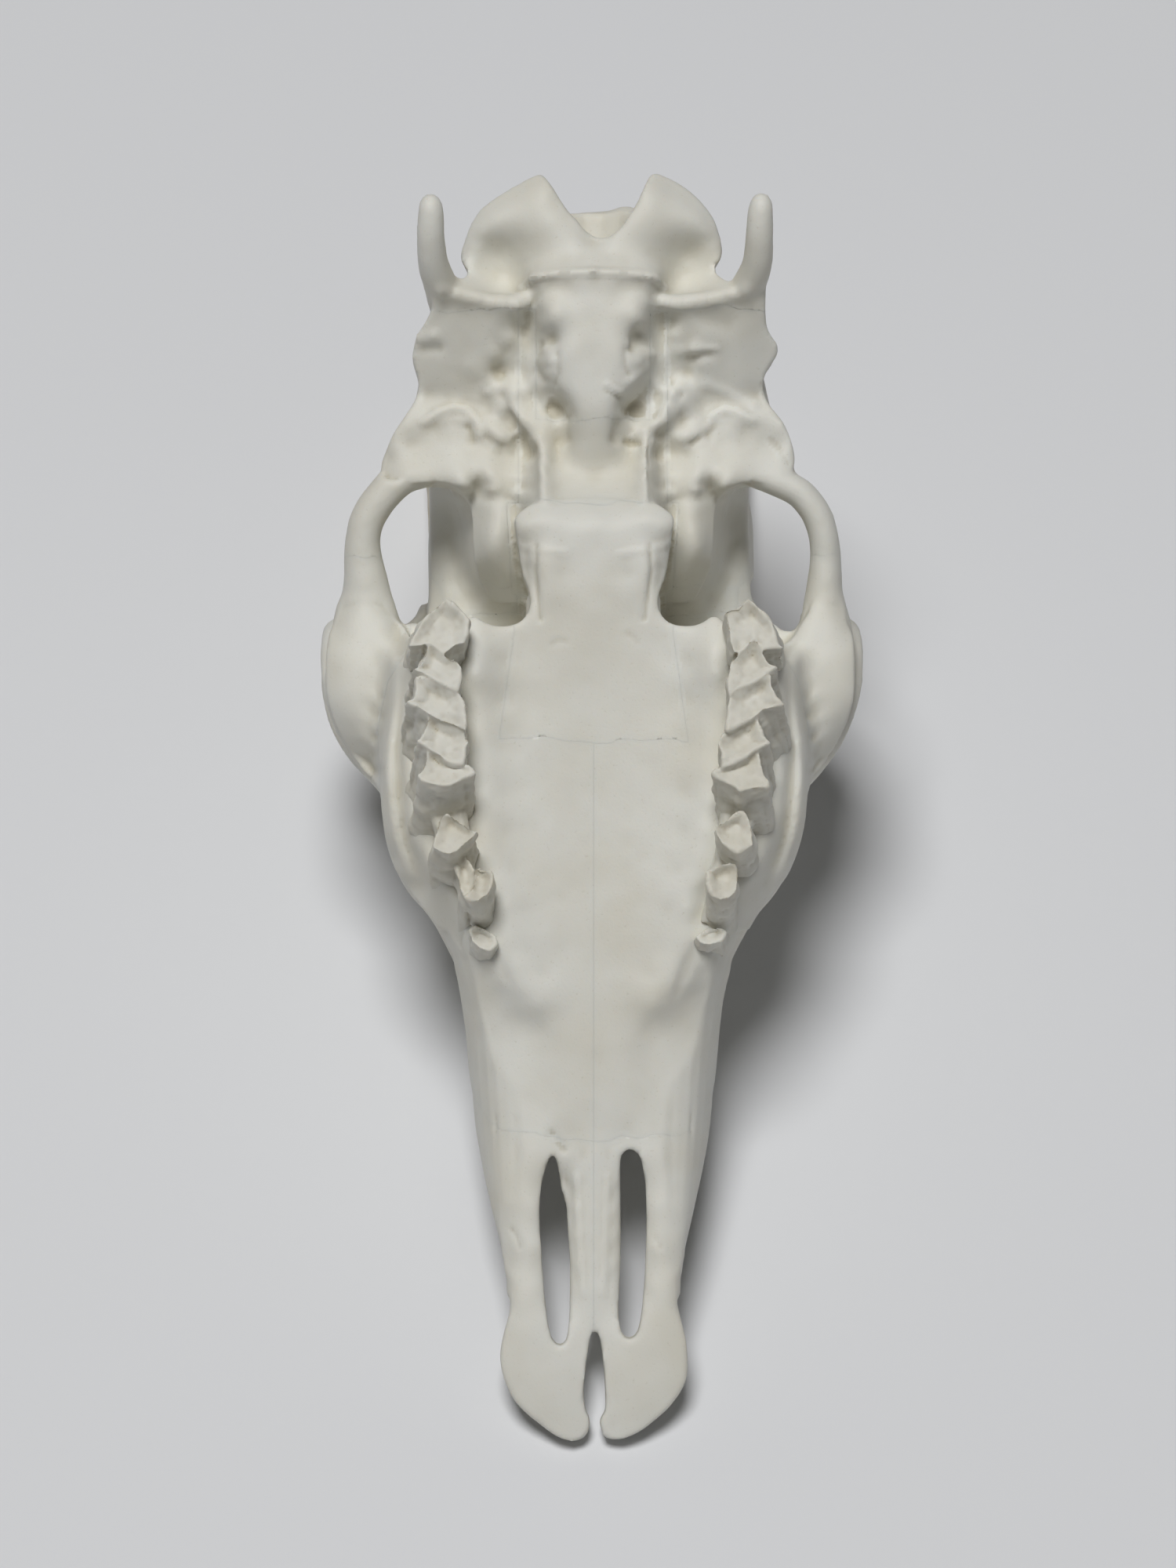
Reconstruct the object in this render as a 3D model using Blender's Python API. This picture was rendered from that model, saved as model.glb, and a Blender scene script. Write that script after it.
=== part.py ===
"""Mountain goat skull, life size, lying palate up on its two horn cores and the tips of its nasal bones.

The skull is modelled in millimetres in its own frame: X across, Y from the nose to the back of the head,
Z from the forehead side to the palate side, with the palate near Z = 0. It is built as one bone, with every
part as a closed form that is fused to its neighbours, and is then turned to its resting pose, scaled to
metres and parted along its sutures by thin cuts.
"""

import math

import bmesh
import bpy
import numpy as np
from mathutils import Matrix, Vector

# Driving dimensions, in millimetres.
SKULL_LENGTH = 280.0
ORBIT_Y = 162.0
ORBIT_Z = -53.0
ORBIT_RADIUS = 18.0
SUTURE_GAP = 0.3
METRES = 0.001
REST_TILT = 36.35
REST_SHIFT = (0.0, -153.2, 8.1)
BONE_COLOUR = (0.70, 0.68, 0.62)

# The bone is blended on a voxel grid of this size, in rounds of smoothing.
VOXEL = 1.0
MASS_ROUNDS = 6
DETAIL_ROUNDS = 2
BONE_SHARE = 0.0205
SIDES = (-1, 1)

# The cutter of what lies above a relief is a block up to this level, all along Y.
ABOVE = ((0, 60), (300, 60))
# How deep the block below each relief reaches, in pairs of y and z.
BASE_BLOCK = ((0, -46), (300, -46))
FOSSA_BLOCK = ((0, -80), (300, -80))
CHEEK_BLOCK = ((0, -32), (300, -32))
PALATE_BLOCK = ((32, -8), (56, -9.5), (100, -12), (120, -30), (170, -40), (300, -40))


def smooth_rows(rows, steps):
    """Rows of numbers with Catmull-Rom rows between them."""
    known = np.array(rows, float)
    ends = [2 * known[0] - known[1], *known, 2 * known[-1] - known[-2]]
    made = []
    for a, b, c, d in zip(ends, ends[1:], ends[2:], ends[3:]):
        for step in range(steps):
            t = step / steps
            made.append(
                b + (c - a) * t / 2 + (a - 2.5 * b + 2 * c - d / 2) * t**2 + (3 * b - a - 3 * c + d) * t**3 / 2
            )
    return np.array([*made, known[-1]])


def solid(name, points, faces):
    """An object of one closed mesh, with its faces turned outwards."""
    mesh = bpy.data.meshes.new(name)
    mesh.from_pydata([tuple(p) for p in points], [], faces)
    form = bmesh.new()
    form.from_mesh(mesh)
    bmesh.ops.triangulate(form, faces=form.faces)
    if form.calc_volume(signed=True) < 0:
        bmesh.ops.reverse_faces(form, faces=form.faces)
    form.to_mesh(mesh)
    form.free()
    made = bpy.data.objects.new(name, mesh)
    bpy.context.scene.collection.objects.link(made)
    return made


def skin(name, rings):
    """A closed form through rings of points, with a point at the middle of each end."""
    rings = np.array(rings, float)
    count, around = rings.shape[:2]
    points = [*rings.reshape(-1, 3), rings[0].mean(0), rings[-1].mean(0)]
    faces = []
    for i in range(count - 1):
        for j in range(around):
            k = (j + 1) % around
            faces.append((i * around + j, i * around + k, (i + 1) * around + k, (i + 1) * around + j))
    for j in range(around):
        k = (j + 1) % around
        faces.append((count * around, k, j))
        faces.append((count * around + 1, (count - 1) * around + j, (count - 1) * around + k))
    return solid(name, points, faces)


def loft(name, rows, side=1, power=2.5, around=40, steps=4):
    """A form along Y. Each row is y, middle x, half width, lowest z, highest z; power squares the section up."""
    turns = np.linspace(0, 2 * math.pi, around, endpoint=False)
    across = np.sign(np.cos(turns)) * np.abs(np.cos(turns)) ** (2 / power)
    along = np.sign(np.sin(turns)) * np.abs(np.sin(turns)) ** (2 / power)
    rings = []
    for y, x, half, low, high in smooth_rows(rows, steps):
        middle = (low + high) / 2
        rise = (high - low) / 2
        rings.append([(side * (x + half * u), y, middle + rise * v) for u, v in zip(across, along)])
    return skin(name, rings)


def sweep(name, rows, side=1, around=14, steps=5, up=(0, 0, 1)):
    """A bar along a curve. Each row is x, y, z, radius sideways, radius upwards."""
    rows = smooth_rows(rows, steps)
    rows[:, 0] *= side
    heads = np.gradient(rows[:, :3], axis=0)
    turns = np.linspace(0, 2 * math.pi, around, endpoint=False)
    rings = []
    for (x, y, z, wide, tall), head in zip(rows, heads):
        head = Vector(head).normalized()
        across = head.cross(Vector(up)).normalized()
        above = across.cross(head)
        middle = Vector((x, y, z))
        rings.append([middle + across * wide * math.cos(t) + above * tall * math.sin(t) for t in turns])
    return skin(name, rings)


def ball(name, middle, radii, side=1, turn=(0, 0, 0), around=24):
    """An ellipsoid, turned by degrees about X, Y and Z; a side of -1 mirrors it."""
    form = bmesh.new()
    bmesh.ops.create_uvsphere(form, u_segments=around, v_segments=around // 2, radius=1)
    about = [Matrix.Rotation(math.radians(t), 4, axis) for t, axis in zip(turn, "XYZ")]
    place = Matrix.Translation(middle) @ about[2] @ about[1] @ about[0] @ Matrix.Diagonal((*radii, 1))
    bmesh.ops.transform(form, matrix=Matrix.Diagonal((side, 1, 1, 1)) @ place, verts=form.verts)
    points = [v.co.copy() for v in form.verts]
    faces = [[v.index for v in f.verts] for f in form.faces]
    form.free()
    return solid(name, points, faces)


def plate(name, outline, levels, side=1, steps=4):
    """A plate of a smooth closed outline. Each level is a height and the inset of the outline there."""
    looped = smooth_rows([*outline[-1:], *outline, *outline[:2]], steps)[steps : -2 * steps]
    looped = looped[: len(outline) * steps]
    heads = np.roll(looped, -1, 0) - np.roll(looped, 1, 0)
    heads /= np.linalg.norm(heads, axis=1)[:, None]
    turned = np.stack([heads[:, 1], -heads[:, 0]], 1)
    area = np.sum(looped[:, 0] * np.roll(looped[:, 1], -1) - np.roll(looped[:, 0], -1) * looped[:, 1])
    outward = turned * np.sign(area)
    rings = []
    for z, inset in levels:
        rings.append([(side * x, y, z) for x, y in looped - outward * inset])
    return skin(name, rings)


def ring(name, middle, radii, thick, deep, face, bulge, side=1, around=12, steps=48):
    """A closed loop of bar round a hole that faces along a direction; it bulges that way above and below."""
    face = Vector(face).normalized()
    across = Vector((0, 0, 1)).cross(face).normalized()
    above = face.cross(across)
    points = []
    faces = []
    for i in range(steps):
        t = 2 * math.pi * i / steps
        out = across * radii[0] * math.cos(t) + above * radii[1] * math.sin(t)
        rise = math.sin(t) ** 2 * (bulge[0] if math.sin(t) > 0 else bulge[1])
        for j in range(around):
            u = 2 * math.pi * j / around
            reach = out.normalized() * thick * math.cos(u) + face * (rise + deep * math.sin(u))
            point = Vector(middle) + out + reach
            points.append((point.x * side, point.y, point.z))
            k, n = (i + 1) % steps, (j + 1) % around
            faces.append((i * around + j, i * around + n, k * around + n, k * around + j))
    return solid(name, points, faces)


def terrain(name, points, limits, depths, step=1.0, middle=0.3):
    """A block whose upper face passes smoothly through points: distance from the middle, y and z, on both sides.

    Its lower face lies at a depth that changes with y, given in pairs of y and z.
    """
    known = np.array(points, float)
    known = np.vstack([known, known[known[:, 0] > 0.5] * (-1, 1, 1)]) + (middle, 0, 0)
    count = len(known)

    def bend(here):
        squares = ((here[:, None] - known[None, :, :2]) ** 2).sum(2)
        bent = squares * np.log(squares + 1e-9)
        return np.hstack([bent, np.ones((len(here), 1)), here])

    system = np.zeros((count + 3, count + 3))
    system[:count] = bend(known[:, :2])
    system[count:, :count] = system[:count, count:].T
    system[range(count), range(count)] += 2.0
    weights = np.linalg.solve(system, np.append(known[:, 2], (0, 0, 0)))
    across = np.arange(limits[0], limits[1] + step, step)
    rings = []
    for y in np.arange(limits[2], limits[3] + step, step):
        heights = bend(np.column_stack([across, np.full(len(across), y)])) @ weights
        top = [(x, y, z) for x, z in zip(across, heights)]
        depth = np.interp(y, *zip(*depths))
        rings.append([*top, (across[-1], y, depth), (across[0], y, depth)])
    return skin(name, rings)


def settle(made):
    """Applies an object's modifiers to its mesh."""
    graph = bpy.context.evaluated_depsgraph_get()
    mesh = bpy.data.meshes.new_from_object(made.evaluated_get(graph))
    made.modifiers.clear()
    made.data = mesh


def combine(made, others, operation):
    """One Boolean of an object with a collection of closed meshes, which are then removed."""
    group = bpy.data.collections.new("operands")
    for other in others:
        bpy.context.scene.collection.objects.unlink(other)
        group.objects.link(other)
    bpy.context.scene.collection.children.link(group)
    step = made.modifiers.new(operation.lower(), "BOOLEAN")
    step.operation = operation
    step.operand_type = "COLLECTION"
    step.collection = group
    step.solver = "MANIFOLD"
    settle(made)
    for other in others:
        bpy.data.objects.remove(other)
    bpy.data.collections.remove(group)


def blend(made, rounds):
    """Fuses what an object holds into one skin on the voxel grid, and rounds its corners."""
    grid = made.modifiers.new("grid", "REMESH")
    grid.mode = "VOXEL"
    grid.voxel_size = VOXEL
    rub = made.modifiers.new("rub", "SMOOTH")
    rub.iterations = rounds
    settle(made)


# The masses of the skull, which blend into each other broadly.


def face_masses():
    lower = loft(
        "lower_face",
        (
            (58, 0, 21, -30, -9),
            (68, 0, 25, -38, -8),
            (78, 0, 28.2, -44, -6),
            (89, 0, 29, -48, -4),
            (100, 0, 30.5, -52, -2),
            (107, 0, 32.8, -55, -1.5),
            (114, 0, 34.6, -58, -1),
            (122, 0, 38.4, -60, -1),
            (131, 0, 41.4, -62, -1),
            (142, 0, 43, -66, -1),
            (156, 0, 43, -70, -1),
            (168, 0, 41, -73, -1),
            (177, 0, 37, -74, -3),
            (183, 0, 32, -72, -9),
        ),
        power=3.2,
    )
    upper = loft(
        "upper_face",
        (
            (58, 0, 6, -55, -48),
            (66, 0, 11, -57, -45),
            (76, 0, 15.5, -60, -40),
            (86, 0, 20, -63, -34),
            (96, 0, 23, -66, -30),
            (112, 0, 25, -70, -30),
            (132, 0, 30, -76, -30),
            (150, 0, 38, -83, -30),
            (164, 0, 41.5, -88, -30),
            (176, 0, 40, -92, -30),
            (186, 0, 38, -94, -32),
            (200, 0, 38, -94, -38),
            (211, 0, 37, -91, -44),
            (222, 0, 32, -86, -46),
        ),
        power=2.4,
    )
    palatine = loft(
        "palatine_plate",
        (
            (166, 0, 20, -34, -2),
            (174, 0, 17.4, -34, -1),
            (184, 0, 15.4, -34, -0.5),
            (194, 0, 15.4, -32, -0.5),
            (201, 0, 16.6, -28, -0.5),
            (206, 0, 17, -24, -3),
        ),
        power=4,
    )
    brow = loft(
        "brow",
        (
            (132, 0, 27, -74, -58),
            (142, 0, 38, -80, -60),
            (150, 0, 48, -84, -60),
            (158, 0, 55.5, -87, -59),
            (167, 0, 59.8, -89, -60),
            (176, 0, 59, -91, -62),
            (182, 0, 52, -92, -66),
            (187, 0, 40, -92, -70),
        ),
        power=2.3,
        around=56,
    )
    cheeks = loft(
        "cheeks",
        (
            (104.6, 0, 32, -56, -24),
            (109.6, 0, 34.4, -58, -20),
            (114.6, 0, 37.4, -60, -17),
            (119.6, 0, 41.7, -62, -15),
            (125, 0, 44.6, -63, -14),
            (132, 0, 46.4, -66, -13),
            (140, 0, 47.4, -70, -13),
            (147, 0, 51.4, -72, -22),
            (155, 0, 55.4, -68, -25),
            (164, 0, 57, -62, -26),
            (173, 0, 56, -60, -28),
            (180, 0, 49, -58, -30),
            (186, 0, 38, -56, -34),
        ),
        power=3.4,
        around=56,
    )
    return [lower, upper, palatine, brow, cheeks]


def braincase_masses():
    vault = loft(
        "vault",
        (
            (182, 0, 19, -88, -32),
            (194, 0, 21, -92, -28),
            (206, 0, 26, -92, -25),
            (218, 0, 31, -89, -24),
            (230, 0, 34, -84, -24),
            (242, 0, 34, -77, -22),
            (252, 0, 32, -69, -22),
            (261, 0, 27, -60, -24),
            (268, 0, 20, -51, -27),
            (275, 0, 13, -43, -32),
        ),
        power=2.2,
    )
    return [vault]


def side_masses(side):
    return [
        ball("sphenoid", (21.5, 211, -44), (11, 10, 12), side),
        sweep(
            "temporal_root",
            ((20, 217, -40, 9, 10), (31, 217.5, -34, 8, 8), (39, 215.6, -30, 5.4, 6), (44.6, 212, -29, 4, 5)),
            side,
        ),
        sweep(
            "temporal_crest",
            ((43, 214, -32, 2.4, 4), (41, 221, -34, 3.2, 6), (37.2, 229, -36, 3.8, 8), (35, 238, -36, 4, 9)),
            side,
        ),
    ]


# The hollows that are carved into the masses.


def hollows():
    nasal = loft(
        "nasal_passage",
        (
            (10, 0, 11, -70, -9),
            (30, 0, 15, -70, -9),
            (50, 0, 17.5, -70, -9),
            (57, 0, 19, -62, -9),
            (62, 0, 19, -50, -9),
            (74, 0, 19, -50, -9),
            (88, 0, 17, -53, -10),
            (102, 0, 12, -54, -14),
        ),
        power=3,
    )
    return [nasal]


def side_hollows(side):
    return [
        ball("orbit", (64, ORBIT_Y + 1, ORBIT_Z), (34, ORBIT_RADIUS, ORBIT_RADIUS), side, turn=(0, 0, -16)),
        sweep(
            "temporal_gap",
            (
                (42.3, 196.5, 20, 6.4, 14.6),
                (42.3, 197, -44, 6.6, 15.2),
                (47.4, 199, -70, 9, 16),
                (52, 199, -110, 14, 17),
            ),
            side,
            up=(0, 1, 0),
        ),
        fossa_floor(side, ABOVE),
    ]


# The hollow in front of the base, on each side of the palatine plate, seen and measured from below.
FOSSA_LEVELS = (
    (27.2, 211.4, -34), (27.4, 208.1, -36), (27.8, 204.6, -38), (27.8, 200.2, -39), (27.5, 196.3, -40),
    (26.8, 192.8, -42), (25.6, 189.6, -44), (23.8, 186.4, -46), (19.5, 185, -46), (14.8, 185.3, -45),
    (29.3, 207.6, -44), (29.8, 204.1, -46.6), (30.2, 200.6, -48), (29.7, 196.7, -50),
    (28.6, 192.5, -50.4), (26.4, 188.4, -50.6), (23.2, 184.7, -50), (18.6, 182.5, -49),
    (14.5, 183.2, -48), (33.6, 212.8, -48), (32.6, 208.8, -50), (32.1, 204.4, -51.6),
    (31.5, 199.9, -52.6), (31, 195.7, -52.6), (29.7, 191.4, -52.6), (27.2, 186.6, -52.4),
    (23.2, 182.6, -52), (18.7, 180.8, -52), (35.5, 209.8, -52.6), (37.8, 210, -56), (34.4, 204.4, -53),
    (37.8, 202.8, -57), (34.1, 199, -53.4), (37.8, 195.5, -57), (33.4, 193.9, -53), (37.5, 189.2, -57),
    (32.6, 188.8, -53), (36, 184.6, -56), (31.4, 182.7, -53.6), (28.7, 178.7, -55), (25, 179.1, -54),
    (19.6, 177.3, -55), (37.9, 181, -58), (34.2, 176.5, -58), (35.8, 216.9, -50), (30.3, 216.7, -46),
    (38.1, 217.2, -54), (24.7, 216.1, -36), (18.4, 215.9, -32), (22.8, 208.7, -30), (18.3, 206.8, -28),
    (22.8, 199.8, -30), (18.4, 199.8, -30), (22.5, 194.6, -34), (17.5, 194.6, -34), (21.2, 190.3, -40),
    (16.9, 190.3, -40),
)

FOSSA_OUTLINES = {
    -1: ((15, 177), (15, 216), (37.6, 216), (37.2, 183), (36.2, 178)),
    1: ((15, 177), (15, 216), (36.5, 216), (36.4, 183), (35.6, 178)),
}
FOSSA_CUT = ((15, 177), (15, 216), (62, 216), (62, 183), (38, 181), (36, 177))


def fossa_floor(side, depths):
    """The hollow's floor as a block; its cutter opens the outer side too."""
    outline = FOSSA_CUT if depths is ABOVE else FOSSA_OUTLINES[side]
    limits = (8, 64, 172, 220) if side > 0 else (-64, -8, 172, 220)
    relief = terrain("fossa_floor", FOSSA_LEVELS, limits, depths)
    rings = [[(side * x, y, z) for x, y in outline] for z in (-110, 60)]
    combine(relief, [skin("fossa_outline", rings)], "INTERSECT")
    return relief


# The finer forms, which are joined to the masses: some before the broad blending and some after it.


def nose_wall(side):
    return loft(
        "nose_wall",
        (
            (26, 14.4, 2, -9, -5),
            (34, 16.9, 2, -14, -6),
            (42, 18.7, 2.1, -20, -7),
            (50, 20.6, 2.2, -26, -8),
            (58, 22.3, 2.4, -32, -9),
            (66, 23.8, 2.6, -37, -10),
            (76, 24.3, 3, -42, -12),
            (88, 22.8, 4, -46, -14),
        ),
        side,
        power=3,
    )


CHEEK_ARCHES = {
    -1: (
        (38, 216.4, -27.4, 4.8, 5),
        (43.2, 214.2, -27.4, 4.2, 5),
        (47.6, 209.8, -27.7, 4, 5),
        (50.8, 205, -28.4, 4.1, 5),
        (52, 200.5, -29.6, 4.1, 5.2),
        (52.1, 196, -31, 4.5, 5.5),
        (51.7, 192, -32, 5, 6),
        (51.4, 188, -32.8, 5.8, 6.2),
        (51.4, 184, -33, 7.2, 6.6),
        (51.4, 177, -33.6, 8.2, 6.4),
        (50.5, 166, -36, 8, 5),
    ),
    1: (
        (37, 216, -27.4, 4.6, 5),
        (41.6, 213.4, -27.4, 3.6, 5),
        (46.6, 210.8, -27.6, 3.4, 5),
        (49.7, 207.4, -28, 3.4, 5),
        (51.4, 204.4, -28.7, 3.5, 5.1),
        (52.4, 201, -29.6, 3.5, 5.3),
        (52.9, 197, -31, 3.6, 5.5),
        (52.9, 192.5, -32, 3.9, 6),
        (52.7, 188, -32.8, 4.4, 6.2),
        (52.9, 184, -33, 5.3, 6.6),
        (52.9, 177, -33.6, 6.9, 6.4),
        (51.5, 166, -36, 7.6, 5),
    ),
}


def broad_forms(side):
    rim = ring("orbit_rim", (51.6, 162.5, ORBIT_Z), (19.2, 20), 2.8, 4.2, (0.94, -0.34, 0), (4.5, 6.5), side)
    bar = loft(
        "behind_orbit",
        (
            (177, 53, 3.4, -84, -34),
            (180.4, 50.6, 4.2, -84, -33),
            (183.6, 46.4, 4.2, -82, -36),
            (186, 42, 3, -80, -40),
        ),
        side,
        power=3,
    )
    arch = sweep("cheek_arch", CHEEK_ARCHES[side], side)
    return [rim, bar, arch, nose_wall(side)]




# The base of the skull, with the condyles at its back end, seen from below. The levels are measured on one side.
BASE_LEVELS = (
    (0, 266.8, -15), (0, 264.2, -12.5), (0, 261, -9.5), (0, 258.7, -7.5), (0, 256.5, -8), (0, 252.1, -8),
    (0, 246, -8), (0, 240.7, -8.2), (0, 235.5, -8.6), (0, 231.2, -9), (0, 226.9, -10), (0, 222.6, -12),
    (0, 218.4, -14), (0, 214.9, -15.4), (0, 212.8, -15.2), (0, 210.6, -12.5), (0, 207.8, -7.5),
    (0, 205.5, -3.4), (0, 202.8, -1.2), (0, 198.5, -1), (6, 252.1, -8.2), (10.4, 252.2, -8.8),
    (12.4, 252.3, -11), (13.6, 252.8, -16), (6, 247.4, -8), (9.9, 247.8, -8.6), (11.8, 248, -11.5),
    (13.1, 248.5, -17), (6.2, 242.5, -8.2), (7.4, 244, -9.5), (9.7, 244.7, -13.4), (10.1, 241.8, -12.2),
    (10.8, 239, -12.4), (10.1, 236.2, -12.8), (9.4, 233.4, -12.6), (6.6, 238.2, -8.8), (5.9, 234.7, -9.4),
    (5.5, 231.6, -10.2), (7.6, 231.8, -12.5), (12.6, 244, -18), (13.3, 241.2, -19), (13.3, 237.2, -19.5),
    (12.1, 232.7, -18.5), (10.1, 230.4, -17.5), (3.8, 227.8, -10.6), (5.9, 228, -13.4), (7.8, 228.4, -19),
    (9.8, 228.8, -22), (3.8, 223.6, -13), (6.6, 223.9, -17.5), (3.8, 219.3, -14.6), (6.6, 220.4, -18),
    (8.4, 220.9, -20.5), (3.8, 214.9, -15.6), (6.6, 216.4, -17), (9.1, 218.1, -18.5), (5.2, 212.8, -14.6),
    (7.8, 214, -15), (9.9, 214.9, -15), (6.6, 210.9, -12), (9.5, 211.2, -11), (6.5, 207.8, -7),
    (9.5, 207.8, -6.4), (6.5, 205.2, -3), (10.4, 205.2, -3), (11.9, 223.3, -17), (12, 219.3, -14.4),
    (12, 215, -10.8), (12.1, 211, -7.4), (12.3, 207.3, -4.2), (14, 219.7, -21), (14.2, 215.2, -20.5),
    (14.4, 211.3, -19.5), (13.8, 221.7, -17.4), (15.6, 224.8, -19.4), (17.7, 227.5, -19.9),
    (19.7, 229.7, -20.6), (10.5, 227.4, -18), (8.7, 225.7, -18.4), (7.7, 222.9, -19.6),
    (12.3, 225.7, -18.8), (10.1, 223.6, -18.6), (21.2, 219.9, -24), (21.1, 215.3, -22),
    (21.1, 210.8, -21), (17.6, 217.2, -23.6), (16.9, 213.5, -21.6), (16.9, 209.9, -20),
    (16.4, 222.3, -24.2), (15.5, 224, -23.3), (17.6, 220.5, -25), (15.3, 219.4, -24.5),
    (18.5, 222.4, -22), (19.8, 227.7, -23.6), (20.9, 229.8, -21.6), (18.5, 225.5, -23),
    (21, 228.4, -22.1), (21.1, 222.4, -21.4), (42.1, 224.7, -24.4), (45.1, 219.9, -25),
    (18.4, 249.7, -15), (17.9, 246.9, -19), (33.3, 252.1, -13.6), (15.4, 250.3, -18), (15.3, 247.1, -21),
    (14.8, 243.6, -21.5), (21.6, 241.4, -20.9), (19.3, 242.4, -20.5), (17.4, 243.9, -20.2),
    (19.7, 240.2, -21.6), (21.2, 237.9, -24.2), (18.3, 238.5, -23.1), (16.8, 233.3, -20.2),
    (19.3, 234.7, -21.2), (14, 234.6, -20.4), (13.3, 231.9, -21), (16.5, 230.4, -20.8),
    (14.8, 236.9, -21.7), (15.5, 239.7, -21.7), (34.3, 254.6, -11), (31.5, 254.1, -11.4),
    (28.7, 253.7, -12), (25.9, 253.3, -12.3), (23.2, 252.8, -12.5), (21, 252.4, -12.5),
    (18.7, 252, -12.5), (16.6, 252.3, -12.8), (14.8, 253.1, -13.4), (28.1, 257.2, -15.6),
    (30.1, 256.6, -13.6), (26.3, 255.9, -15.2), (23.7, 254.5, -15.4), (20.1, 253.6, -15),
    (17.2, 253.8, -16), (21.1, 261.6, -22), (18.3, 260.3, -21.4), (24.3, 261.6, -21.6),
    (26.4, 262.4, -20.6), (20.2, 257.7, -21.4), (17.6, 256.9, -20.4), (22.5, 257.7, -21.4),
    (25, 259, -20.6), (16.1, 258.8, -18), (21.6, 264.1, -21.4), (24.3, 266, -19.6), (19.3, 264.9, -19.6),
    (15.8, 263.5, -17.4), (12.9, 262.7, -14.4), (21, 268.6, -16), (24.9, 268.6, -17), (17.5, 268.5, -15),
    (14, 267.9, -13.6), (10.4, 267.4, -12.4), (6.6, 266.3, -12), (3.4, 264.9, -12), (27.3, 264.9, -19.4),
    (28.5, 262.5, -20), (19.2, 272.9, -14.6), (22.8, 271.9, -15.8), (14.8, 272.7, -13),
    (10.4, 272.6, -12.2), (7.6, 270.9, -12.2), (15.4, 276.9, -14.6), (11.9, 278.8, -14.2),
    (10.1, 276.8, -13.2), (18.9, 275.8, -16), (12.2, 281, -16.5), (26.9, 272.4, -20),
    (29.6, 266.5, -21.5), (22.5, 275.7, -18.4), (17.2, 279, -17.6), (30, 263.4, -22), (28.1, 259.6, -19),
    (8.3, 276, -14), (5.9, 272.8, -13.6), (2.5, 268.7, -13.6), (10.1, 261.1, -11), (13.2, 259.8, -12),
    (6.6, 261.4, -10.6), (3.1, 262, -10.8), (14.6, 257.9, -10.6), (12, 258.4, -8.6), (9.2, 258.4, -7.8),
    (6.4, 258.4, -7.5), (3.2, 258.5, -7.4), (14.1, 255.9, -13.4), (12.2, 255.3, -11), (10.1, 256.3, -9.8),
    (6.4, 256.2, -8.8), (16.1, 257, -17.6), (23.6, 209.1, -24.4), (20, 209, -23), (28.2, 209.4, -31),
    (23.6, 250.6, -14), (23.6, 247, -16), (23.6, 243, -18.4), (23.6, 239, -20.7), (23.6, 235, -23),
    (23.6, 230.4, -24.6), (23.6, 228.7, -24.3), (23.6, 226.8, -23.2), (23.6, 224.4, -22.3),
    (23.6, 222.4, -22.8), (23.6, 222, -23.4), (23.6, 219.5, -22.8), (23.6, 216.5, -21.4),
    (23.6, 213.4, -20.2), (23.6, 211, -19.6), (28.4, 250.6, -14.4), (28.4, 247, -16.4),
    (28.4, 243, -18.8), (28.4, 239, -21.1), (28.4, 235, -23.4), (28.4, 231.6, -25), (28.4, 229.9, -24.7),
    (28.4, 228, -23.6), (28.4, 225.6, -22.7), (28.4, 223.6, -23.2), (28.4, 222, -23.8),
    (28.4, 219.5, -23.2), (28.4, 216.5, -21.8), (28.4, 213.4, -20.6), (28.4, 211, -20),
    (33.2, 250.6, -14.6), (33.2, 247, -16.6), (33.2, 243, -19), (33.2, 239, -21.3), (33.2, 235, -23.6),
    (33.2, 232.3, -25.2), (33.2, 230.6, -24.9), (33.2, 228.7, -23.8), (33.2, 226.3, -22.9),
    (33.2, 224.3, -23.4), (33.2, 222, -24), (33.2, 219.5, -23.4), (33.2, 216.5, -22),
    (33.2, 213.4, -21.4), (37.6, 247, -17.8), (37.6, 243, -20.2), (37.6, 239, -22.5), (37.6, 235, -24.8),
    (37.6, 233.2, -26.4), (37.6, 231.5, -26.1), (37.6, 229.6, -25), (37.6, 227.2, -24.1),
    (37.6, 225.2, -24.6), (37.6, 222, -25.2), (37.6, 219.5, -24.6), (37.6, 216.5, -23.2),
    (37.6, 213.4, -22.7), (41.6, 221.4, -25.6), (42.6, 217.4, -24.2), (43.4, 213.6, -23.1),
    (46, 215.6, -25.4), (46.4, 219, -27), (27, 211.6, -26), (27, 208.5, -26.4), (26.9, 205, -27.4),
    (26.9, 201.5, -28), (26.7, 197.9, -29), (26.4, 195.5, -30), (25.9, 192.8, -34), (25.1, 190.5, -38),
    (23.6, 211.8, -22.4), (23.6, 208.3, -22.4), (23.6, 204.7, -22.8), (24.1, 201.2, -22.8),
    (24.5, 198.1, -24), (24.2, 195.7, -26), (23.3, 193, -29.6), (22.5, 190.3, -34.4), (21.9, 187.7, -40),
    (20, 211.8, -21.6), (20, 208.2, -21.8), (20, 204.7, -22), (20, 201.2, -22.2), (20, 198.1, -23.4),
    (20.1, 195.3, -25.4), (19.8, 192.6, -28.4), (19.3, 190.1, -32.4), (19, 187.2, -38),
    (16.8, 211.5, -22.6), (16.8, 208.3, -23), (17, 205.1, -23.4), (16.5, 201.3, -24.6),
    (16.2, 197.8, -26), (15.8, 195.1, -28), (15.5, 192.3, -30.6), (15.2, 189.6, -34.6),
    (14.9, 186.9, -39),
)

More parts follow.
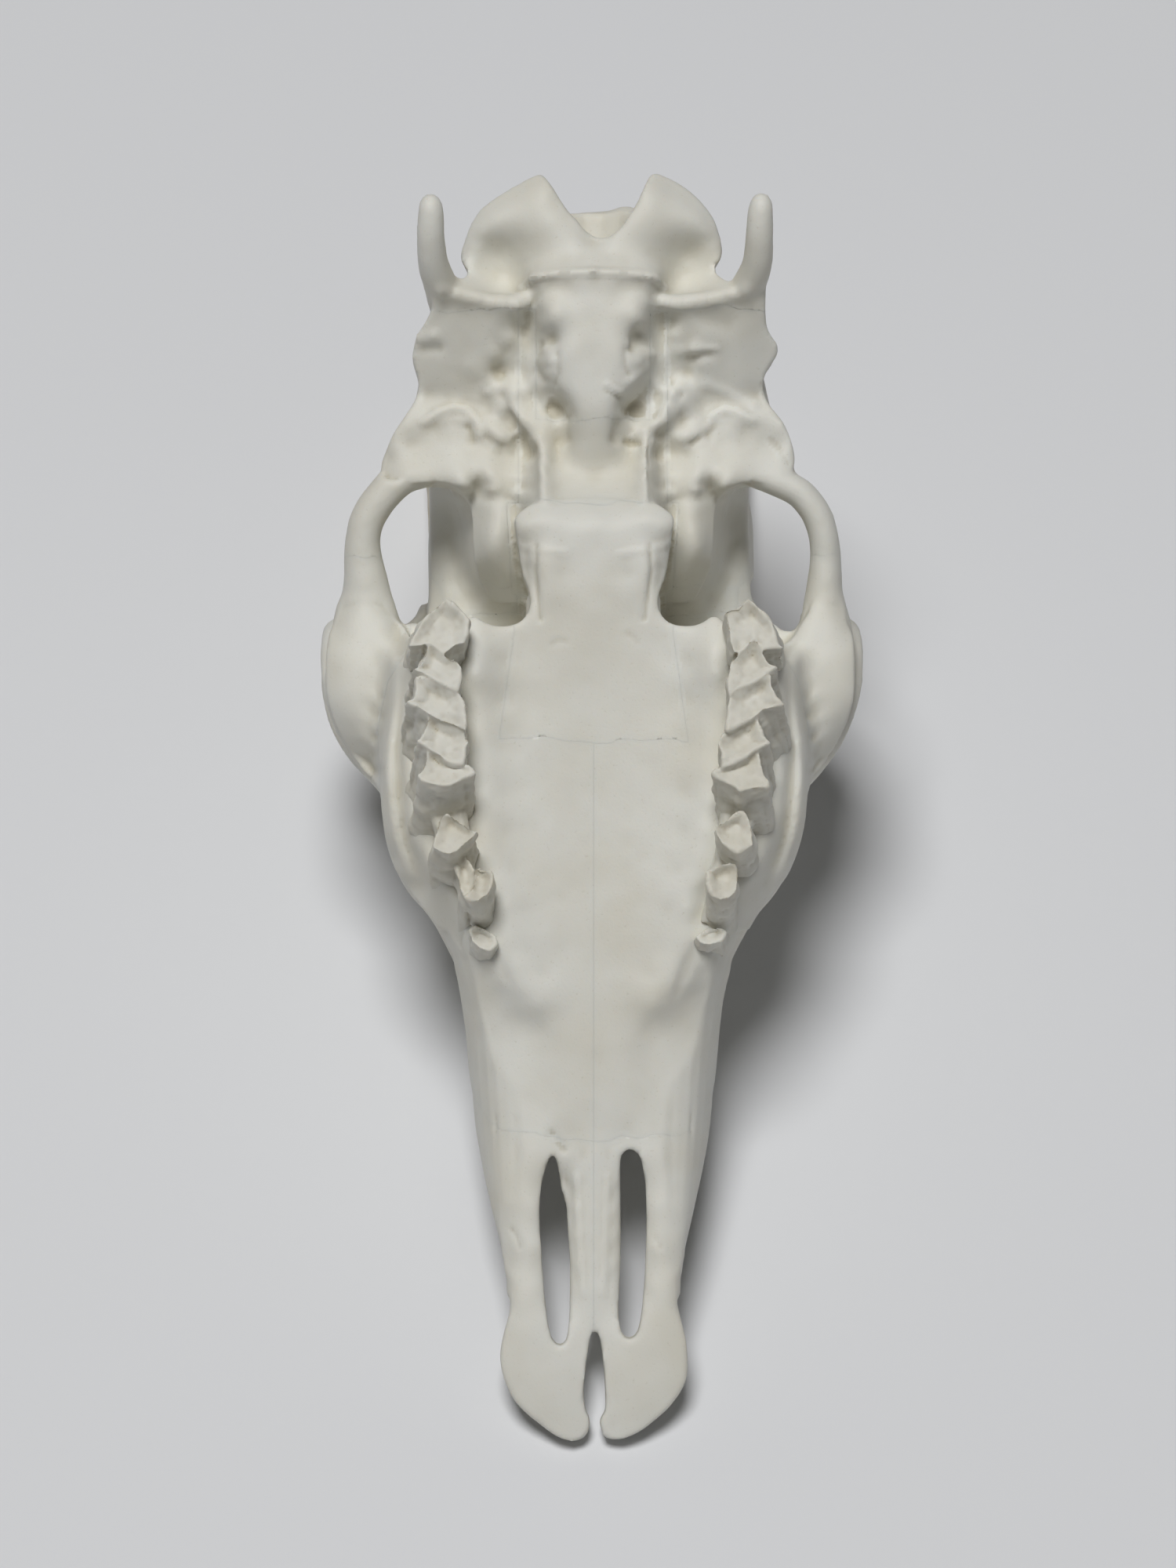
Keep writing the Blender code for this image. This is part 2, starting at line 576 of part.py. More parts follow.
BASE_OUTLINE = (
    (1.9, 266.9), (-0.1, 267.5), (-2.4, 269.1), (-4.8, 271.8), (-9.2, 267.5), (-17.2, 264.1),
    (-25.6, 261.7), (-27.9, 259.4), (-29.4, 257.9), (-31.6, 258.9), (-33.6, 259.6), (-35.5, 258.6),
    (-35.7, 254.8), (-36.1, 251.6), (-37.1, 249.3), (-38.3, 247.3), (-39.4, 245.4), (-40.2, 243.5),
    (-40.7, 241.4), (-40.4, 239.3), (-39.7, 237), (-39.3, 235), (-39.7, 232.9), (-40.6, 230.8),
    (-41.9, 228.6), (-43.4, 226.4), (-44.8, 224.3), (-45.9, 222.2), (-46.8, 220), (-47.6, 217.9),
    (-47.9, 216.1), (-47.7, 214.4), (-46.2, 213.2), (-42.2, 212.5), (-35.9, 212.8), (-32.1, 212.2),
    (-29.1, 210.1), (-27.7, 207.3), (-27.2, 203.8), (-27.2, 199.9), (-26.8, 195.8), (-26, 192.2),
    (-24.6, 189.5), (-22.9, 186.7), (-18.4, 186.1), (-13.9, 186.4), (-12.1, 190.3), (-11.8, 205),
    (12, 205), (12.3, 190.3), (14.2, 186.4), (18.7, 186.1), (23.2, 186.7), (24.9, 189.5), (26.3, 192.2),
    (27.1, 195.8), (27.4, 199.9), (27.5, 203.8), (27.9, 207.3), (29.3, 210.1), (32.3, 212), (35.1, 212.8),
    (38.7, 212.8), (42.8, 213.4), (44.7, 214.6), (45.5, 216.1), (45.8, 217.9), (45.6, 220), (45, 222.1),
    (44.1, 224.3), (43, 226.4), (41.3, 228.6), (39.7, 230.8), (38.9, 232.9), (38.5, 235), (38.9, 237),
    (40.1, 239.3), (41.5, 241.3), (41.7, 243.5), (40.2, 245.4), (39.1, 247.3), (38.8, 249.3),
    (38.6, 251.6), (38.7, 254.8), (38.5, 258.2), (35.5, 259.6), (32.9, 258.6), (31, 257.2), (28.9, 258.2),
    (27.4, 259.9), (25.2, 262.1), (18.1, 264.4), (11.9, 269), (8.5, 272.1), (6.8, 269.8), (5, 268),
    (3.6, 267.1),
)

CONDYLE_OUTLINES = {
    -1: (
        (-27.7, 259), (-28.3, 260.2), (-29.9, 263.3), (-29.4, 266.4), (-26.5, 272.7), (-22.4, 276.2),
        (-16.8, 279.5), (-12.9, 281.3), (-11.5, 281.5), (-10.4, 280.3), (-8.1, 276.7), (-5.9, 273.3),
        (-3.1, 269.7), (-3.9, 264), (-11.8, 258.8), (-20.6, 256.1),
    ),
    1: (
        (27.4, 260.2), (27.6, 261.3), (29.1, 263.7), (29.1, 266.4), (27.5, 271.5), (24.4, 275.9),
        (20.5, 279.3), (15.9, 281.6), (13.7, 282), (12.4, 280.7), (10.1, 275.4), (8.5, 272.5), (7, 270),
        (4.8, 264), (12.8, 258.8), (21.5, 256.1),
    ),
}


def roll_forward(made, start, rate):
    """Bends a form forward, more and more, above a level."""
    for vert in made.data.vertices:
        vert.co.y -= rate * max(0.0, start - vert.co.z) ** 2
    return made


def skull_base(depths):
    """What lies between the relief of the base and a depth, trimmed to the outline with its two condyles."""
    relief = terrain("skull_base", BASE_LEVELS, (-50, 50, 184, 285), depths)
    trim = plate("base_outline", BASE_OUTLINE, ((-60, 0), (60, 0)), steps=2)
    condyles = []
    for side in SIDES:
        levels = ((-38, 6), (-35.4, 4), (-30, 1.6), (-24, 0.3), (-18, 0), (60, 0))
        condyles.append(roll_forward(plate("condyle", CONDYLE_OUTLINES[side], levels), -20, 0.03))
    combine(trim, condyles, "UNION")
    combine(relief, [trim], "INTERSECT")
    return relief


# The palate and the muzzle, seen and measured in the same way.
PALATE_LEVELS = (
    (0, 207.5, -7), (0, 205.2, -3), (0, 203, -1.2), (0, 198.5, -0.9), (0, 191.5, -1), (0, 182.8, -1.6),
    (0, 174.2, -2.6), (0, 165.5, -3.3), (0, 155, -3.8), (0, 144.6, -4.1), (0, 134.1, -4.3),
    (0, 123.7, -4.4), (0, 113.2, -4.5), (0, 102.8, -4.6), (0, 92.3, -4.8), (0, 81.8, -5.1),
    (0, 71.4, -5.4), (0, 22.7, -3.4), (7.5, 207.4, -6), (7.5, 205.2, -2.8), (7.5, 202.6, -1.2),
    (7.5, 198.5, -1), (7.5, 191.5, -1.2), (7.5, 182.9, -1.9), (8, 174.2, -2.5), (8.4, 165.5, -3),
    (9.2, 155, -3.2), (9.2, 144.6, -3.5), (9.2, 134.2, -3.6), (9.2, 123.7, -3.8), (9.2, 113.2, -3.9),
    (8.7, 102.8, -4.1), (7.5, 94.1, -4.6), (7, 87.1, -5.2), (8, 80.1, -5.6), (8, 71.3, -5.7),
    (7.3, 65.2, -6.2), (11.8, 206.6, -4), (11.8, 204.6, -1.6), (11.8, 201.1, -1), (15.7, 204.5, -3),
    (16, 202.3, -1.6), (15.7, 200.3, -2.2), (13.6, 198.5, -2.2), (12.9, 193.3, -1.2), (12.2, 188.1, -1.4),
    (11.5, 183.7, -1.8), (14.3, 197.7, -2.2), (14.1, 194.4, -2.2), (13.3, 190.9, -2.2), (12.6, 187.9, -2),
    (13.6, 185.5, -2.6), (14.6, 182.9, -2.6), (15.8, 197.2, -5), (15.1, 192.9, -5), (14.8, 189.4, -5),
    (16.4, 180.3, -2.5), (19.7, 179.2, -2.4), (23.1, 179.7, -2), (25.7, 181.1, -1.6), (11.8, 179.4, -2.2),
    (15.3, 176.8, -2.6), (17.9, 174.2, -2.4), (20.5, 172.4, -2), (20.5, 163.7, -2.2), (20.5, 153.3, -2.2),
    (20.2, 142.9, -2.3), (19.7, 134.2, -2.4), (18.4, 125.5, -2.6), (16.7, 116.8, -3), (15.3, 108, -3.4),
    (15.7, 169, -2.6), (15.7, 155, -2.9), (15.3, 141.1, -3.1), (14.3, 127.2, -3.3), (12.9, 113.3, -3.6),
    (11.8, 102.8, -3.9), (27.4, 179.3, -0.8), (28, 174.1, 1.7), (28, 168.9, 1.8), (27.4, 162, -0.2),
    (26.9, 155, -0.3), (26.4, 148.1, -0.4), (26.1, 141.1, -0.6), (25.7, 134.2, -0.8), (24.9, 128.1, -1.2),
    (23, 122.9, -1.8), (21.2, 116.8, -2.2), (19.7, 110.7, -2.6), (18.4, 104.6, -3), (16.4, 99, -3.4),
    (12.9, 95.1, -3.8), (10.1, 94.4, -4.4), (30.1, 174.2, -1), (29.8, 169, -1.5), (29.3, 162, -1.5),
    (28.9, 155, -1.5), (28.4, 148.1, -1.5), (28, 141.1, -2), (27.5, 134.1, -2.4), (26.7, 127.2, -2.4),
    (25.4, 121.9, -4.5), (23.7, 115.8, -5), (31.9, 172.5, -3), (31.9, 162, -3.5), (31.4, 151.6, -3.5),
    (30.7, 137.6, -4), (29.3, 125.4, -4), (27.2, 111.5, -5), (25.8, 107.1, -5.4), (22.6, 108.9, -3.6),
    (24.1, 103.6, -7), (20.6, 101, -5), (18, 97.2, -5.4), (22, 97.7, -8.6), (18.9, 93.9, -8),
    (25.6, 98.7, -10.5), (15.7, 92.2, -7), (11.9, 90.5, -6.4), (9.4, 90.5, -5.4), (26.7, 93.7, -13),
    (23.3, 92, -11), (19.2, 89.5, -9.4), (15.4, 86.9, -7.8), (11.5, 85.2, -6.8), (27, 86.6, -14),
    (23.8, 85, -11.4), (19.8, 83.4, -9), (15.7, 81.7, -7.6), (11.9, 80, -6.8), (26.5, 77.9, -13.4),
    (23.5, 76.3, -9.8), (19.2, 74.7, -7.8), (15, 73.9, -7), (11.5, 73, -6.4), (25.6, 69.2, -12.4),
    (22.7, 67.7, -8.8), (18.9, 66.9, -7), (14.5, 66.1, -6.2), (11, 65.7, -5.8), (10.1, 61.2, -5.6),
    (24.5, 61.3, -11.6), (21.7, 60.7, -7.8), (18, 59.1, -6.2), (13.6, 58.3, -5.4), (23.5, 53.5, -10.6),
    (20.6, 52, -7), (17.1, 50.4, -5.2), (13.2, 50.5, -4.8), (22.1, 44.8, -9.6), (19.2, 43.4, -5.8),
    (16, 42.7, -4.4), (12.9, 41.8, -4.2), (20.6, 36.3, -7.6), (18.5, 34.8, -4.4), (15.3, 34, -3.6),
    (12.5, 33.2, -3.6), (17.9, 28.8, -3.2), (15.3, 28, -2.8), (11.8, 27.1, -2.8), (17.9, 19.3, -2.6),
    (18.8, 12.3, -2.8), (16.2, 8, -2.8), (11.8, 15.9, -2.2), (11.8, 5.4, -2.6), (6.6, 15.9, -2.2),
    (7.5, 8.9, -2.3), (6.6, 1.9, -3), (3.1, 22.8, -3), (3.1, 15.8, -2.6), (3.1, 8.9, -2.8),
    (3.5, 1.8, -3.4), (10.1, 2.8, -3), (6.6, 24.5, -3.2), (0, 62, -5.2), (1.4, 62, -5.3), (3, 62, -5.9),
    (4.6, 62, -5.6), (0, 56, -5), (1.4, 56, -5.2), (3, 56, -5.8), (4.6, 56, -5.5), (6.2, 56, -8.1),
    (0, 50, -4.8), (1.4, 50, -5), (3, 50, -5.6), (4.6, 50, -5.2), (6.2, 50, -7.8), (0, 44, -4.5),
    (1.4, 44, -4.6), (3, 44, -5.2), (4.6, 44, -4.9), (6.2, 44, -7.5), (0, 38, -4), (1.4, 38, -4.2),
    (3, 38, -4.8), (4.6, 38, -4.5), (6.2, 38, -7.1), (0, 32, -3.5), (1.4, 32, -3.7), (3, 32, -4.3),
    (4.6, 32, -4), (6.2, 32, -6.6),
)

PALATE_OUTLINE = (
    (0.1, 208.2), (-11.8, 207.5), (-15.6, 205.6), (-17.5, 203.8), (-17.2, 200.4), (-16.6, 196.3),
    (-15.7, 191.1), (-14.6, 188.1), (-14, 185), (-14.7, 182.4), (-16.6, 180.4), (-19.9, 179.6),
    (-23.6, 180.1), (-26.7, 181.8), (-29.1, 179.4), (-30.6, 174.2), (-30.4, 162), (-29.9, 151.6),
    (-29.2, 139.4), (-28.5, 130.7), (-26.7, 121.9), (-27.8, 114.1), (-29.3, 108.8), (-29, 103.4),
    (-28.3, 98.6), (-27.7, 91.9), (-27.5, 83.1), (-27, 74.3), (-26.4, 67.3), (-25.3, 60.4), (-24.1, 51.7),
    (-22.5, 43.1), (-20.9, 36.2), (-19.4, 31.2), (-18.5, 30), (-18.8, 26.5), (-19.7, 23.4), (-20.6, 19.3),
    (-20.7, 16.3), (-19.9, 12.6), (-18.3, 8.9), (-15.7, 5.5), (-11.5, 2), (-8.2, -0.3), (-4.9, -1.4),
    (-2.6, -0.9), (-1.4, 0.5), (-0.9, 2.7), (-1.6, 4.8), (-2, 5.9), (-2.2, 10.9), (-1.6, 16.3),
    (-0.7, 21.6), (-0.1, 25.2), (0.1, 27.6), (0.3, 24.5), (1.1, 22.5), (1.9, 18), (2.4, 12.2), (2.7, 5.5),
    (1.9, 4), (1.4, 2.5), (1.9, 1.1), (2.4, -0.5), (4.8, -1.1), (7.6, -0.5), (11.3, 1.4), (15.6, 4.9),
    (19, 8.9), (20.7, 12.6), (20.9, 16.6), (20.3, 22), (19.1, 26.5), (18.5, 30), (19.6, 31.2),
    (21.1, 36.2), (22.7, 43.1), (24.3, 51.7), (25.6, 60.4), (26.6, 67.3), (27.2, 74.3), (27.7, 83.1),
    (27.9, 91.9), (28.6, 98.6), (29.2, 103.4), (29.5, 108.8), (28, 114.1), (26.9, 121.9), (28.7, 130.7),
    (29.4, 139.4), (30.1, 151.6), (30.6, 162), (30.8, 174.2), (29.3, 179.4), (26.9, 181.8), (23.7, 180.1),
    (20.1, 179.6), (16.8, 180.4), (14.9, 182.4), (14.2, 185), (14.8, 188.1), (15.9, 191.1), (16.8, 196.3),
    (17.4, 200.4), (17.7, 203.8), (15.8, 205.6), (12, 207.5),
)


def palate(depths):
    relief = terrain("palate", PALATE_LEVELS, (-36, 36, -3, 212), depths)
    combine(relief, [plate("palate_outline", PALATE_OUTLINE, ((-60, 0), (60, 0)), steps=3)], "INTERSECT")
    return relief


# The side of the face below the orbit: the cheek, the facial crest and the ledge beside the teeth.
CHEEK_LEVELS = (
    (58.8, 180.8, -29.4), (55.7, 180.7, -26.4), (51.2, 180.7, -25.4), (46.8, 180.7, -26.4),
    (44.4, 180.8, -29.6), (59.4, 177.5, -26.8), (55.6, 177.4, -24.8), (51.1, 177.4, -24),
    (46.7, 177.4, -24), (43.7, 177.4, -25.8), (60, 173.9, -25.2), (56.3, 173.8, -23.3),
    (51.9, 173.8, -22.4), (47.4, 173.8, -21.6), (44.1, 173.7, -19.4), (42.5, 173.6, -16.6),
    (60.1, 169.4, -25), (57.2, 169.4, -23), (53.6, 169.3, -21.8), (49.5, 169.3, -20.4),
    (47.1, 169.3, -19), (46.2, 169.1, -17.4), (59.8, 164.4, -25), (56.6, 164.4, -22.8),
    (53, 164.4, -21.2), (49.5, 164.4, -20), (47.3, 164.2, -19.6), (58, 159.7, -26), (55.1, 159.6, -23.4),
    (51.8, 159.6, -21.8), (49, 159.6, -21.2), (47.7, 159.6, -21), (55.8, 155.3, -28),
    (53.2, 155.2, -25.4), (50.7, 155.2, -23.8), (48.7, 155, -23.6), (53.5, 151.4, -31),
    (51.2, 151.4, -28.2), (49.4, 151.2, -27.4), (51.1, 147.8, -35), (49.6, 147.8, -32.6),
    (39.6, 170.4, -5), (39.8, 165.5, -5), (39.8, 161.2, -5), (39.1, 153.3, -5), (38.8, 146.3, -5),
    (38.1, 139.4, -5), (35.3, 128.9, -5.4), (29.4, 121.9, -5.4), (27.6, 115, -5.4), (25.5, 109.7, -5.6),
    (27.7, 105.8, -8.4), (30.2, 176, -5), (30.2, 169, -5), (30.2, 162, -5), (29.3, 153.3, -5),
    (28.5, 144.6, -5), (27.9, 135.9, -5), (37.3, 179.6, -9), (34.7, 182.2, -10), (31.2, 182.7, -8),
    (38.6, 177, -10), (40.2, 175.3, -12), (41.3, 174.1, -14), (57.4, 184.5, -29.8), (54.6, 184.5, -27.4),
    (51.2, 184.5, -26.6), (48.2, 184.5, -27.6), (46.2, 184.5, -29.6), (56, 188, -29.4), (52, 188, -27),
    (48.5, 188, -28.6),
)

# Lines along the cheek: the foot, the shoulder and the top of the facial crest, the furrow inside it, the ledge.
CHEEK_LINES = (
    (
        (46.3, 169.6, -17.4), (46.6, 165.7, -16.8), (47, 161.3, -16), (47.6, 156.9, -15.4),
        (48.1, 153, -15), (48.4, 149.5, -14.8),
    ),
    (
        (45.8, 171, -17), (45.6, 167.8, -14.6), (45.5, 164.6, -12.4), (45.8, 161.4, -11),
        (46.3, 157.7, -10.2), (46.9, 153.7, -9.8), (47.1, 149.8, -9.6), (47.2, 145.5, -9.6),
        (47, 141.1, -10), (46.7, 136.7, -11.2), (46.1, 132.3, -13.2), (44.9, 127.9, -16.2),
    ),
    (
        (44.9, 173.1, -16), (44.7, 170.9, -14), (44.6, 168.8, -12.2), (44.3, 165.6, -9.8),
        (44.5, 162.4, -8.4), (44.8, 158.9, -7.4), (45.2, 155.1, -6.8), (45.4, 151.2, -6.5),
        (45.4, 147.2, -6.4), (45.3, 142.9, -6.6), (44.9, 138.5, -7.2), (44.3, 134.1, -8.4),
        (43.3, 129.7, -10.2), (41.8, 125.6, -12.8), (39.6, 122.1, -15.6),
    ),
    (
        (43.2, 171.2, -11.4), (43, 168.8, -9.8), (43, 166.3, -8.8), (43.1, 163.8, -8.2),
        (43.3, 159.5, -7.8), (43.7, 155.1, -7.6), (43.8, 151.2, -7.6), (43.7, 147.2, -7.6),
        (43.4, 142.9, -7.9), (43.2, 138.5, -8.6), (42.6, 134.1, -10), (41.6, 129.7, -11.6),
        (40.1, 125.6, -12.8), (38.2, 122.1, -14),
    ),
    (
        (42, 170.5, -7.4), (41.9, 167.3, -6.4), (42.3, 163.8, -6), (42.6, 159.4, -5.8),
        (42.9, 155.4, -5.6), (42.8, 151.6, -5.2), (42.5, 148.1, -5.2), (42.3, 144.6, -5.4),
        (42.1, 141.5, -5.8), (41.9, 138.3, -6.4), (41.4, 135.2, -7.2), (40.4, 132, -7.4),
        (39, 129.2, -7.6), (37.8, 126.4, -8), (36.6, 123.6, -8.2), (35, 120.8, -8), (33.3, 118, -8),
        (31.5, 115.2, -8.4), (30, 112.1, -9), (28.8, 108.9, -10),
    ),
    (
        (41, 169, -5.4), (41.2, 164.6, -5), (41.5, 159.4, -4.8), (41.7, 155.1, -4.6), (41.3, 151.6, -4.2),
        (41.3, 147.2, -4.2), (41, 142.9, -4.4), (40.7, 138.5, -5), (39.5, 134.5, -5.2),
        (37.5, 130.7, -4.8), (36.1, 126.5, -5), (34.9, 123, -5), (32.7, 120.9, -4.8), (30.7, 118.1, -5.2),
        (29, 114.2, -6), (27.6, 109.7, -6.6),
    ),
)

CHEEK_OUTLINES = {
    -1: (
        (56.4, 186), (58.2, 183),
        (58.8, 181.2), (59.5, 179.1), (60.1, 176.4), (60.3, 172.9), (60.4, 169.4), (60.2, 165.1),
        (59.3, 161.2), (58.1, 157.7), (56.3, 154.1), (54.2, 150.6), (51.9, 147.4), (49.7, 145),
        (47.8, 142.8), (47.4, 139.3), (46.9, 135), (46.2, 130.6), (45.2, 127.4), (43.8, 124.2),
        (42, 121.4), (39.4, 117.9), (36.8, 114.7), (34.3, 110.9), (32.7, 107.4), (30.5, 104.6),
        (26.6, 104.9), (23.8, 108.8), (24.5, 114.7), (25.5, 121.8), (26.5, 130.6), (27.2, 139.3),
        (27.9, 148.1), (29, 156.9), (29.7, 165.6), (29, 174.4), (29.3, 180.3), (31.9, 183.8),
        (34.2, 184.5), (37.2, 182.4), (39.1, 179.6), (40.9, 176.5), (41.7, 178.6), (43.2, 180.8),
        (45.8, 183), (47.6, 186),
    ),
    1: (
        (56.6, 186), (57.4, 183.4),
        (57.7, 181.2), (58.8, 179.1), (59.2, 176.4), (59.3, 172.9), (59.3, 169.4), (59.1, 165.1),
        (58.4, 161.2), (57.2, 157.7), (55.5, 154.1), (53.5, 150.6), (51.2, 147.4), (49.3, 145),
        (48.1, 142.8), (47.8, 139.3), (47.3, 135), (46.4, 130.6), (45.3, 127.4), (43.8, 124.2),
        (41.9, 121.4), (39.1, 117.9), (36.6, 114.7), (34.4, 110.9), (32.6, 107.4), (30.3, 104.6),
        (26.5, 104.9), (24, 108.8), (24.7, 114.7), (25.7, 121.8), (26.7, 130.6), (27.4, 139.3),
        (28.1, 148.1), (29.2, 156.9), (29.9, 165.6), (29.2, 174.4), (29.5, 180.3), (32, 183.8),
        (34.4, 184.5), (37.2, 182.8), (39.7, 180), (41.2, 176.8), (42.5, 175.8), (45, 177.3),
        (46.4, 179.4), (47.5, 181.2), (49, 183.4), (50.2, 186),
    ),
}


def cheek(side, depths):
    limits = (24, 64, 98, 192) if side > 0 else (-64, -24, 98, 192)
    points = [*CHEEK_LEVELS, *(p for line in CHEEK_LINES for p in smooth_rows(line, 4))]
    relief = terrain("cheek", points, limits, depths, step=0.8)
    trim = plate("cheek_outline", CHEEK_OUTLINES[side], ((-60, 0), (60, 0)), side, steps=2)
    combine(relief, [trim], "INTERSECT")
    return relief


def foramen_magnum():
    return sweep(
        "foramen_magnum",
        ((0.3, 251, -28, 7, 8), (0.3, 262, -28, 9, 9.4), (0.3, 275, -28, 10.4, 11), (0.3, 292, -28, 11.4, 12)),
    )


# The middle of the process beside the neck, from its root to its tip, and the knob of the ear region.
PROCESS_PATHS = {
    -1: ((33, 252.6), (34.2, 256.6), (35.7, 260.6), (36.2, 266), (36.1, 271), (36.3, 273.6), (36.6, 275)),
    1: ((33.6, 252.6), (35, 256.6), (36.5, 260.6), (36.8, 266), (36.9, 271), (37.2, 273.8), (37.5, 275.3)),
}
KNOBS = {-1: ((36.8, 241, -30), (4, 4.6, 6)), 1: ((37.6, 242.4, -30), (4, 4, 6))}


def fine_forms(side):
    widths = (
        (-21, 4, 4.6),
        (-14.8, 3.8, 4.4),
        (-8.6, 3.4, 4),
        (-3.4, 3.1, 3.5),
        (-0.8, 2.9, 3.1),
        (-0.2, 2.4, 2.6),
        (0.2, 1.1, 1.3),
    )
    path = [(x, y, *others) for (x, y), others in zip(PROCESS_PATHS[side], widths)]
    side_of_snout = ball("side_of_snout", (20.9, 62.6, -11.8), (2, 5, 2.3), side)
    return [sweep("neck_process", path, side), ball("mastoid", *KNOBS[side], side), side_of_snout]


def nuchal_crest():
    nape = (
        (0, 260.4, -62, 3, 3.2),
        (16, 258.4, -59, 3, 3),
        (27, 251.6, -50, 2.6, 3),
        (31.6, 243.6, -40, 2, 3),
        (30.6, 236, -34, 1, 1.4),
    )
    return sweep("nuchal_crest", [*[(-x, *others) for x, *others in reversed(nape[1:])], *nape])


def foramen_rim():
    return sweep(
        "foramen_rim",
        (
            (-14, 266, -34, 2.6, 3),
            (-8, 271.6, -38, 2.6, 3),
            (-2, 273, -41, 2.6, 3),
            (4, 273.4, -42, 2.6, 3),
            (9, 274, -39, 2.6, 3),
            (14, 268, -34, 2.6, 3),
        ),
    )


def horn_core(side):
    return sweep(
        "horn_core",
        (
            (21, 189, -72, 15, 18),
            (22.5, 191, -88, 15, 17.5),
            (24.5, 195, -103, 13.6, 15.5),
            (27.5, 202, -122, 11.4, 12.6),
            (31, 212, -143, 8.8, 9.4),
            (34.5, 224, -163, 6.2, 6.4),
            (37, 235, -178, 4.2, 4.2),
            (38.5, 242, -186, 2.8, 2.8),
        ),
        side,
        around=20,
        up=(0, 1, 0),
    )


# The cuts that keep a sharper edge than the hollows.

# The slot through the palate on each side.
PALATE_SLOTS = {
    -1: (
        (-9.2, 62.4), (-8.3, 61.1), (-7.8, 58.9), (-7.2, 54.4), (-6.1, 50.4), (-5.6, 43.2), (-5.3, 36.5),
        (-5.4, 27.6), (-5.9, 22.2), (-6.5, 20.4), (-7.4, 19.8), (-8.5, 20.4), (-9.4, 21.8), (-10.3, 26.2),
        (-11, 32.1), (-11.7, 41), (-12, 49), (-11.7, 54.9), (-11, 58.2), (-9.9, 61.5),
    ),
    1: (
        (7.8, 63.4), (9.1, 63), (10.5, 61.5), (11.1, 58.9), (11.7, 54.9), (11.9, 47.7), (11.7, 41),
        (11.4, 34.3), (10.7, 27.6), (10, 23.5), (9.1, 21.8), (7.8, 21.2), (6.7, 21.8), (5.9, 23.5),
        (5.5, 27.6), (5.9, 36.5), (6, 45.5), (5.9, 54.4), (5.9, 60.2), (6.4, 62.5),
    ),
}


# The narrow front end of the gap inside each cheek arch, at the level of the palate. It widens evenly upwards.
ARCH_GAPS = {
    -1: (
        (-45.4, 190), (-44.2, 186), (-43.2, 183), (-42.5, 181), (-41.6, 179.6), (-40.2, 180.2),
        (-38.6, 181.8), (-36.9, 186), (-36.9, 190),
    ),
    1: (
        (35.1, 190), (35.4, 186), (36.8, 184), (38.4, 182.2), (40.2, 180.2), (41.8, 178.5),
        (44.6, 178.3), (46.2, 180.2),
        (46.7, 184), (47, 190),
    ),
}


def arch_gap(side):
    rings = []
    for z in (-116, 6):
        spread = 1 - z / 1200
        rings.append([(-1.3 + (x + 1.3) * spread, 144.6 + (y - 144.6) * spread, z) for x, y in ARCH_GAPS[side]])
    return skin("arch_gap", rings)


# The rounded side of the muzzle: y, half width, the height of the palate beside it, and the size of the bend.
MUZZLE_SIDES = (
    (112, 35.2, -5, 0.95),
    (106, 32.4, -5.2, 1),
    (100, 30.8, -6, 1),
    (94, 29.8, -8, 1),
    (88, 29, -8.4, 1),
    (80, 28.2, -8.2, 1),
    (70, 27.3, -8, 0.95),
    (60, 25.8, -7, 0.8),
    (50, 23.9, -5.5, 0.62),
    (40, 21.5, -4.4, 0.42),
    (34, 20, -3.7, 0.32),
    (28, 19.6, -3.3, 0.24),
    (22, 21.6, -3, 0.14),
)
MUZZLE_BEND = (
    (-13, 2),
    (-11, 0.7),
    (-9, 0),
    (-6.5, -1.6),
    (-4.5, -4.4),
    (-2.6, -9.3),
    (-1.2, -14.8),
    (0, -23),
    (1, -30),
)


def muzzle_side(side):
    """What is cut away beside the palate, so that the muzzle turns down steeply at its sides."""
    rings = []
    for y, width, z, size in MUZZLE_SIDES:
        bend = [(side * (width + size * dx), y, z + size * dz) for dx, dz in MUZZLE_BEND]
        far = side * (width + 30)
        rings.append([*bend, (far, y, bend[-1][2]), (far, y, 30), (bend[0][0], y, 30)])
    return skin("muzzle_side", rings)


def fine_cuts():
    cuts = []
    for side in SIDES:
        cuts.append(arch_gap(side))
        cuts.append(muzzle_side(side))
        cuts.append(ball("under_arch_root", (51, 211, -54), (13, 13, 16), side))
        cuts.append(plate("palate_slot", PALATE_SLOTS[side], ((-24, 0), (6, 0)), steps=2))
    cuts.append(foramen_magnum())
    return cuts


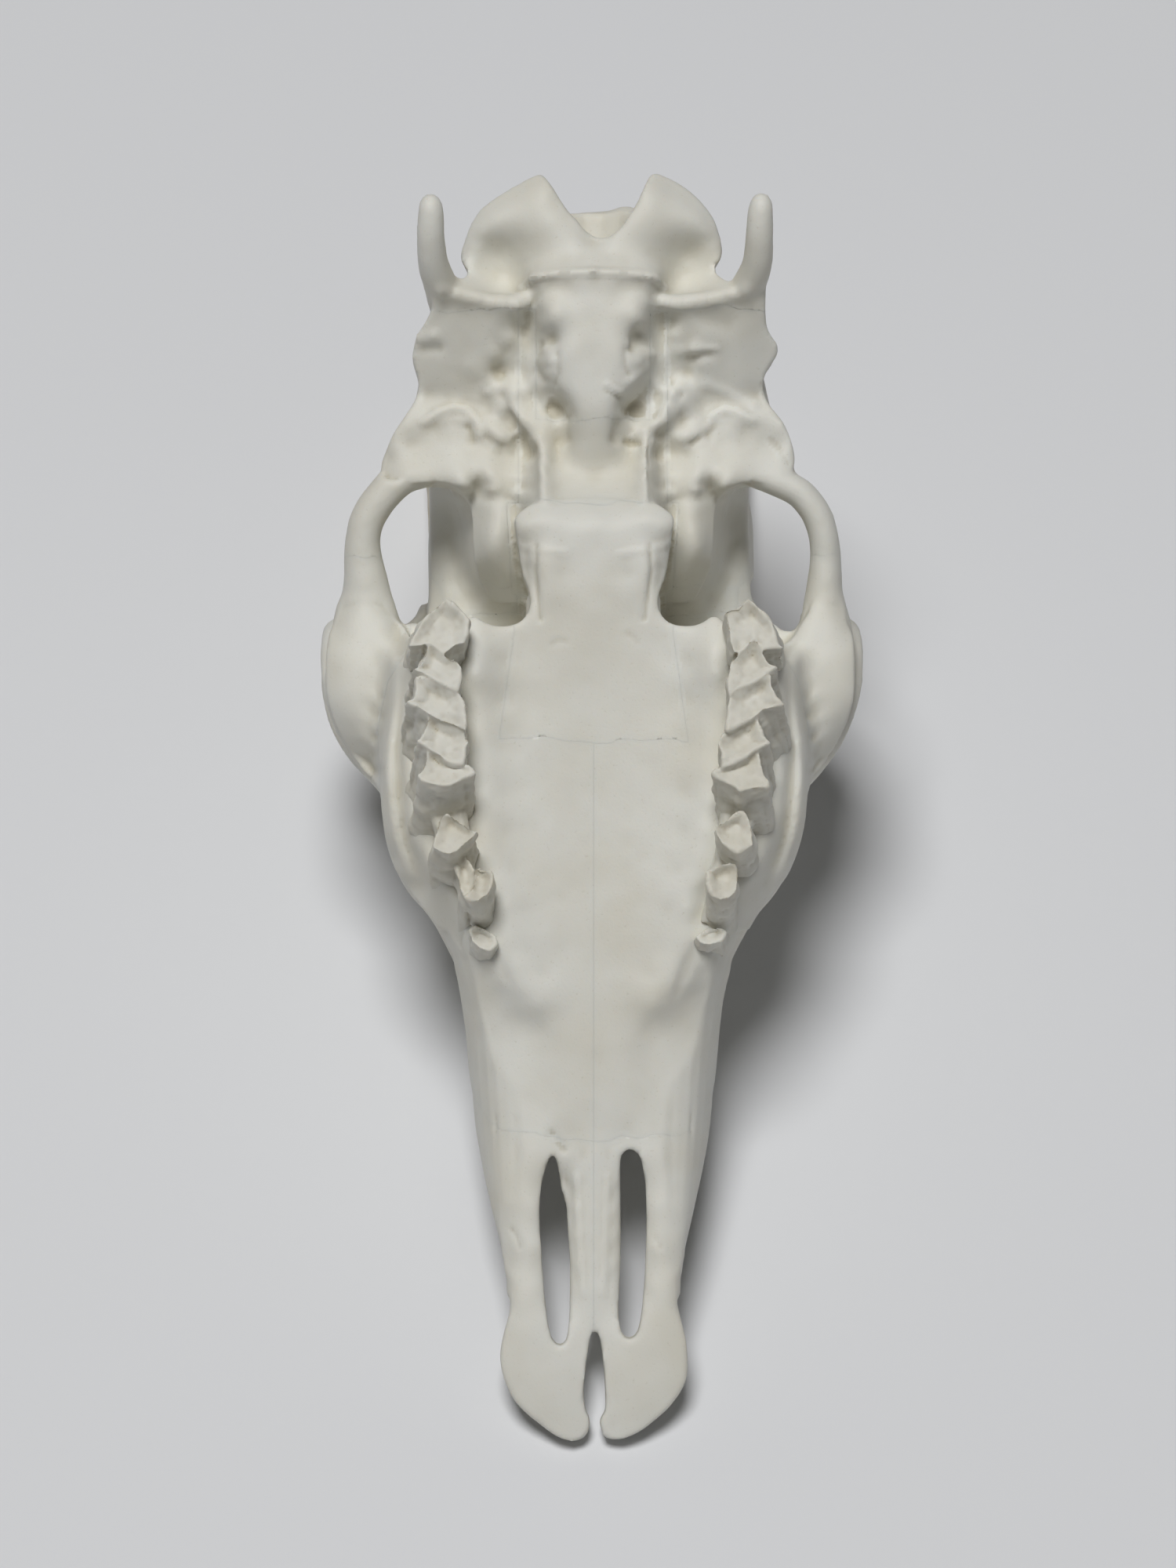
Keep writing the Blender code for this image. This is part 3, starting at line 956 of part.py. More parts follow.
# Each cheek tooth lobe from the last molar forward: the corners of its worn top, as x and y, the height of the
# top, and how far the foot of the lobe stands from under it.
TOOTH_LOBES = {
    -1: (
        (
            (
                (-38.8, 178.8), (-36.7, 181.8), (-34.7, 183.6), (-32.6, 185.5), (-30.9, 184),
                (-28.8, 182.4), (-27.5, 180.7), (-27.8, 178), (-28.5, 175.6), (-30.5, 175), (-33, 173),
                (-34.7, 174.4), (-36.2, 175.7), (-37.9, 174.9), (-40.7, 174.9),
            ),
            11,
            (-0.5, -4.7),
        ),
        (
            (
                (-36.5, 175.7), (-34.6, 174.3), (-32.9, 172.8), (-30, 171.6), (-29.1, 170),
                (-29.1, 167.3), (-29.8, 164.9), (-31.9, 165.7), (-33.9, 166.8), (-36, 168),
                (-38.1, 169.2), (-40, 170), (-38.1, 170.9), (-37.2, 173.1),
            ),
            12.6,
            (-1.2, -6.6),
        ),
        (
            (
                (-39.1, 168.5), (-36, 167.3), (-33.9, 166.2), (-31.9, 165.2), (-29.4, 164.3),
                (-28.6, 163), (-28.2, 160), (-28.1, 156.3), (-30.1, 157.1), (-32.2, 157.8),
                (-34.6, 158.8), (-36.5, 160), (-38.4, 161.4), (-41.3, 162.8), (-39.6, 163.7),
                (-39.1, 165.5),
            ),
            13.6,
            (-1, -8.4),
        ),
        (
            (
                (-36.6, 159.7), (-34.6, 158.3), (-32.2, 157.3), (-30.1, 156.6), (-28.4, 155.8),
                (-27.4, 154), (-28.2, 152.8), (-28.4, 150.8), (-28.8, 148.9), (-30.8, 149.1),
                (-32.5, 149.7), (-34.2, 151.1), (-36, 152.1), (-37.3, 153.2), (-39, 154), (-37.7, 154.9),
                (-37, 157.3),
            ),
            14,
            (-1.9, -10.1),
        ),
        (
            (
                (-36.6, 152.3), (-34.6, 151.5), (-33.4, 150.3), (-31.8, 149.2), (-29.8, 148.9),
                (-27.9, 148.7), (-26.5, 147.9), (-26, 147), (-27, 146.5), (-28.7, 146.1), (-29.9, 145.1),
                (-31.5, 144.3), (-33.9, 144.3), (-36.5, 144.8), (-38, 145.5), (-38.9, 146.7),
                (-38, 147.7), (-37, 149.7),
            ),
            14.4,
            (-1.2, -10.5),
        ),
        (
            (
                (-34.1, 137.2), (-33.4, 137.7), (-32.4, 138.4), (-30.5, 137), (-28.6, 135.7),
                (-27.1, 134.6), (-25.7, 134.3), (-26.5, 132.9), (-27.7, 131.9), (-29.1, 131),
                (-30.2, 129.8), (-31.9, 129.1), (-33.6, 129.5), (-35.6, 130.7), (-34.8, 134),
            ),
            13,
            (-0.5, -6.6),
        ),
        (
            (
                (-26.6, 126), (-25.7, 126.4), (-24.4, 125.7), (-22.6, 125.5), (-22.3, 124),
                (-22.6, 122.1), (-23.5, 120.2), (-25.4, 118.8), (-27.1, 119), (-28.3, 119.8),
                (-27.1, 121), (-26.4, 122.6), (-26.3, 124.5),
            ),
            10.6,
            (0.5, -5.4),
        ),
        (
            (
                (-30.6, 127.2), (-29.2, 128.6), (-27.5, 128.1), (-26.6, 126), (-26.3, 123.9),
                (-26.8, 121.5), (-28.5, 119.8), (-29.7, 121.8),
            ),
            8.6,
            (0.2, -5.9),
        ),
        (
            (
                (-27.7, 112.2), (-26.3, 113), (-23.9, 112), (-21.8, 110.9), (-21.3, 109.2),
                (-23.2, 107.6), (-25.2, 108.2), (-27, 109.9),
            ),
            0.6,
            (0, -1.4),
        ),
    ),
    1: (
        (
            (
                (28.5, 182.6), (30.4, 183.3), (31.9, 183.3), (32.9, 184.7), (34, 185.4), (35.2, 184.5),
                (36.4, 183), (37.7, 181.6), (39, 180.2), (39.8, 177.6), (40.3, 175.2), (41.7, 174.5),
                (39.1, 174.4), (36.9, 174), (35.3, 176.4), (34, 175.6), (32.8, 174.2), (30.5, 173.2),
                (29.7, 176.9),
            ),
            11,
            (0.3, -4.4),
        ),
        (
            (
                (29.8, 171.6), (31.5, 173.1), (33.1, 174.3), (34.3, 175.9), (35.3, 176.6), (36.3, 175),
                (37.2, 173.1), (38, 171.2), (39.9, 170.4), (37.4, 168.5), (34.8, 166.9), (32.2, 165.9),
                (30.5, 164.9), (29.5, 163.8), (29.1, 167.8),
            ),
            12.6,
            (1.2, -7.3),
        ),
        (
            (
                (29.6, 163.5), (31.3, 164.9), (33.2, 165.9), (35.3, 166.9), (37.5, 168.1), (38.7, 168.6),
                (38.9, 166.2), (39.7, 163.8), (41.4, 162.1), (39, 161.4), (36.8, 160.9), (35.6, 159.7),
                (34.1, 158.8), (32.3, 158), (30.8, 157), (28.9, 156.3), (29.1, 159.7),
            ),
            13.6,
            (1.7, -8.2),
        ),
        (
            (
                (27.9, 155.4), (29.6, 156.4), (31.3, 157.1), (33, 158.2), (34.6, 158.7), (35.8, 159.4),
                (36.3, 157.3), (37, 155.2), (38.5, 153.7), (36.4, 152.8), (34.6, 151.8), (32.8, 150.4),
                (31.3, 149.6), (29.6, 148.7), (27.9, 148.2), (28, 151.5), (27, 153.5),
            ),
            14,
            (1.6, -10.1),
        ),
        (
            (
                (25.8, 147), (26.8, 147.9), (28.5, 148.2), (30.4, 148.7), (32.3, 149.7), (33.7, 151.1),
                (35.2, 151.8), (36.1, 151.3), (36.4, 149.2), (37.3, 147), (38.2, 145.8), (38, 144.1),
                (35.6, 143.7), (33.5, 143.4), (31.8, 142.9), (30.6, 144.1), (28.9, 144.9), (27.2, 145.8),
            ),
            14.4,
            (1.7, -9.6),
        ),
        (
            (
                (26.3, 135.7), (27.9, 136), (29.4, 137), (31, 138.1), (32.7, 138.6), (33.7, 137.6),
                (34.4, 135.8), (34.8, 133.8), (34.8, 131.2), (32.9, 130.2), (31.3, 129.5), (29.6, 130.3),
                (27.9, 131.7), (26.7, 133.6),
            ),
            13,
            (1.2, -5.2),
        ),
        (
            (
                (24.9, 125.7), (26.4, 126.2), (28, 126.9), (29.7, 127.4), (31.1, 127.2), (31.7, 125.5),
                (31.6, 123.4), (31.1, 120.9), (29.7, 119.5), (27.6, 119.1), (25.9, 120), (24.9, 122.2),
            ),
            10.6,
            (0, -5.9),
        ),
        (
            (
                (22.6, 110.8), (25.4, 112.3), (28.4, 112.8), (29.4, 111.6), (28.2, 109.9), (25.6, 109),
                (23.5, 109.4),
            ),
            0.6,
            (0, -1.4),
        ),
    ),
}

TOOTH_FOOT = -11
FOOT_SPREAD = 1.14
REAR_FALL = 2.2
CUP_SHARE = 0.74
CUP_DEPTH = 0.8


def teeth(side):
    """The cheek teeth as leaning lobes with cupped tops, fused low down to each other."""
    row = (
        (174, 33, 3, -9, 0),
        (168, 34.4, 4.4, -9, 3.5),
        (158, 34.6, 4.8, -9, 4.5),
        (146, 33.4, 4.8, -9, 4.5),
        (135, 31.6, 4, -9, 3),
        (124, 28.6, 3, -9, 1),
        (114, 25.6, 2, -9, -3),
    )
    made = [loft("crowns", row[::-1], side, power=4, around=12, steps=2)]
    for corners, height, shift in TOOTH_LOBES[side]:
        top = np.array(corners)
        half = np.ptp(top, axis=0) / 2
        middle = top.min(0) + half
        turns = np.arctan2(*((top - middle) / half).T[::-1])
        around = np.column_stack([np.cos(turns), np.sin(turns)])
        around = np.sign(around) * np.abs(around) ** 0.75
        reach = (height - TOOTH_FOOT) / (height + 4)
        foot = middle + half * FOOT_SPREAD * around + np.array(shift) * reach
        fall = REAR_FALL * (top[:, 1] - middle[1] + half[1]) / (2 * half[1])
        cup = middle + (top - middle) * CUP_SHARE
        rings = ((foot, np.full(len(top), TOOTH_FOOT)), (top, height - fall), (cup, height - fall - CUP_DEPTH))
        made.append(skin("tooth", [[(*p, z) for p, z in zip(ring, heights)] for ring, heights in rings]))
    return made
def whole_skull():
    """The skull in its own frame, as one closed mesh in millimetres."""
    skull, *masses = [*face_masses(), *braincase_masses(), *(m for side in SIDES for m in side_masses(side))]
    combine(skull, masses, "UNION")
    combine(skull, [*hollows(), *(h for side in SIDES for h in side_hollows(side))], "DIFFERENCE")
    combine(skull, [nuchal_crest(), foramen_rim(), *(f for side in SIDES for f in broad_forms(side))], "UNION")
    combine(skull, [f for side in SIDES for f in (horn_core(side), fossa_floor(side, FOSSA_BLOCK))], "UNION")
    blend(skull, MASS_ROUNDS)
    combine(skull, [skull_base(ABOVE), palate(ABOVE), *(cheek(side, ABOVE) for side in SIDES)], "DIFFERENCE")
    reliefs = [skull_base(BASE_BLOCK), palate(PALATE_BLOCK), *(cheek(side, CHEEK_BLOCK) for side in SIDES)]
    combine(skull, [*reliefs, *(f for side in SIDES for f in fine_forms(side))], "UNION")
    combine(skull, fine_cuts(), "DIFFERENCE")
    blend(skull, DETAIL_ROUNDS)
    slim = skull.modifiers.new("slim", "DECIMATE")
    slim.ratio = BONE_SHARE
    settle(skull)
    combine(skull, [tooth for side in SIDES for tooth in teeth(side)], "UNION")
    return skull


# The bones are parted by cells. A cell is an outline seen from the side, as y and z, or from above, as x and y,
# and the two limits of the other axis. The skull gives up one bone after another, each with a thin gap round it.


def cell(view, outline, limits, side=1, grow=0.0):
    middle = np.mean(outline, 0)
    low, high = limits[0] - grow, limits[1] + grow
    rings = []
    for level in (low, high):
        ringed = []
        for point in np.array(outline, float):
            a, b = point + np.sign(point - middle) * grow
            ringed.append((side * level, a, b) if view == "side" else (side * a, b, level))
        rings.append(ringed)
    return skin("cell", rings)


def largest_piece(made):
    """Keeps the largest closed surface of a mesh."""
    form = bmesh.new()
    form.from_mesh(made.data)
    left = set(form.verts)
    pieces = []
    while left:
        piece = set()
        edge = [left.pop()]
        while edge:
            vert = edge.pop()
            piece.add(vert)
            for link in vert.link_edges:
                other = link.other_vert(vert)
                if other in left:
                    left.remove(other)
                    edge.append(other)
        pieces.append(piece)

    def size(piece):
        faces = {face for vert in piece for face in vert.link_faces}
        return sum(f.verts[0].co.dot(f.normal) * f.calc_area() for f in faces)

    keep = max(pieces, key=size)
    bmesh.ops.delete(form, geom=[v for v in form.verts if v not in keep], context="VERTS")
    form.to_mesh(made.data)
    form.free()


def take(skull, name, cells):
    """Moves what lies in some cells out of the skull into an object of its own."""
    bone = bpy.data.objects.new(name, skull.data.copy())
    bpy.context.scene.collection.objects.link(bone)
    inner, *more = [cell(*one) for one in cells]
    if more:
        combine(inner, more, "UNION")
    combine(bone, [inner], "INTERSECT")
    combine(skull, [cell(*one, grow=SUTURE_GAP) for one in cells], "DIFFERENCE")
    largest_piece(bone)
    return bone


def bones(skull):
    """The skull parted into its bones."""
    half = SUTURE_GAP / 2
    wide = (-90, 90)
    right = (half, 90)
    made = []
    for side, word in ((-1, "left"), (1, "right")):
        snout = ((-6, 14), (65, 14), (66, -6), (74, -24), (83, -39), (85, -46), (76, -44), (58, -43), (-6, -43))
        made.append(take(skull, "premaxilla_" + word, [("side", snout, right, side)]))
        roof = ((50, -41), (84, -47.5), (110, -56), (149, -68), (149, -115), (50, -115))
        made.append(take(skull, "nasal_" + word, [("side", roof, (half, 17), side)]))
        core = ((150, -97), (260, -97), (260, -210), (150, -210))
        made.append(take(skull, "horn_core_" + word, [("side", core, (2, 90), side)]))
        malar = (
            (47.4, 136),
            (48.4, 158),
            (46, 168),
            (41.4, 175),
            (41.4, 186),
            (45, 196),
            (85, 196),
            (85, 136),
        )
        made.append(take(skull, "zygomatic_" + word, [("top", malar, (-54, -13), side)]))
    brow = ((120, -63), (143, -57), (146, -54.3), (190, -54.3), (200, -62), (212, -67), (212, -120), (120, -120))
    made.append(take(skull, "frontal", [("side", brow, wide, 1)]))
    roof_end = ((-21, 154.6), (21, 154.6), (17.6, 178), (19.5, 207.6), (-19.5, 207.6), (-17.6, 178))
    made.append(take(skull, "palatine", [("top", roof_end, (-37, 14), 1)]))
    for side, word in ((-1, "left"), (1, "right")):
        jaw = ((40, 40), (187.4, 40), (187.4, -18), (184, -30), (184, -80), (40, -80))
        made.append(take(skull, "maxilla_" + word, [("side", jaw, right, side)]))
    nape = ((250.8, 20), (250.8, -42), (255, -58), (258, -90), (300, -90), (300, 20))
    base = ((226, 20), (252, 20), (252, -25), (226, -25))
    made.append(take(skull, "occipital", [("side", nape, wide, 1), ("side", base, (-12.8, 12.8), 1)]))
    for side, word in ((-1, "left"), (1, "right")):
        ear = ((190, 20), (252, 20), (252, -47), (190, -47))
        made.append(take(skull, "temporal_" + word, [("side", ear, (16.8, 90), side)]))
    middle = ((180, 20), (252, 20), (252, -47), (180, -47))
    made.append(take(skull, "sphenoid", [("side", middle, (-17.2, 17.2), 1)]))
    largest_piece(skull)
    skull.name = "parietal"
    return [*made, skull]


def paint(made, colour):
    stuff = bpy.data.materials.new(made.name)
    stuff.use_nodes = True
    shader = stuff.node_tree.nodes["Principled BSDF"]
    shader.inputs["Base Color"].default_value = (*colour, 1)
    shader.inputs["Roughness"].default_value = 0.55
    made.data.materials.clear()
    made.data.materials.append(stuff)


def rest(made):
    """Turns the bones onto the horn cores and the nasal tips, in metres, with a small flat at each contact."""
    turn = Matrix.Rotation(math.radians(REST_TILT), 4, "X")
    place = Matrix.Scale(METRES, 4) @ Matrix.Translation(REST_SHIFT) @ turn
    floor = skin("floor", [[(-90, y, 0), (90, y, 0), (90, y, -40), (-90, y, -40)] for y in (-300, 300)])
    floor.data.transform(Matrix.Scale(METRES, 4))
    for bone in made:
        bone.data.transform(place)
        if min(v.co.z for v in bone.data.vertices) < 0:
            under = bpy.data.objects.new("under", floor.data.copy())
            bpy.context.scene.collection.objects.link(under)
            combine(bone, [under], "DIFFERENCE")
            largest_piece(bone)
    bpy.data.objects.remove(floor)


def clear_scene():
    for made in list(bpy.data.objects):
        bpy.data.objects.remove(made)


def main():
    clear_scene()
    made = bones(whole_skull())
    rest(made)
    for bone in made:
        paint(bone, BONE_COLOUR)


if __name__ == "__main__":
    main()
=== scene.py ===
"""Looks of a life-size mountain goat skull, without its lower jaw, that lies palate up.

The skull is modelled in millimetres in its own frame: X across, Y from the nose to the back of the head,
Z from the forehead side to the palate side, with the palate near Z = 0. Its forms are blended on a fine grid,
carved with the small marks that bone has, parted along the sutures and turned to the resting pose of the frame.
"""

import math

import bmesh
import bpy
import numpy as np
from mathutils import Matrix, Vector


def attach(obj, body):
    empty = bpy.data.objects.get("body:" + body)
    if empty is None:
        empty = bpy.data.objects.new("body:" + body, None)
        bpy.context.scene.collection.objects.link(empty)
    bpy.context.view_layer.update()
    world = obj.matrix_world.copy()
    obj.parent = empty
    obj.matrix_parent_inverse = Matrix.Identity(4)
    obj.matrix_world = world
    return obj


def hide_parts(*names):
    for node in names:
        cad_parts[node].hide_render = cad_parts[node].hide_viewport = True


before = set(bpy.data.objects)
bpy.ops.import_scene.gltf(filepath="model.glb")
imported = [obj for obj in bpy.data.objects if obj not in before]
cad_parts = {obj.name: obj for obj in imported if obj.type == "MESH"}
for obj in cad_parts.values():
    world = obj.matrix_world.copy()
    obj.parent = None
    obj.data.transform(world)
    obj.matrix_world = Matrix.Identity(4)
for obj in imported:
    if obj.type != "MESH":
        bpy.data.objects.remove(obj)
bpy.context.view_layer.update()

# Driving dimensions, in millimetres and degrees.
ORBIT_Y = 162.0
ORBIT_Z = -53.0
ORBIT_RADIUS = 18.0
REST_TILT = 36.35
REST_SHIFT = (0.0, -153.2, 8.1)
METRES = 0.001

# The way from the skull's own frame to the frame of the row, in metres, and the turn in it for directions.
TURN = Matrix.Rotation(math.radians(REST_TILT), 4, "X")
TO_ROW = Matrix.Scale(METRES, 4) @ Matrix.Translation(REST_SHIFT) @ TURN
TILT = TURN.to_3x3()

# The camera, in the skull's own frame: how far it is from the point it aims at, and its turn to one side. The
# photo is 2000 pixels high, with 5.76 of them to the millimetre.
CAMERA_DISTANCE = 1200.0
CAMERA_AIM = (-1.3, 144.6, 0.0)
CAMERA_SWING = 0.55
FRAME_HEIGHT = 2000 / 5.76
SENSOR = 36

# Lamps: name, direction in the skull's own frame, size in metres, power in watts. They shine on one point.
LAMPS = (("key", (-0.12, 0.6, 1), 1.1, 66), ("fill", (0.6, -0.2, 1), 2.4, 2))
LAMP_DISTANCE = 3.0
LAMP_AIM = (0, 150, -40)
WORLD_STRENGTH = 0.06
FLOOR_REACH = 3

# The bone and the teeth are each fused on a voxel grid of this size, and rubbed down in rounds of smoothing.
VOXEL = 0.7
MASS_ROUNDS = 12
DETAIL_ROUNDS = 2
TOOTH_VOXEL = 0.3
TOOTH_ROUNDS = 6

# Layers of noise, each with its height, the size of its lumps and its seed: the unevenness of the bone, the wear
# of the teeth and the wandering of the sutures.
NOISE_CELLS = 32
UNEVENNESS = ((0.12, 9, 1), (0.05, 3, 2))
WEAR = ((0.6, 3.2, 5), (0.1, 1.2, 9))
WAVES = ((0.9, 7, 20), (0.45, 2.4, 30))

# The gap left at a suture, the longest edge that its walls may have and the rounds of halving longer ones, and
# the angle of an edge that looks sharp.
SUTURE_GAP = 0.012
LONGEST_EDGE = 1.6
HALVINGS = 5
SHARP_ANGLE = 55

# The sides of the skull: -1 is the left side of the photo.
SIDES = (-1, 1)

# A relief is fitted to its points with this slack, about a middle at this x. Points nearer to it than the third
# number lie on it and are not mirrored.
SLACK = 2.0
MIDDLE_X = 0.3
ON_MIDDLE = 0.5

# The outline of a relief is cut between these levels, and a cutter reaches this far out.
TRIM = ((-60, 0), (60, 0))
CUT_REACH = 30

# The cutter of what lies above a relief is a block up to this level, all along Y.
ABOVE = ((0, 60), (300, 60))
# How deep the block below each relief reaches, in pairs of y and z.
BASE_BLOCK = ((0, -46), (300, -46))
FOSSA_BLOCK = ((0, -80), (300, -80))
CHEEK_BLOCK = ((0, -32), (300, -32))
PALATE_BLOCK = ((32, -8), (56, -9.5), (100, -12), (120, -30), (170, -40), (300, -40))


def smooth_rows(rows, steps):
    """Rows of numbers with Catmull-Rom rows between them."""
    known = np.array(rows, float)
    ends = [2 * known[0] - known[1], *known, 2 * known[-1] - known[-2]]
    made = []
    for a, b, c, d in zip(ends, ends[1:], ends[2:], ends[3:]):
        for step in range(steps):
            t = step / steps
            made.append(
                b + (c - a) * t / 2 + (a - 2.5 * b + 2 * c - d / 2) * t**2 + (3 * b - a - 3 * c + d) * t**3 / 2
            )
    return np.array([*made, known[-1]])


def add_object(name, data):
    """An object of the scene that holds some data."""
    made = bpy.data.objects.new(name, data)
    bpy.context.scene.collection.objects.link(made)
    return made


def solid(name, points, faces):
    """An object of one closed mesh, with its faces turned outwards."""
    mesh = bpy.data.meshes.new(name)
    mesh.from_pydata([tuple(p) for p in points], [], faces)
    form = bmesh.new()
    form.from_mesh(mesh)
    bmesh.ops.triangulate(form, faces=form.faces)
    if form.calc_volume(signed=True) < 0:
        bmesh.ops.reverse_faces(form, faces=form.faces)
    form.to_mesh(mesh)
    form.free()
    return add_object(name, mesh)


def skin(name, rings):
    """A closed form through rings of points, with a point at the middle of each end."""
    rings = np.array(rings, float)
    count, around = rings.shape[:2]
    points = [*rings.reshape(-1, 3), rings[0].mean(0), rings[-1].mean(0)]
    faces = []
    for i in range(count - 1):
        for j in range(around):
            k = (j + 1) % around
            faces.append((i * around + j, i * around + k, (i + 1) * around + k, (i + 1) * around + j))
    for j in range(around):
        k = (j + 1) % around
        faces.append((count * around, k, j))
        faces.append((count * around + 1, (count - 1) * around + j, (count - 1) * around + k))
    return solid(name, points, faces)


def loft(name, rows, side=1, power=2.5, around=40, steps=4):
    """A form along Y. Each row is y, middle x, half width, lowest z, highest z; power squares the section up."""
    turns = np.linspace(0, 2 * math.pi, around, endpoint=False)
    across = np.sign(np.cos(turns)) * np.abs(np.cos(turns)) ** (2 / power)
    along = np.sign(np.sin(turns)) * np.abs(np.sin(turns)) ** (2 / power)
    rings = []
    for y, x, half, low, high in smooth_rows(rows, steps):
        middle = (low + high) / 2
        rise = (high - low) / 2
        rings.append([(side * (x + half * u), y, middle + rise * v) for u, v in zip(across, along)])
    return skin(name, rings)


def sweep(name, rows, side=1, around=14, steps=5, up=(0, 0, 1)):
    """A bar along a curve. Each row is x, y, z, radius sideways, radius upwards."""
    rows = smooth_rows(rows, steps)
    rows[:, 0] *= side
    heads = np.gradient(rows[:, :3], axis=0)
    turns = np.linspace(0, 2 * math.pi, around, endpoint=False)
    rings = []
    for (x, y, z, wide, tall), head in zip(rows, heads):
        head = Vector(head).normalized()
        across = head.cross(Vector(up)).normalized()
        above = across.cross(head)
        middle = Vector((x, y, z))
        rings.append([middle + across * wide * math.cos(t) + above * tall * math.sin(t) for t in turns])
    return skin(name, rings)


def ball(name, middle, radii, side=1, turn=(0, 0, 0), around=24):
    """An ellipsoid, turned by degrees about X, Y and Z; a side of -1 mirrors it."""
    form = bmesh.new()
    bmesh.ops.create_uvsphere(form, u_segments=around, v_segments=around // 2, radius=1)
    about = [Matrix.Rotation(math.radians(t), 4, axis) for t, axis in zip(turn, "XYZ")]
    place = Matrix.Translation(middle) @ about[2] @ about[1] @ about[0] @ Matrix.Diagonal((*radii, 1))
    bmesh.ops.transform(form, matrix=Matrix.Diagonal((side, 1, 1, 1)) @ place, verts=form.verts)
    points = [v.co.copy() for v in form.verts]
    faces = [[v.index for v in f.verts] for f in form.faces]
    form.free()
    return solid(name, points, faces)


def plate(name, outline, levels, side=1, steps=4):
    """A plate of a smooth closed outline. Each level is a height and the inset of the outline there."""
    looped = smooth_rows([*outline[-1:], *outline, *outline[:2]], steps)[steps : -2 * steps]
    looped = looped[: len(outline) * steps]
    heads = np.roll(looped, -1, 0) - np.roll(looped, 1, 0)
    heads /= np.linalg.norm(heads, axis=1)[:, None]
    turned = np.stack([heads[:, 1], -heads[:, 0]], 1)
    area = np.sum(looped[:, 0] * np.roll(looped[:, 1], -1) - np.roll(looped[:, 0], -1) * looped[:, 1])
    outward = turned * np.sign(area)
    rings = []
    for z, inset in levels:
        rings.append([(side * x, y, z) for x, y in looped - outward * inset])
    return skin(name, rings)


def ring(name, middle, radii, thick, deep, face, bulge, side=1, around=12, steps=48):
    """A closed loop of bar round a hole that faces along a direction; it bulges that way above and below."""
    face = Vector(face).normalized()
    across = Vector((0, 0, 1)).cross(face).normalized()
    above = face.cross(across)
    points = []
    faces = []
    for i in range(steps):
        t = 2 * math.pi * i / steps
        out = across * radii[0] * math.cos(t) + above * radii[1] * math.sin(t)
        rise = math.sin(t) ** 2 * (bulge[0] if math.sin(t) > 0 else bulge[1])
        for j in range(around):
            u = 2 * math.pi * j / around
            reach = out.normalized() * thick * math.cos(u) + face * (rise + deep * math.sin(u))
            point = Vector(middle) + out + reach
            points.append((point.x * side, point.y, point.z))
            k, n = (i + 1) % steps, (j + 1) % around
            faces.append((i * around + j, i * around + n, k * around + n, k * around + j))
    return solid(name, points, faces)


def terrain(name, points, limits, depths, step=1.0):
    """A block whose upper face passes smoothly through points: distance from the middle, y and z, on both sides.

    Its lower face lies at a depth that changes with y, given in pairs of y and z.
    """
    known = np.array(points, float)
    known = np.vstack([known, known[known[:, 0] > ON_MIDDLE] * (-1, 1, 1)]) + (MIDDLE_X, 0, 0)
    count = len(known)

    def bend(here):
        squares = ((here[:, None] - known[None, :, :2]) ** 2).sum(2)
        bent = squares * np.log(squares + 1e-9)
        return np.hstack([bent, np.ones((len(here), 1)), here])

    system = np.zeros((count + 3, count + 3))
    system[:count] = bend(known[:, :2])
    system[count:, :count] = system[:count, count:].T
    system[range(count), range(count)] += SLACK
    weights = np.linalg.solve(system, np.append(known[:, 2], (0, 0, 0)))
    across = np.arange(limits[0], limits[1] + step, step)
    rings = []
    for y in np.arange(limits[2], limits[3] + step, step):
        heights = bend(np.column_stack([across, np.full(len(across), y)])) @ weights
        top = [(x, y, z) for x, z in zip(across, heights)]
        depth = np.interp(y, *zip(*depths))
        rings.append([*top, (across[-1], y, depth), (across[0], y, depth)])
    return skin(name, rings)


def settle(made):
    """Applies an object's modifiers to its mesh."""
    graph = bpy.context.evaluated_depsgraph_get()
    mesh = bpy.data.meshes.new_from_object(made.evaluated_get(graph))
    made.modifiers.clear()
    made.data = mesh


def combine(made, others, operation):
    """One Boolean of an object with a collection of closed meshes, which are then removed."""
    group = bpy.data.collections.new("operands")
    for other in others:
        bpy.context.scene.collection.objects.unlink(other)
        group.objects.link(other)
    bpy.context.scene.collection.children.link(group)
    step = made.modifiers.new(operation.lower(), "BOOLEAN")
    step.operation = operation
    step.operand_type = "COLLECTION"
    step.collection = group
    step.solver = "MANIFOLD"
    settle(made)
    for other in others:
        bpy.data.objects.remove(other)
    bpy.data.collections.remove(group)


def blend(made, rounds, size=VOXEL):
    """Fuses what an object holds into one skin on a voxel grid, and rounds its corners."""
    grid = made.modifiers.new("grid", "REMESH")
    grid.mode = "VOXEL"
    grid.voxel_size = size
    rub = made.modifiers.new("rub", "SMOOTH")
    rub.iterations = rounds
    settle(made)


def vectors(mesh, key):
    """The places or the normals of the vertices of a mesh, a row for each."""
    values = np.empty(len(mesh.vertices) * 3, np.float32)
    mesh.vertices.foreach_get(key, values)
    return values.reshape(-1, 3)


def reshape(mesh, points):
    """Moves the vertices of a mesh to new places."""
    mesh.vertices.foreach_set("co", points.astype(np.float32).ravel())
    mesh.update()


def column(x, pairs):
    """Points that share their x."""
    return [(x, y, z) for y, z in pairs]


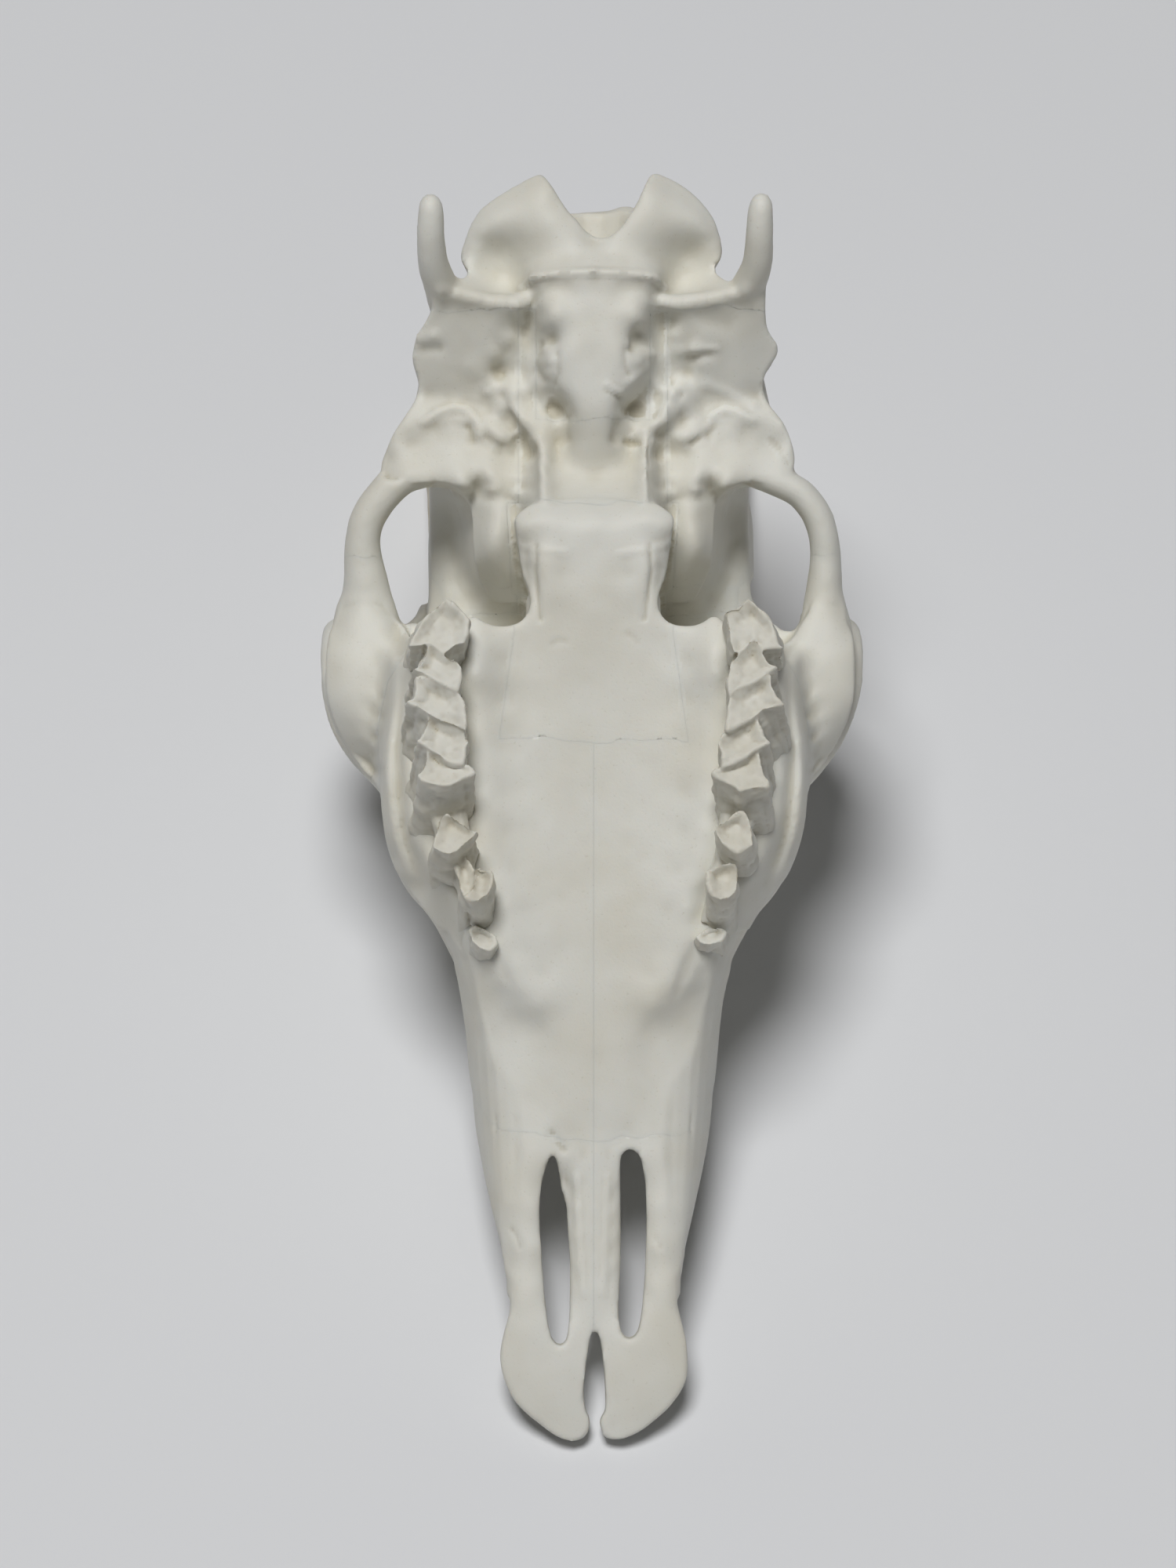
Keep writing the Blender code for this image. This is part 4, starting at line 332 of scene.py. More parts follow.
# The masses of the skull, which blend into each other broadly. Each is a name, how square its section is, the
# number of points round it, and its rows as in loft.
MASSES = (
    ("lower_face", 3.2, 40, (
        (58, 0, 21, -30, -9), (68, 0, 25, -38, -8), (78, 0, 28.2, -44, -6), (89, 0, 29, -48, -4),
        (100, 0, 30.5, -52, -2), (107, 0, 32.8, -55, -1.5), (114, 0, 34.6, -58, -1), (122, 0, 38.4, -60, -1),
        (131, 0, 41.4, -62, -1), (142, 0, 43, -66, -1), (156, 0, 43, -70, -1), (168, 0, 41, -73, -1),
        (177, 0, 37, -74, -3), (183, 0, 32, -72, -9),
    )),
    ("upper_face", 2.4, 40, (
        (58, 0, 6, -55, -48), (66, 0, 11, -57, -45), (76, 0, 15.5, -60, -40), (86, 0, 20, -63, -34),
        (96, 0, 23, -66, -30), (112, 0, 25, -70, -30), (132, 0, 30, -76, -30), (150, 0, 38, -83, -30),
        (164, 0, 41.5, -88, -30), (176, 0, 40, -92, -30), (186, 0, 38, -94, -32), (200, 0, 38, -94, -38),
        (211, 0, 37, -91, -44), (222, 0, 32, -86, -46),
    )),
    ("palatine_plate", 4, 40, (
        (166, 0, 20, -34, -2), (174, 0, 17.4, -34, -1), (184, 0, 15.4, -34, -0.5), (194, 0, 15.4, -32, -0.5),
        (201, 0, 16.6, -28, -0.5), (206, 0, 17, -24, -3),
    )),
    ("brow", 2.3, 56, (
        (132, 0, 27, -74, -58), (142, 0, 38, -80, -60), (150, 0, 48, -84, -60), (158, 0, 55.5, -87, -59),
        (167, 0, 59.8, -89, -60), (176, 0, 59, -91, -62), (182, 0, 52, -92, -66), (187, 0, 40, -92, -70),
    )),
    ("cheeks", 3.4, 56, (
        (104.6, 0, 32, -56, -24), (109.6, 0, 34.4, -58, -20), (114.6, 0, 37.4, -60, -17),
        (119.6, 0, 41.7, -62, -15), (125, 0, 44.6, -63, -14), (132, 0, 46.4, -66, -13),
        (140, 0, 47.4, -70, -13), (147, 0, 51.4, -72, -22), (155, 0, 55.4, -68, -25), (164, 0, 57, -62, -26),
        (173, 0, 56, -60, -28), (180, 0, 49, -58, -30), (186, 0, 38, -56, -34),
    )),
    ("vault", 2.2, 40, (
        (182, 0, 19, -88, -32), (194, 0, 21, -92, -28), (206, 0, 26, -92, -25), (218, 0, 31, -89, -24),
        (230, 0, 34, -84, -24), (242, 0, 34, -77, -22), (252, 0, 32, -69, -22), (261, 0, 27, -60, -24),
        (268, 0, 20, -51, -27), (275, 0, 13, -43, -32),
    )),
)


def side_masses(side):
    return [
        ball("sphenoid", (21.5, 211, -44), (11, 10, 12), side),
        sweep(
            "temporal_root",
            ((20, 217, -40, 9, 10), (31, 217.5, -34, 8, 8), (39, 215.6, -30, 5.4, 6), (44.6, 212, -29, 4, 5)),
            side,
        ),
        sweep(
            "temporal_crest",
            ((43, 214, -32, 2.4, 4), (41, 221, -34, 3.2, 6), (37.2, 229, -36, 3.8, 8), (35, 238, -36, 4, 9)),
            side,
        ),
    ]


# The hollows that are carved into the masses.


def nasal_passage():
    return loft(
        "nasal_passage",
        (
            (10, 0, 11, -70, -9), (30, 0, 15, -70, -9), (50, 0, 17.5, -70, -9), (57, 0, 19, -62, -9),
            (62, 0, 19, -50, -9), (74, 0, 19, -50, -9), (88, 0, 17, -53, -10), (102, 0, 12, -54, -14),
        ),
        power=3,
    )


def side_hollows(side):
    return [
        ball("orbit", (64, ORBIT_Y + 1, ORBIT_Z), (34, ORBIT_RADIUS, ORBIT_RADIUS), side, turn=(0, 0, -16)),
        sweep(
            "temporal_gap",
            (
                (42.3, 196.5, 20, 6.4, 14.6), (42.3, 197, -44, 6.6, 15.2), (47.4, 199, -70, 9, 16),
                (52, 199, -110, 14, 17),
            ),
            side,
            up=(0, 1, 0),
        ),
        fossa_floor(side, ABOVE),
    ]


# The hollow in front of the base, on each side of the palatine plate, seen and measured from below.
FOSSA_LEVELS = (
    (27.2, 211.4, -34), (27.4, 208.1, -36), (27.8, 204.6, -38), (27.8, 200.2, -39), (27.5, 196.3, -40),
    (26.8, 192.8, -42), (25.6, 189.6, -44), (23.8, 186.4, -46), (19.5, 185, -46), (14.8, 185.3, -45),
    (29.3, 207.6, -44), (29.8, 204.1, -46.6), (30.2, 200.6, -48), (29.7, 196.7, -50), (28.6, 192.5, -50.4),
    (26.4, 188.4, -50.6), (23.2, 184.7, -50), (18.6, 182.5, -49), (14.5, 183.2, -48), (33.6, 212.8, -48),
    (32.6, 208.8, -50), (32.1, 204.4, -51.6), (31.5, 199.9, -52.6), (31, 195.7, -52.6), (29.7, 191.4, -52.6),
    (27.2, 186.6, -52.4), (23.2, 182.6, -52), (18.7, 180.8, -52), (35.5, 209.8, -52.6), (37.8, 210, -56),
    (34.4, 204.4, -53), (37.8, 202.8, -57), (34.1, 199, -53.4), (37.8, 195.5, -57), (33.4, 193.9, -53),
    (37.5, 189.2, -57), (32.6, 188.8, -53), (36, 184.6, -56), (31.4, 182.7, -53.6), (28.7, 178.7, -55),
    (25, 179.1, -54), (19.6, 177.3, -55), (37.9, 181, -58), (34.2, 176.5, -58), (35.8, 216.9, -50),
    (30.3, 216.7, -46), (38.1, 217.2, -54), (24.7, 216.1, -36), (18.4, 215.9, -32), (22.8, 208.7, -30),
    (18.3, 206.8, -28), (22.8, 199.8, -30), (18.4, 199.8, -30), (22.5, 194.6, -34), (17.5, 194.6, -34),
    (21.2, 190.3, -40), (16.9, 190.3, -40),
)

FOSSA_OUTLINES = {
    -1: ((15, 177), (15, 216), (37.6, 216), (37.2, 183), (36.2, 178)),
    1: ((15, 177), (15, 216), (36.5, 216), (36.4, 183), (35.6, 178)),
}
FOSSA_CUT = ((15, 177), (15, 216), (62, 216), (62, 183), (38, 181), (36, 177))


def fossa_floor(side, depths):
    """The hollow's floor as a block; its cutter opens the outer side too."""
    outline = FOSSA_CUT if depths is ABOVE else FOSSA_OUTLINES[side]
    limits = (8, 64, 172, 220) if side > 0 else (-64, -8, 172, 220)
    relief = terrain("fossa_floor", FOSSA_LEVELS, limits, depths)
    rings = [[(side * x, y, z) for x, y in outline] for z in (-110, 60)]
    combine(relief, [skin("fossa_outline", rings)], "INTERSECT")
    return relief


# The finer forms, which are joined to the masses: some before the broad blending and some after it.


def nose_wall(side):
    return loft(
        "nose_wall",
        (
            (26, 14.4, 2, -9, -5), (34, 16.9, 2, -14, -6), (42, 18.7, 2.1, -20, -7), (50, 20.6, 2.2, -26, -8),
            (58, 22.3, 2.4, -32, -9), (66, 23.8, 2.6, -37, -10), (76, 24.3, 3, -42, -12),
            (88, 22.8, 4, -46, -14),
        ),
        side,
        power=3,
    )


CHEEK_ARCHES = {
    -1: (
        (38, 216.4, -27.4, 4.8, 5), (43.2, 214.2, -27.4, 4.2, 5), (47.6, 209.8, -27.7, 4, 5),
        (50.8, 205, -28.4, 4.1, 5), (52, 200.5, -29.6, 4.1, 5.2), (52.1, 196, -31, 4.5, 5.5),
        (51.7, 192, -32, 5, 6), (51.4, 188, -32.8, 5.8, 6.2), (51.4, 184, -33, 7.2, 6.6),
        (51.4, 177, -33.6, 8.2, 6.4), (50.5, 166, -36, 8, 5),
    ),
    1: (
        (37, 216, -27.4, 4.6, 5), (41.6, 213.4, -27.4, 3.6, 5), (46.6, 210.8, -27.6, 3.4, 5),
        (49.7, 207.4, -28, 3.4, 5), (51.4, 204.4, -28.7, 3.5, 5.1), (52.4, 201, -29.6, 3.5, 5.3),
        (52.9, 197, -31, 3.6, 5.5), (52.9, 192.5, -32, 3.9, 6), (52.7, 188, -32.8, 4.4, 6.2),
        (52.9, 184, -33, 5.3, 6.6), (52.9, 177, -33.6, 6.9, 6.4), (51.5, 166, -36, 7.6, 5),
    ),
}


def broad_forms(side):
    rim = ring("orbit_rim", (51.6, 162.5, ORBIT_Z), (19.2, 20), 2.8, 4.2, (0.94, -0.34, 0), (4.5, 6.5), side)
    bar = loft(
        "behind_orbit",
        (
            (177, 53, 3.4, -84, -34), (180.4, 50.6, 4.2, -84, -33), (183.6, 46.4, 4.2, -82, -36),
            (186, 42, 3, -80, -40),
        ),
        side,
        power=3,
    )
    arch = sweep("cheek_arch", CHEEK_ARCHES[side], side)
    return [rim, bar, arch, nose_wall(side)]


# The base of the skull, with the condyles at its back end, seen from below. The levels are measured on one side.
# Those that share their x stand in columns of y and z: the middle line first, then four across the ear region.
BASE_COLUMNS = (
    (0, (
        (266.8, -15), (264.2, -12.5), (261, -9.5), (258.7, -7.5), (256.5, -8), (252.1, -8), (246, -8),
        (240.7, -8.2), (235.5, -8.6), (231.2, -9), (226.9, -10), (222.6, -12), (218.4, -14), (214.9, -15.4),
        (212.8, -15.2), (210.6, -12.5), (207.8, -7.5), (205.5, -3.4), (202.8, -1.2), (198.5, -1),
    )),
    (23.6, (
        (250.6, -14), (247, -16), (243, -18.4), (239, -20.7), (235, -23), (230.4, -24.6), (228.7, -24.3),
        (226.8, -23.2), (224.4, -22.3), (222.4, -22.8), (222, -23.4), (219.5, -22.8), (216.5, -21.4),
        (213.4, -20.2), (211, -19.6),
    )),
    (28.4, (
        (250.6, -14.4), (247, -16.4), (243, -18.8), (239, -21.1), (235, -23.4), (231.6, -25), (229.9, -24.7),
        (228, -23.6), (225.6, -22.7), (223.6, -23.2), (222, -23.8), (219.5, -23.2), (216.5, -21.8),
        (213.4, -20.6), (211, -20),
    )),
    (33.2, (
        (250.6, -14.6), (247, -16.6), (243, -19), (239, -21.3), (235, -23.6), (232.3, -25.2), (230.6, -24.9),
        (228.7, -23.8), (226.3, -22.9), (224.3, -23.4), (222, -24), (219.5, -23.4), (216.5, -22),
        (213.4, -21.4),
    )),
    (37.6, (
        (247, -17.8), (243, -20.2), (239, -22.5), (235, -24.8), (233.2, -26.4), (231.5, -26.1), (229.6, -25),
        (227.2, -24.1), (225.2, -24.6), (222, -25.2), (219.5, -24.6), (216.5, -23.2), (213.4, -22.7),
    )),
)
BASE_LEVELS = (
    *column(*BASE_COLUMNS[0]),
    (6, 252.1, -8.2), (10.4, 252.2, -8.8), (12.4, 252.3, -11), (13.6, 252.8, -16), (6, 247.4, -8),
    (9.9, 247.8, -8.6), (11.8, 248, -11.5), (13.1, 248.5, -17), (6.2, 242.5, -8.2), (7.4, 244, -9.5),
    (9.7, 244.7, -13.4), (10.1, 241.8, -12.2), (10.8, 239, -12.4), (10.1, 236.2, -12.8), (9.4, 233.4, -12.6),
    (6.6, 238.2, -8.8), (5.9, 234.7, -9.4), (5.5, 231.6, -10.2), (7.6, 231.8, -12.5), (12.6, 244, -18),
    (13.3, 241.2, -19), (13.3, 237.2, -19.5), (12.1, 232.7, -18.5), (10.1, 230.4, -17.5), (3.8, 227.8, -10.6),
    (5.9, 228, -13.4), (7.8, 228.4, -19), (9.8, 228.8, -22), (3.8, 223.6, -13), (6.6, 223.9, -17.5),
    (3.8, 219.3, -14.6), (6.6, 220.4, -18), (8.4, 220.9, -20.5), (3.8, 214.9, -15.6), (6.6, 216.4, -17),
    (9.1, 218.1, -18.5), (5.2, 212.8, -14.6), (7.8, 214, -15), (9.9, 214.9, -15), (6.6, 210.9, -12),
    (9.5, 211.2, -11), (6.5, 207.8, -7), (9.5, 207.8, -6.4), (6.5, 205.2, -3), (10.4, 205.2, -3),
    (11.9, 223.3, -17), (12, 219.3, -14.4), (12, 215, -10.8), (12.1, 211, -7.4), (12.3, 207.3, -4.2),
    (14, 219.7, -21), (14.2, 215.2, -20.5), (14.4, 211.3, -19.5), (13.8, 221.7, -17.4), (15.6, 224.8, -19.4),
    (17.7, 227.5, -19.9), (19.7, 229.7, -20.6), (10.5, 227.4, -18), (8.7, 225.7, -18.4), (7.7, 222.9, -19.6),
    (12.3, 225.7, -18.8), (10.1, 223.6, -18.6), (21.2, 219.9, -24), (21.1, 215.3, -22), (21.1, 210.8, -21),
    (17.6, 217.2, -23.6), (16.9, 213.5, -21.6), (16.9, 209.9, -20), (16.4, 222.3, -24.2), (15.5, 224, -23.3),
    (17.6, 220.5, -25), (15.3, 219.4, -24.5), (18.5, 222.4, -22), (19.8, 227.7, -23.6), (20.9, 229.8, -21.6),
    (18.5, 225.5, -23), (21, 228.4, -22.1), (21.1, 222.4, -21.4), (42.1, 224.7, -24.4), (45.1, 219.9, -25),
    (18.4, 249.7, -15), (17.9, 246.9, -19), (33.3, 252.1, -13.6), (15.4, 250.3, -18), (15.3, 247.1, -21),
    (14.8, 243.6, -21.5), (21.6, 241.4, -20.9), (19.3, 242.4, -20.5), (17.4, 243.9, -20.2),
    (19.7, 240.2, -21.6), (21.2, 237.9, -24.2), (18.3, 238.5, -23.1), (16.8, 233.3, -20.2),
    (19.3, 234.7, -21.2), (14, 234.6, -20.4), (13.3, 231.9, -21), (16.5, 230.4, -20.8), (14.8, 236.9, -21.7),
    (15.5, 239.7, -21.7), (34.3, 254.6, -11), (31.5, 254.1, -11.4), (28.7, 253.7, -12), (25.9, 253.3, -12.3),
    (23.2, 252.8, -12.5), (21, 252.4, -12.5), (18.7, 252, -12.5), (16.6, 252.3, -12.8), (14.8, 253.1, -13.4),
    (28.1, 257.2, -15.6), (30.1, 256.6, -13.6), (26.3, 255.9, -15.2), (23.7, 254.5, -15.4), (20.1, 253.6, -15),
    (17.2, 253.8, -16), (21.1, 261.6, -22), (18.3, 260.3, -21.4), (24.3, 261.6, -21.6), (26.4, 262.4, -20.6),
    (20.2, 257.7, -21.4), (17.6, 256.9, -20.4), (22.5, 257.7, -21.4), (25, 259, -20.6), (16.1, 258.8, -18),
    (21.6, 264.1, -21.4), (24.3, 266, -19.6), (19.3, 264.9, -19.6), (15.8, 263.5, -17.4), (12.9, 262.7, -14.4),
    (21, 268.6, -16), (24.9, 268.6, -17), (17.5, 268.5, -15), (14, 267.9, -13.6), (10.4, 267.4, -12.4),
    (6.6, 266.3, -12), (3.4, 264.9, -12), (27.3, 264.9, -19.4), (28.5, 262.5, -20), (19.2, 272.9, -14.6),
    (22.8, 271.9, -15.8), (14.8, 272.7, -13), (10.4, 272.6, -12.2), (7.6, 270.9, -12.2), (15.4, 276.9, -14.6),
    (11.9, 278.8, -14.2), (10.1, 276.8, -13.2), (18.9, 275.8, -16), (12.2, 281, -16.5), (26.9, 272.4, -20),
    (29.6, 266.5, -21.5), (22.5, 275.7, -18.4), (17.2, 279, -17.6), (30, 263.4, -22), (28.1, 259.6, -19),
    (8.3, 276, -14), (5.9, 272.8, -13.6), (2.5, 268.7, -13.6), (10.1, 261.1, -11), (13.2, 259.8, -12),
    (6.6, 261.4, -10.6), (3.1, 262, -10.8), (14.6, 257.9, -10.6), (12, 258.4, -8.6), (9.2, 258.4, -7.8),
    (6.4, 258.4, -7.5), (3.2, 258.5, -7.4), (14.1, 255.9, -13.4), (12.2, 255.3, -11), (10.1, 256.3, -9.8),
    (6.4, 256.2, -8.8), (16.1, 257, -17.6), (23.6, 209.1, -24.4), (20, 209, -23), (28.2, 209.4, -31),
    *(point for one in BASE_COLUMNS[1:] for point in column(*one)),
    (41.6, 221.4, -25.6), (42.6, 217.4, -24.2), (43.4, 213.6, -23.1), (46, 215.6, -25.4), (46.4, 219, -27),
    (27, 211.6, -26), (27, 208.5, -26.4), (26.9, 205, -27.4), (26.9, 201.5, -28), (26.7, 197.9, -29),
    (26.4, 195.5, -30), (25.9, 192.8, -34), (25.1, 190.5, -38), (23.6, 211.8, -22.4), (23.6, 208.3, -22.4),
    (23.6, 204.7, -22.8), (24.1, 201.2, -22.8), (24.5, 198.1, -24), (24.2, 195.7, -26), (23.3, 193, -29.6),
    (22.5, 190.3, -34.4), (21.9, 187.7, -40), (20, 211.8, -21.6), (20, 208.2, -21.8), (20, 204.7, -22),
    (20, 201.2, -22.2), (20, 198.1, -23.4), (20.1, 195.3, -25.4), (19.8, 192.6, -28.4), (19.3, 190.1, -32.4),
    (19, 187.2, -38), (16.8, 211.5, -22.6), (16.8, 208.3, -23), (17, 205.1, -23.4), (16.5, 201.3, -24.6),
    (16.2, 197.8, -26), (15.8, 195.1, -28), (15.5, 192.3, -30.6), (15.2, 189.6, -34.6), (14.9, 186.9, -39),
)

BASE_OUTLINE = (
    (1.9, 266.9), (-0.1, 267.5), (-2.4, 269.1), (-4.8, 271.8), (-9.2, 267.5), (-17.2, 264.1), (-25.6, 261.7),
    (-27.9, 259.4), (-29.4, 257.9), (-31.6, 258.9), (-33.6, 259.6), (-35.5, 258.6), (-35.7, 254.8),
    (-36.1, 251.6), (-37.1, 249.3), (-38.3, 247.3), (-39.4, 245.4), (-40.2, 243.5), (-40.7, 241.4),
    (-40.4, 239.3), (-39.7, 237), (-39.3, 235), (-39.7, 232.9), (-40.6, 230.8), (-41.9, 228.6), (-43.4, 226.4),
    (-44.8, 224.3), (-45.9, 222.2), (-46.8, 220), (-47.6, 217.9), (-47.9, 216.1), (-47.7, 214.4),
    (-46.2, 213.2), (-42.2, 212.5), (-35.9, 212.8), (-32.1, 212.2), (-29.1, 210.1), (-27.7, 207.3),
    (-27.2, 203.8), (-27.2, 199.9), (-26.8, 195.8), (-26, 192.2), (-24.6, 189.5), (-22.9, 186.7),
    (-18.4, 186.1), (-13.9, 186.4), (-12.1, 190.3), (-11.8, 205), (12, 205), (12.3, 190.3), (14.2, 186.4),
    (18.7, 186.1), (23.2, 186.7), (24.9, 189.5), (26.3, 192.2), (27.1, 195.8), (27.4, 199.9), (27.5, 203.8),
    (27.9, 207.3), (29.3, 210.1), (32.3, 212), (35.1, 212.8), (38.7, 212.8), (42.8, 213.4), (44.7, 214.6),
    (45.5, 216.1), (45.8, 217.9), (45.6, 220), (45, 222.1), (44.1, 224.3), (43, 226.4), (41.3, 228.6),
    (39.7, 230.8), (38.9, 232.9), (38.5, 235), (38.9, 237), (40.1, 239.3), (41.5, 241.3), (41.7, 243.5),
    (40.2, 245.4), (39.1, 247.3), (38.8, 249.3), (38.6, 251.6), (38.7, 254.8), (38.5, 258.2), (35.5, 259.6),
    (32.9, 258.6), (31, 257.2), (28.9, 258.2), (27.4, 259.9), (25.2, 262.1), (18.1, 264.4), (11.9, 269),
    (8.5, 272.1), (6.8, 269.8), (5, 268), (3.6, 267.1),
)

CONDYLE_OUTLINES = {
    -1: (
        (-27.7, 259), (-28.3, 260.2), (-29.9, 263.3), (-29.4, 266.4), (-26.5, 272.7), (-22.4, 276.2),
        (-16.8, 279.5), (-12.9, 281.3), (-11.5, 281.5), (-10.4, 280.3), (-8.1, 276.7), (-5.9, 273.3),
        (-3.1, 269.7), (-3.9, 264), (-11.8, 258.8), (-20.6, 256.1),
    ),
    1: (
        (27.4, 260.2), (27.6, 261.3), (29.1, 263.7), (29.1, 266.4), (27.5, 271.5), (24.4, 275.9), (20.5, 279.3),
        (15.9, 281.6), (13.7, 282), (12.4, 280.7), (10.1, 275.4), (8.5, 272.5), (7, 270), (4.8, 264),
        (12.8, 258.8), (21.5, 256.1),
    ),
}


def roll_forward(made, start, rate):
    """Bends a form forward, more and more, above a level."""
    for vert in made.data.vertices:
        vert.co.y -= rate * max(0.0, start - vert.co.z) ** 2


def skull_base(depths):
    """What lies between the relief of the base and a depth, trimmed to the outline with its two condyles."""
    relief = terrain("skull_base", BASE_LEVELS, (-50, 50, 184, 285), depths)
    trim = plate("base_outline", BASE_OUTLINE, TRIM, steps=2)
    levels = ((-38, 6), (-35.4, 4), (-30, 1.6), (-24, 0.3), (-18, 0), (60, 0))
    condyles = [plate("condyle", CONDYLE_OUTLINES[side], levels) for side in SIDES]
    for condyle in condyles:
        roll_forward(condyle, start=-20, rate=0.03)
    combine(trim, condyles, "UNION")
    combine(relief, [trim], "INTERSECT")
    return relief


# The palate and the muzzle, seen and measured in the same way.
# The bar between the two slots: a height at each of these distances from the middle, in rows along y.
BAR_X = (0, 1.4, 3, 4.6, 6.2)
BAR_ROWS = (
    (62, (-5.2, -5.3, -5.9, -5.6)),
    (56, (-5, -5.2, -5.8, -5.5, -8.1)),
    (50, (-4.8, -5, -5.6, -5.2, -7.8)),
    (44, (-4.5, -4.6, -5.2, -4.9, -7.5)),
    (38, (-4, -4.2, -4.8, -4.5, -7.1)),
    (32, (-3.5, -3.7, -4.3, -4, -6.6)),
)
PALATE_LEVELS = (
    (0, 207.5, -7), (0, 205.2, -3), (0, 203, -1.2), (0, 198.5, -0.9), (0, 191.5, -1), (0, 182.8, -1.6),
    (0, 174.2, -2.6), (0, 165.5, -3.3), (0, 155, -3.8), (0, 144.6, -4.1), (0, 134.1, -4.3), (0, 123.7, -4.4),
    (0, 113.2, -4.5), (0, 102.8, -4.6), (0, 92.3, -4.8), (0, 81.8, -5.1), (0, 71.4, -5.4), (0, 22.7, -3.4),
    (7.5, 207.4, -6), (7.5, 205.2, -2.8), (7.5, 202.6, -1.2), (7.5, 198.5, -1), (7.5, 191.5, -1.2),
    (7.5, 182.9, -1.9), (8, 174.2, -2.5), (8.4, 165.5, -3), (9.2, 155, -3.2), (9.2, 144.6, -3.5),
    (9.2, 134.2, -3.6), (9.2, 123.7, -3.8), (9.2, 113.2, -3.9), (8.7, 102.8, -4.1), (7.5, 94.1, -4.6),
    (7, 87.1, -5.2), (8, 80.1, -5.6), (8, 71.3, -5.7), (7.3, 65.2, -6.2), (11.8, 206.6, -4),
    (11.8, 204.6, -1.6), (11.8, 201.1, -1), (15.7, 204.5, -3), (16, 202.3, -1.6), (15.7, 200.3, -2.2),
    (13.6, 198.5, -2.2), (12.9, 193.3, -1.2), (12.2, 188.1, -1.4), (11.5, 183.7, -1.8), (14.3, 197.7, -2.2),
    (14.1, 194.4, -2.2), (13.3, 190.9, -2.2), (12.6, 187.9, -2), (13.6, 185.5, -2.6), (14.6, 182.9, -2.6),
    (15.8, 197.2, -5), (15.1, 192.9, -5), (14.8, 189.4, -5), (16.4, 180.3, -2.5), (19.7, 179.2, -2.4),
    (23.1, 179.7, -2), (25.7, 181.1, -1.6), (11.8, 179.4, -2.2), (15.3, 176.8, -2.6), (17.9, 174.2, -2.4),
    (20.5, 172.4, -2), (20.5, 163.7, -2.2), (20.5, 153.3, -2.2), (20.2, 142.9, -2.3), (19.7, 134.2, -2.4),
    (18.4, 125.5, -2.6), (16.7, 116.8, -3), (15.3, 108, -3.4), (15.7, 169, -2.6), (15.7, 155, -2.9),
    (15.3, 141.1, -3.1), (14.3, 127.2, -3.3), (12.9, 113.3, -3.6), (11.8, 102.8, -3.9), (27.4, 179.3, -0.8),
    (28, 174.1, 1.7), (28, 168.9, 1.8), (27.4, 162, -0.2), (26.9, 155, -0.3), (26.4, 148.1, -0.4),
    (26.1, 141.1, -0.6), (25.7, 134.2, -0.8), (24.9, 128.1, -1.2), (23, 122.9, -1.8), (21.2, 116.8, -2.2),
    (19.7, 110.7, -2.6), (18.4, 104.6, -3), (16.4, 99, -3.4), (12.9, 95.1, -3.8), (10.1, 94.4, -4.4),
    (30.1, 174.2, -1), (29.8, 169, -1.5), (29.3, 162, -1.5), (28.9, 155, -1.5), (28.4, 148.1, -1.5),
    (28, 141.1, -2), (27.5, 134.1, -2.4), (26.7, 127.2, -2.4), (25.4, 121.9, -4.5), (23.7, 115.8, -5),
    (31.9, 172.5, -3), (31.9, 162, -3.5), (31.4, 151.6, -3.5), (30.7, 137.6, -4), (29.3, 125.4, -4),
    (27.2, 111.5, -5), (25.8, 107.1, -5.4), (22.6, 108.9, -3.6), (24.1, 103.6, -7), (20.6, 101, -5),
    (18, 97.2, -5.4), (22, 97.7, -8.6), (18.9, 93.9, -8), (25.6, 98.7, -10.5), (15.7, 92.2, -7),
    (11.9, 90.5, -6.4), (9.4, 90.5, -5.4), (26.7, 93.7, -13), (23.3, 92, -11), (19.2, 89.5, -9.4),
    (15.4, 86.9, -7.8), (11.5, 85.2, -6.8), (27, 86.6, -14), (23.8, 85, -11.4), (19.8, 83.4, -9),
    (15.7, 81.7, -7.6), (11.9, 80, -6.8), (26.5, 77.9, -13.4), (23.5, 76.3, -9.8), (19.2, 74.7, -7.8),
    (15, 73.9, -7), (11.5, 73, -6.4), (25.6, 69.2, -12.4), (22.7, 67.7, -8.8), (18.9, 66.9, -7),
    (14.5, 66.1, -6.2), (11, 65.7, -5.8), (10.1, 61.2, -5.6), (24.5, 61.3, -11.6), (21.7, 60.7, -7.8),
    (18, 59.1, -6.2), (13.6, 58.3, -5.4), (23.5, 53.5, -10.6), (20.6, 52, -7), (17.1, 50.4, -5.2),
    (13.2, 50.5, -4.8), (22.1, 44.8, -9.6), (19.2, 43.4, -5.8), (16, 42.7, -4.4), (12.9, 41.8, -4.2),
    (20.6, 36.3, -7.6), (18.5, 34.8, -4.4), (15.3, 34, -3.6), (12.5, 33.2, -3.6), (17.9, 28.8, -3.2),
    (15.3, 28, -2.8), (11.8, 27.1, -2.8), (17.9, 19.3, -2.6), (18.8, 12.3, -2.8), (16.2, 8, -2.8),
    (11.8, 15.9, -2.2), (11.8, 5.4, -2.6), (6.6, 15.9, -2.2), (7.5, 8.9, -2.3), (6.6, 1.9, -3), (3.1, 22.8, -3),
    (3.1, 15.8, -2.6), (3.1, 8.9, -2.8), (3.5, 1.8, -3.4), (10.1, 2.8, -3), (6.6, 24.5, -3.2),
    *((x, y, z) for y, heights in BAR_ROWS for x, z in zip(BAR_X, heights)),
)

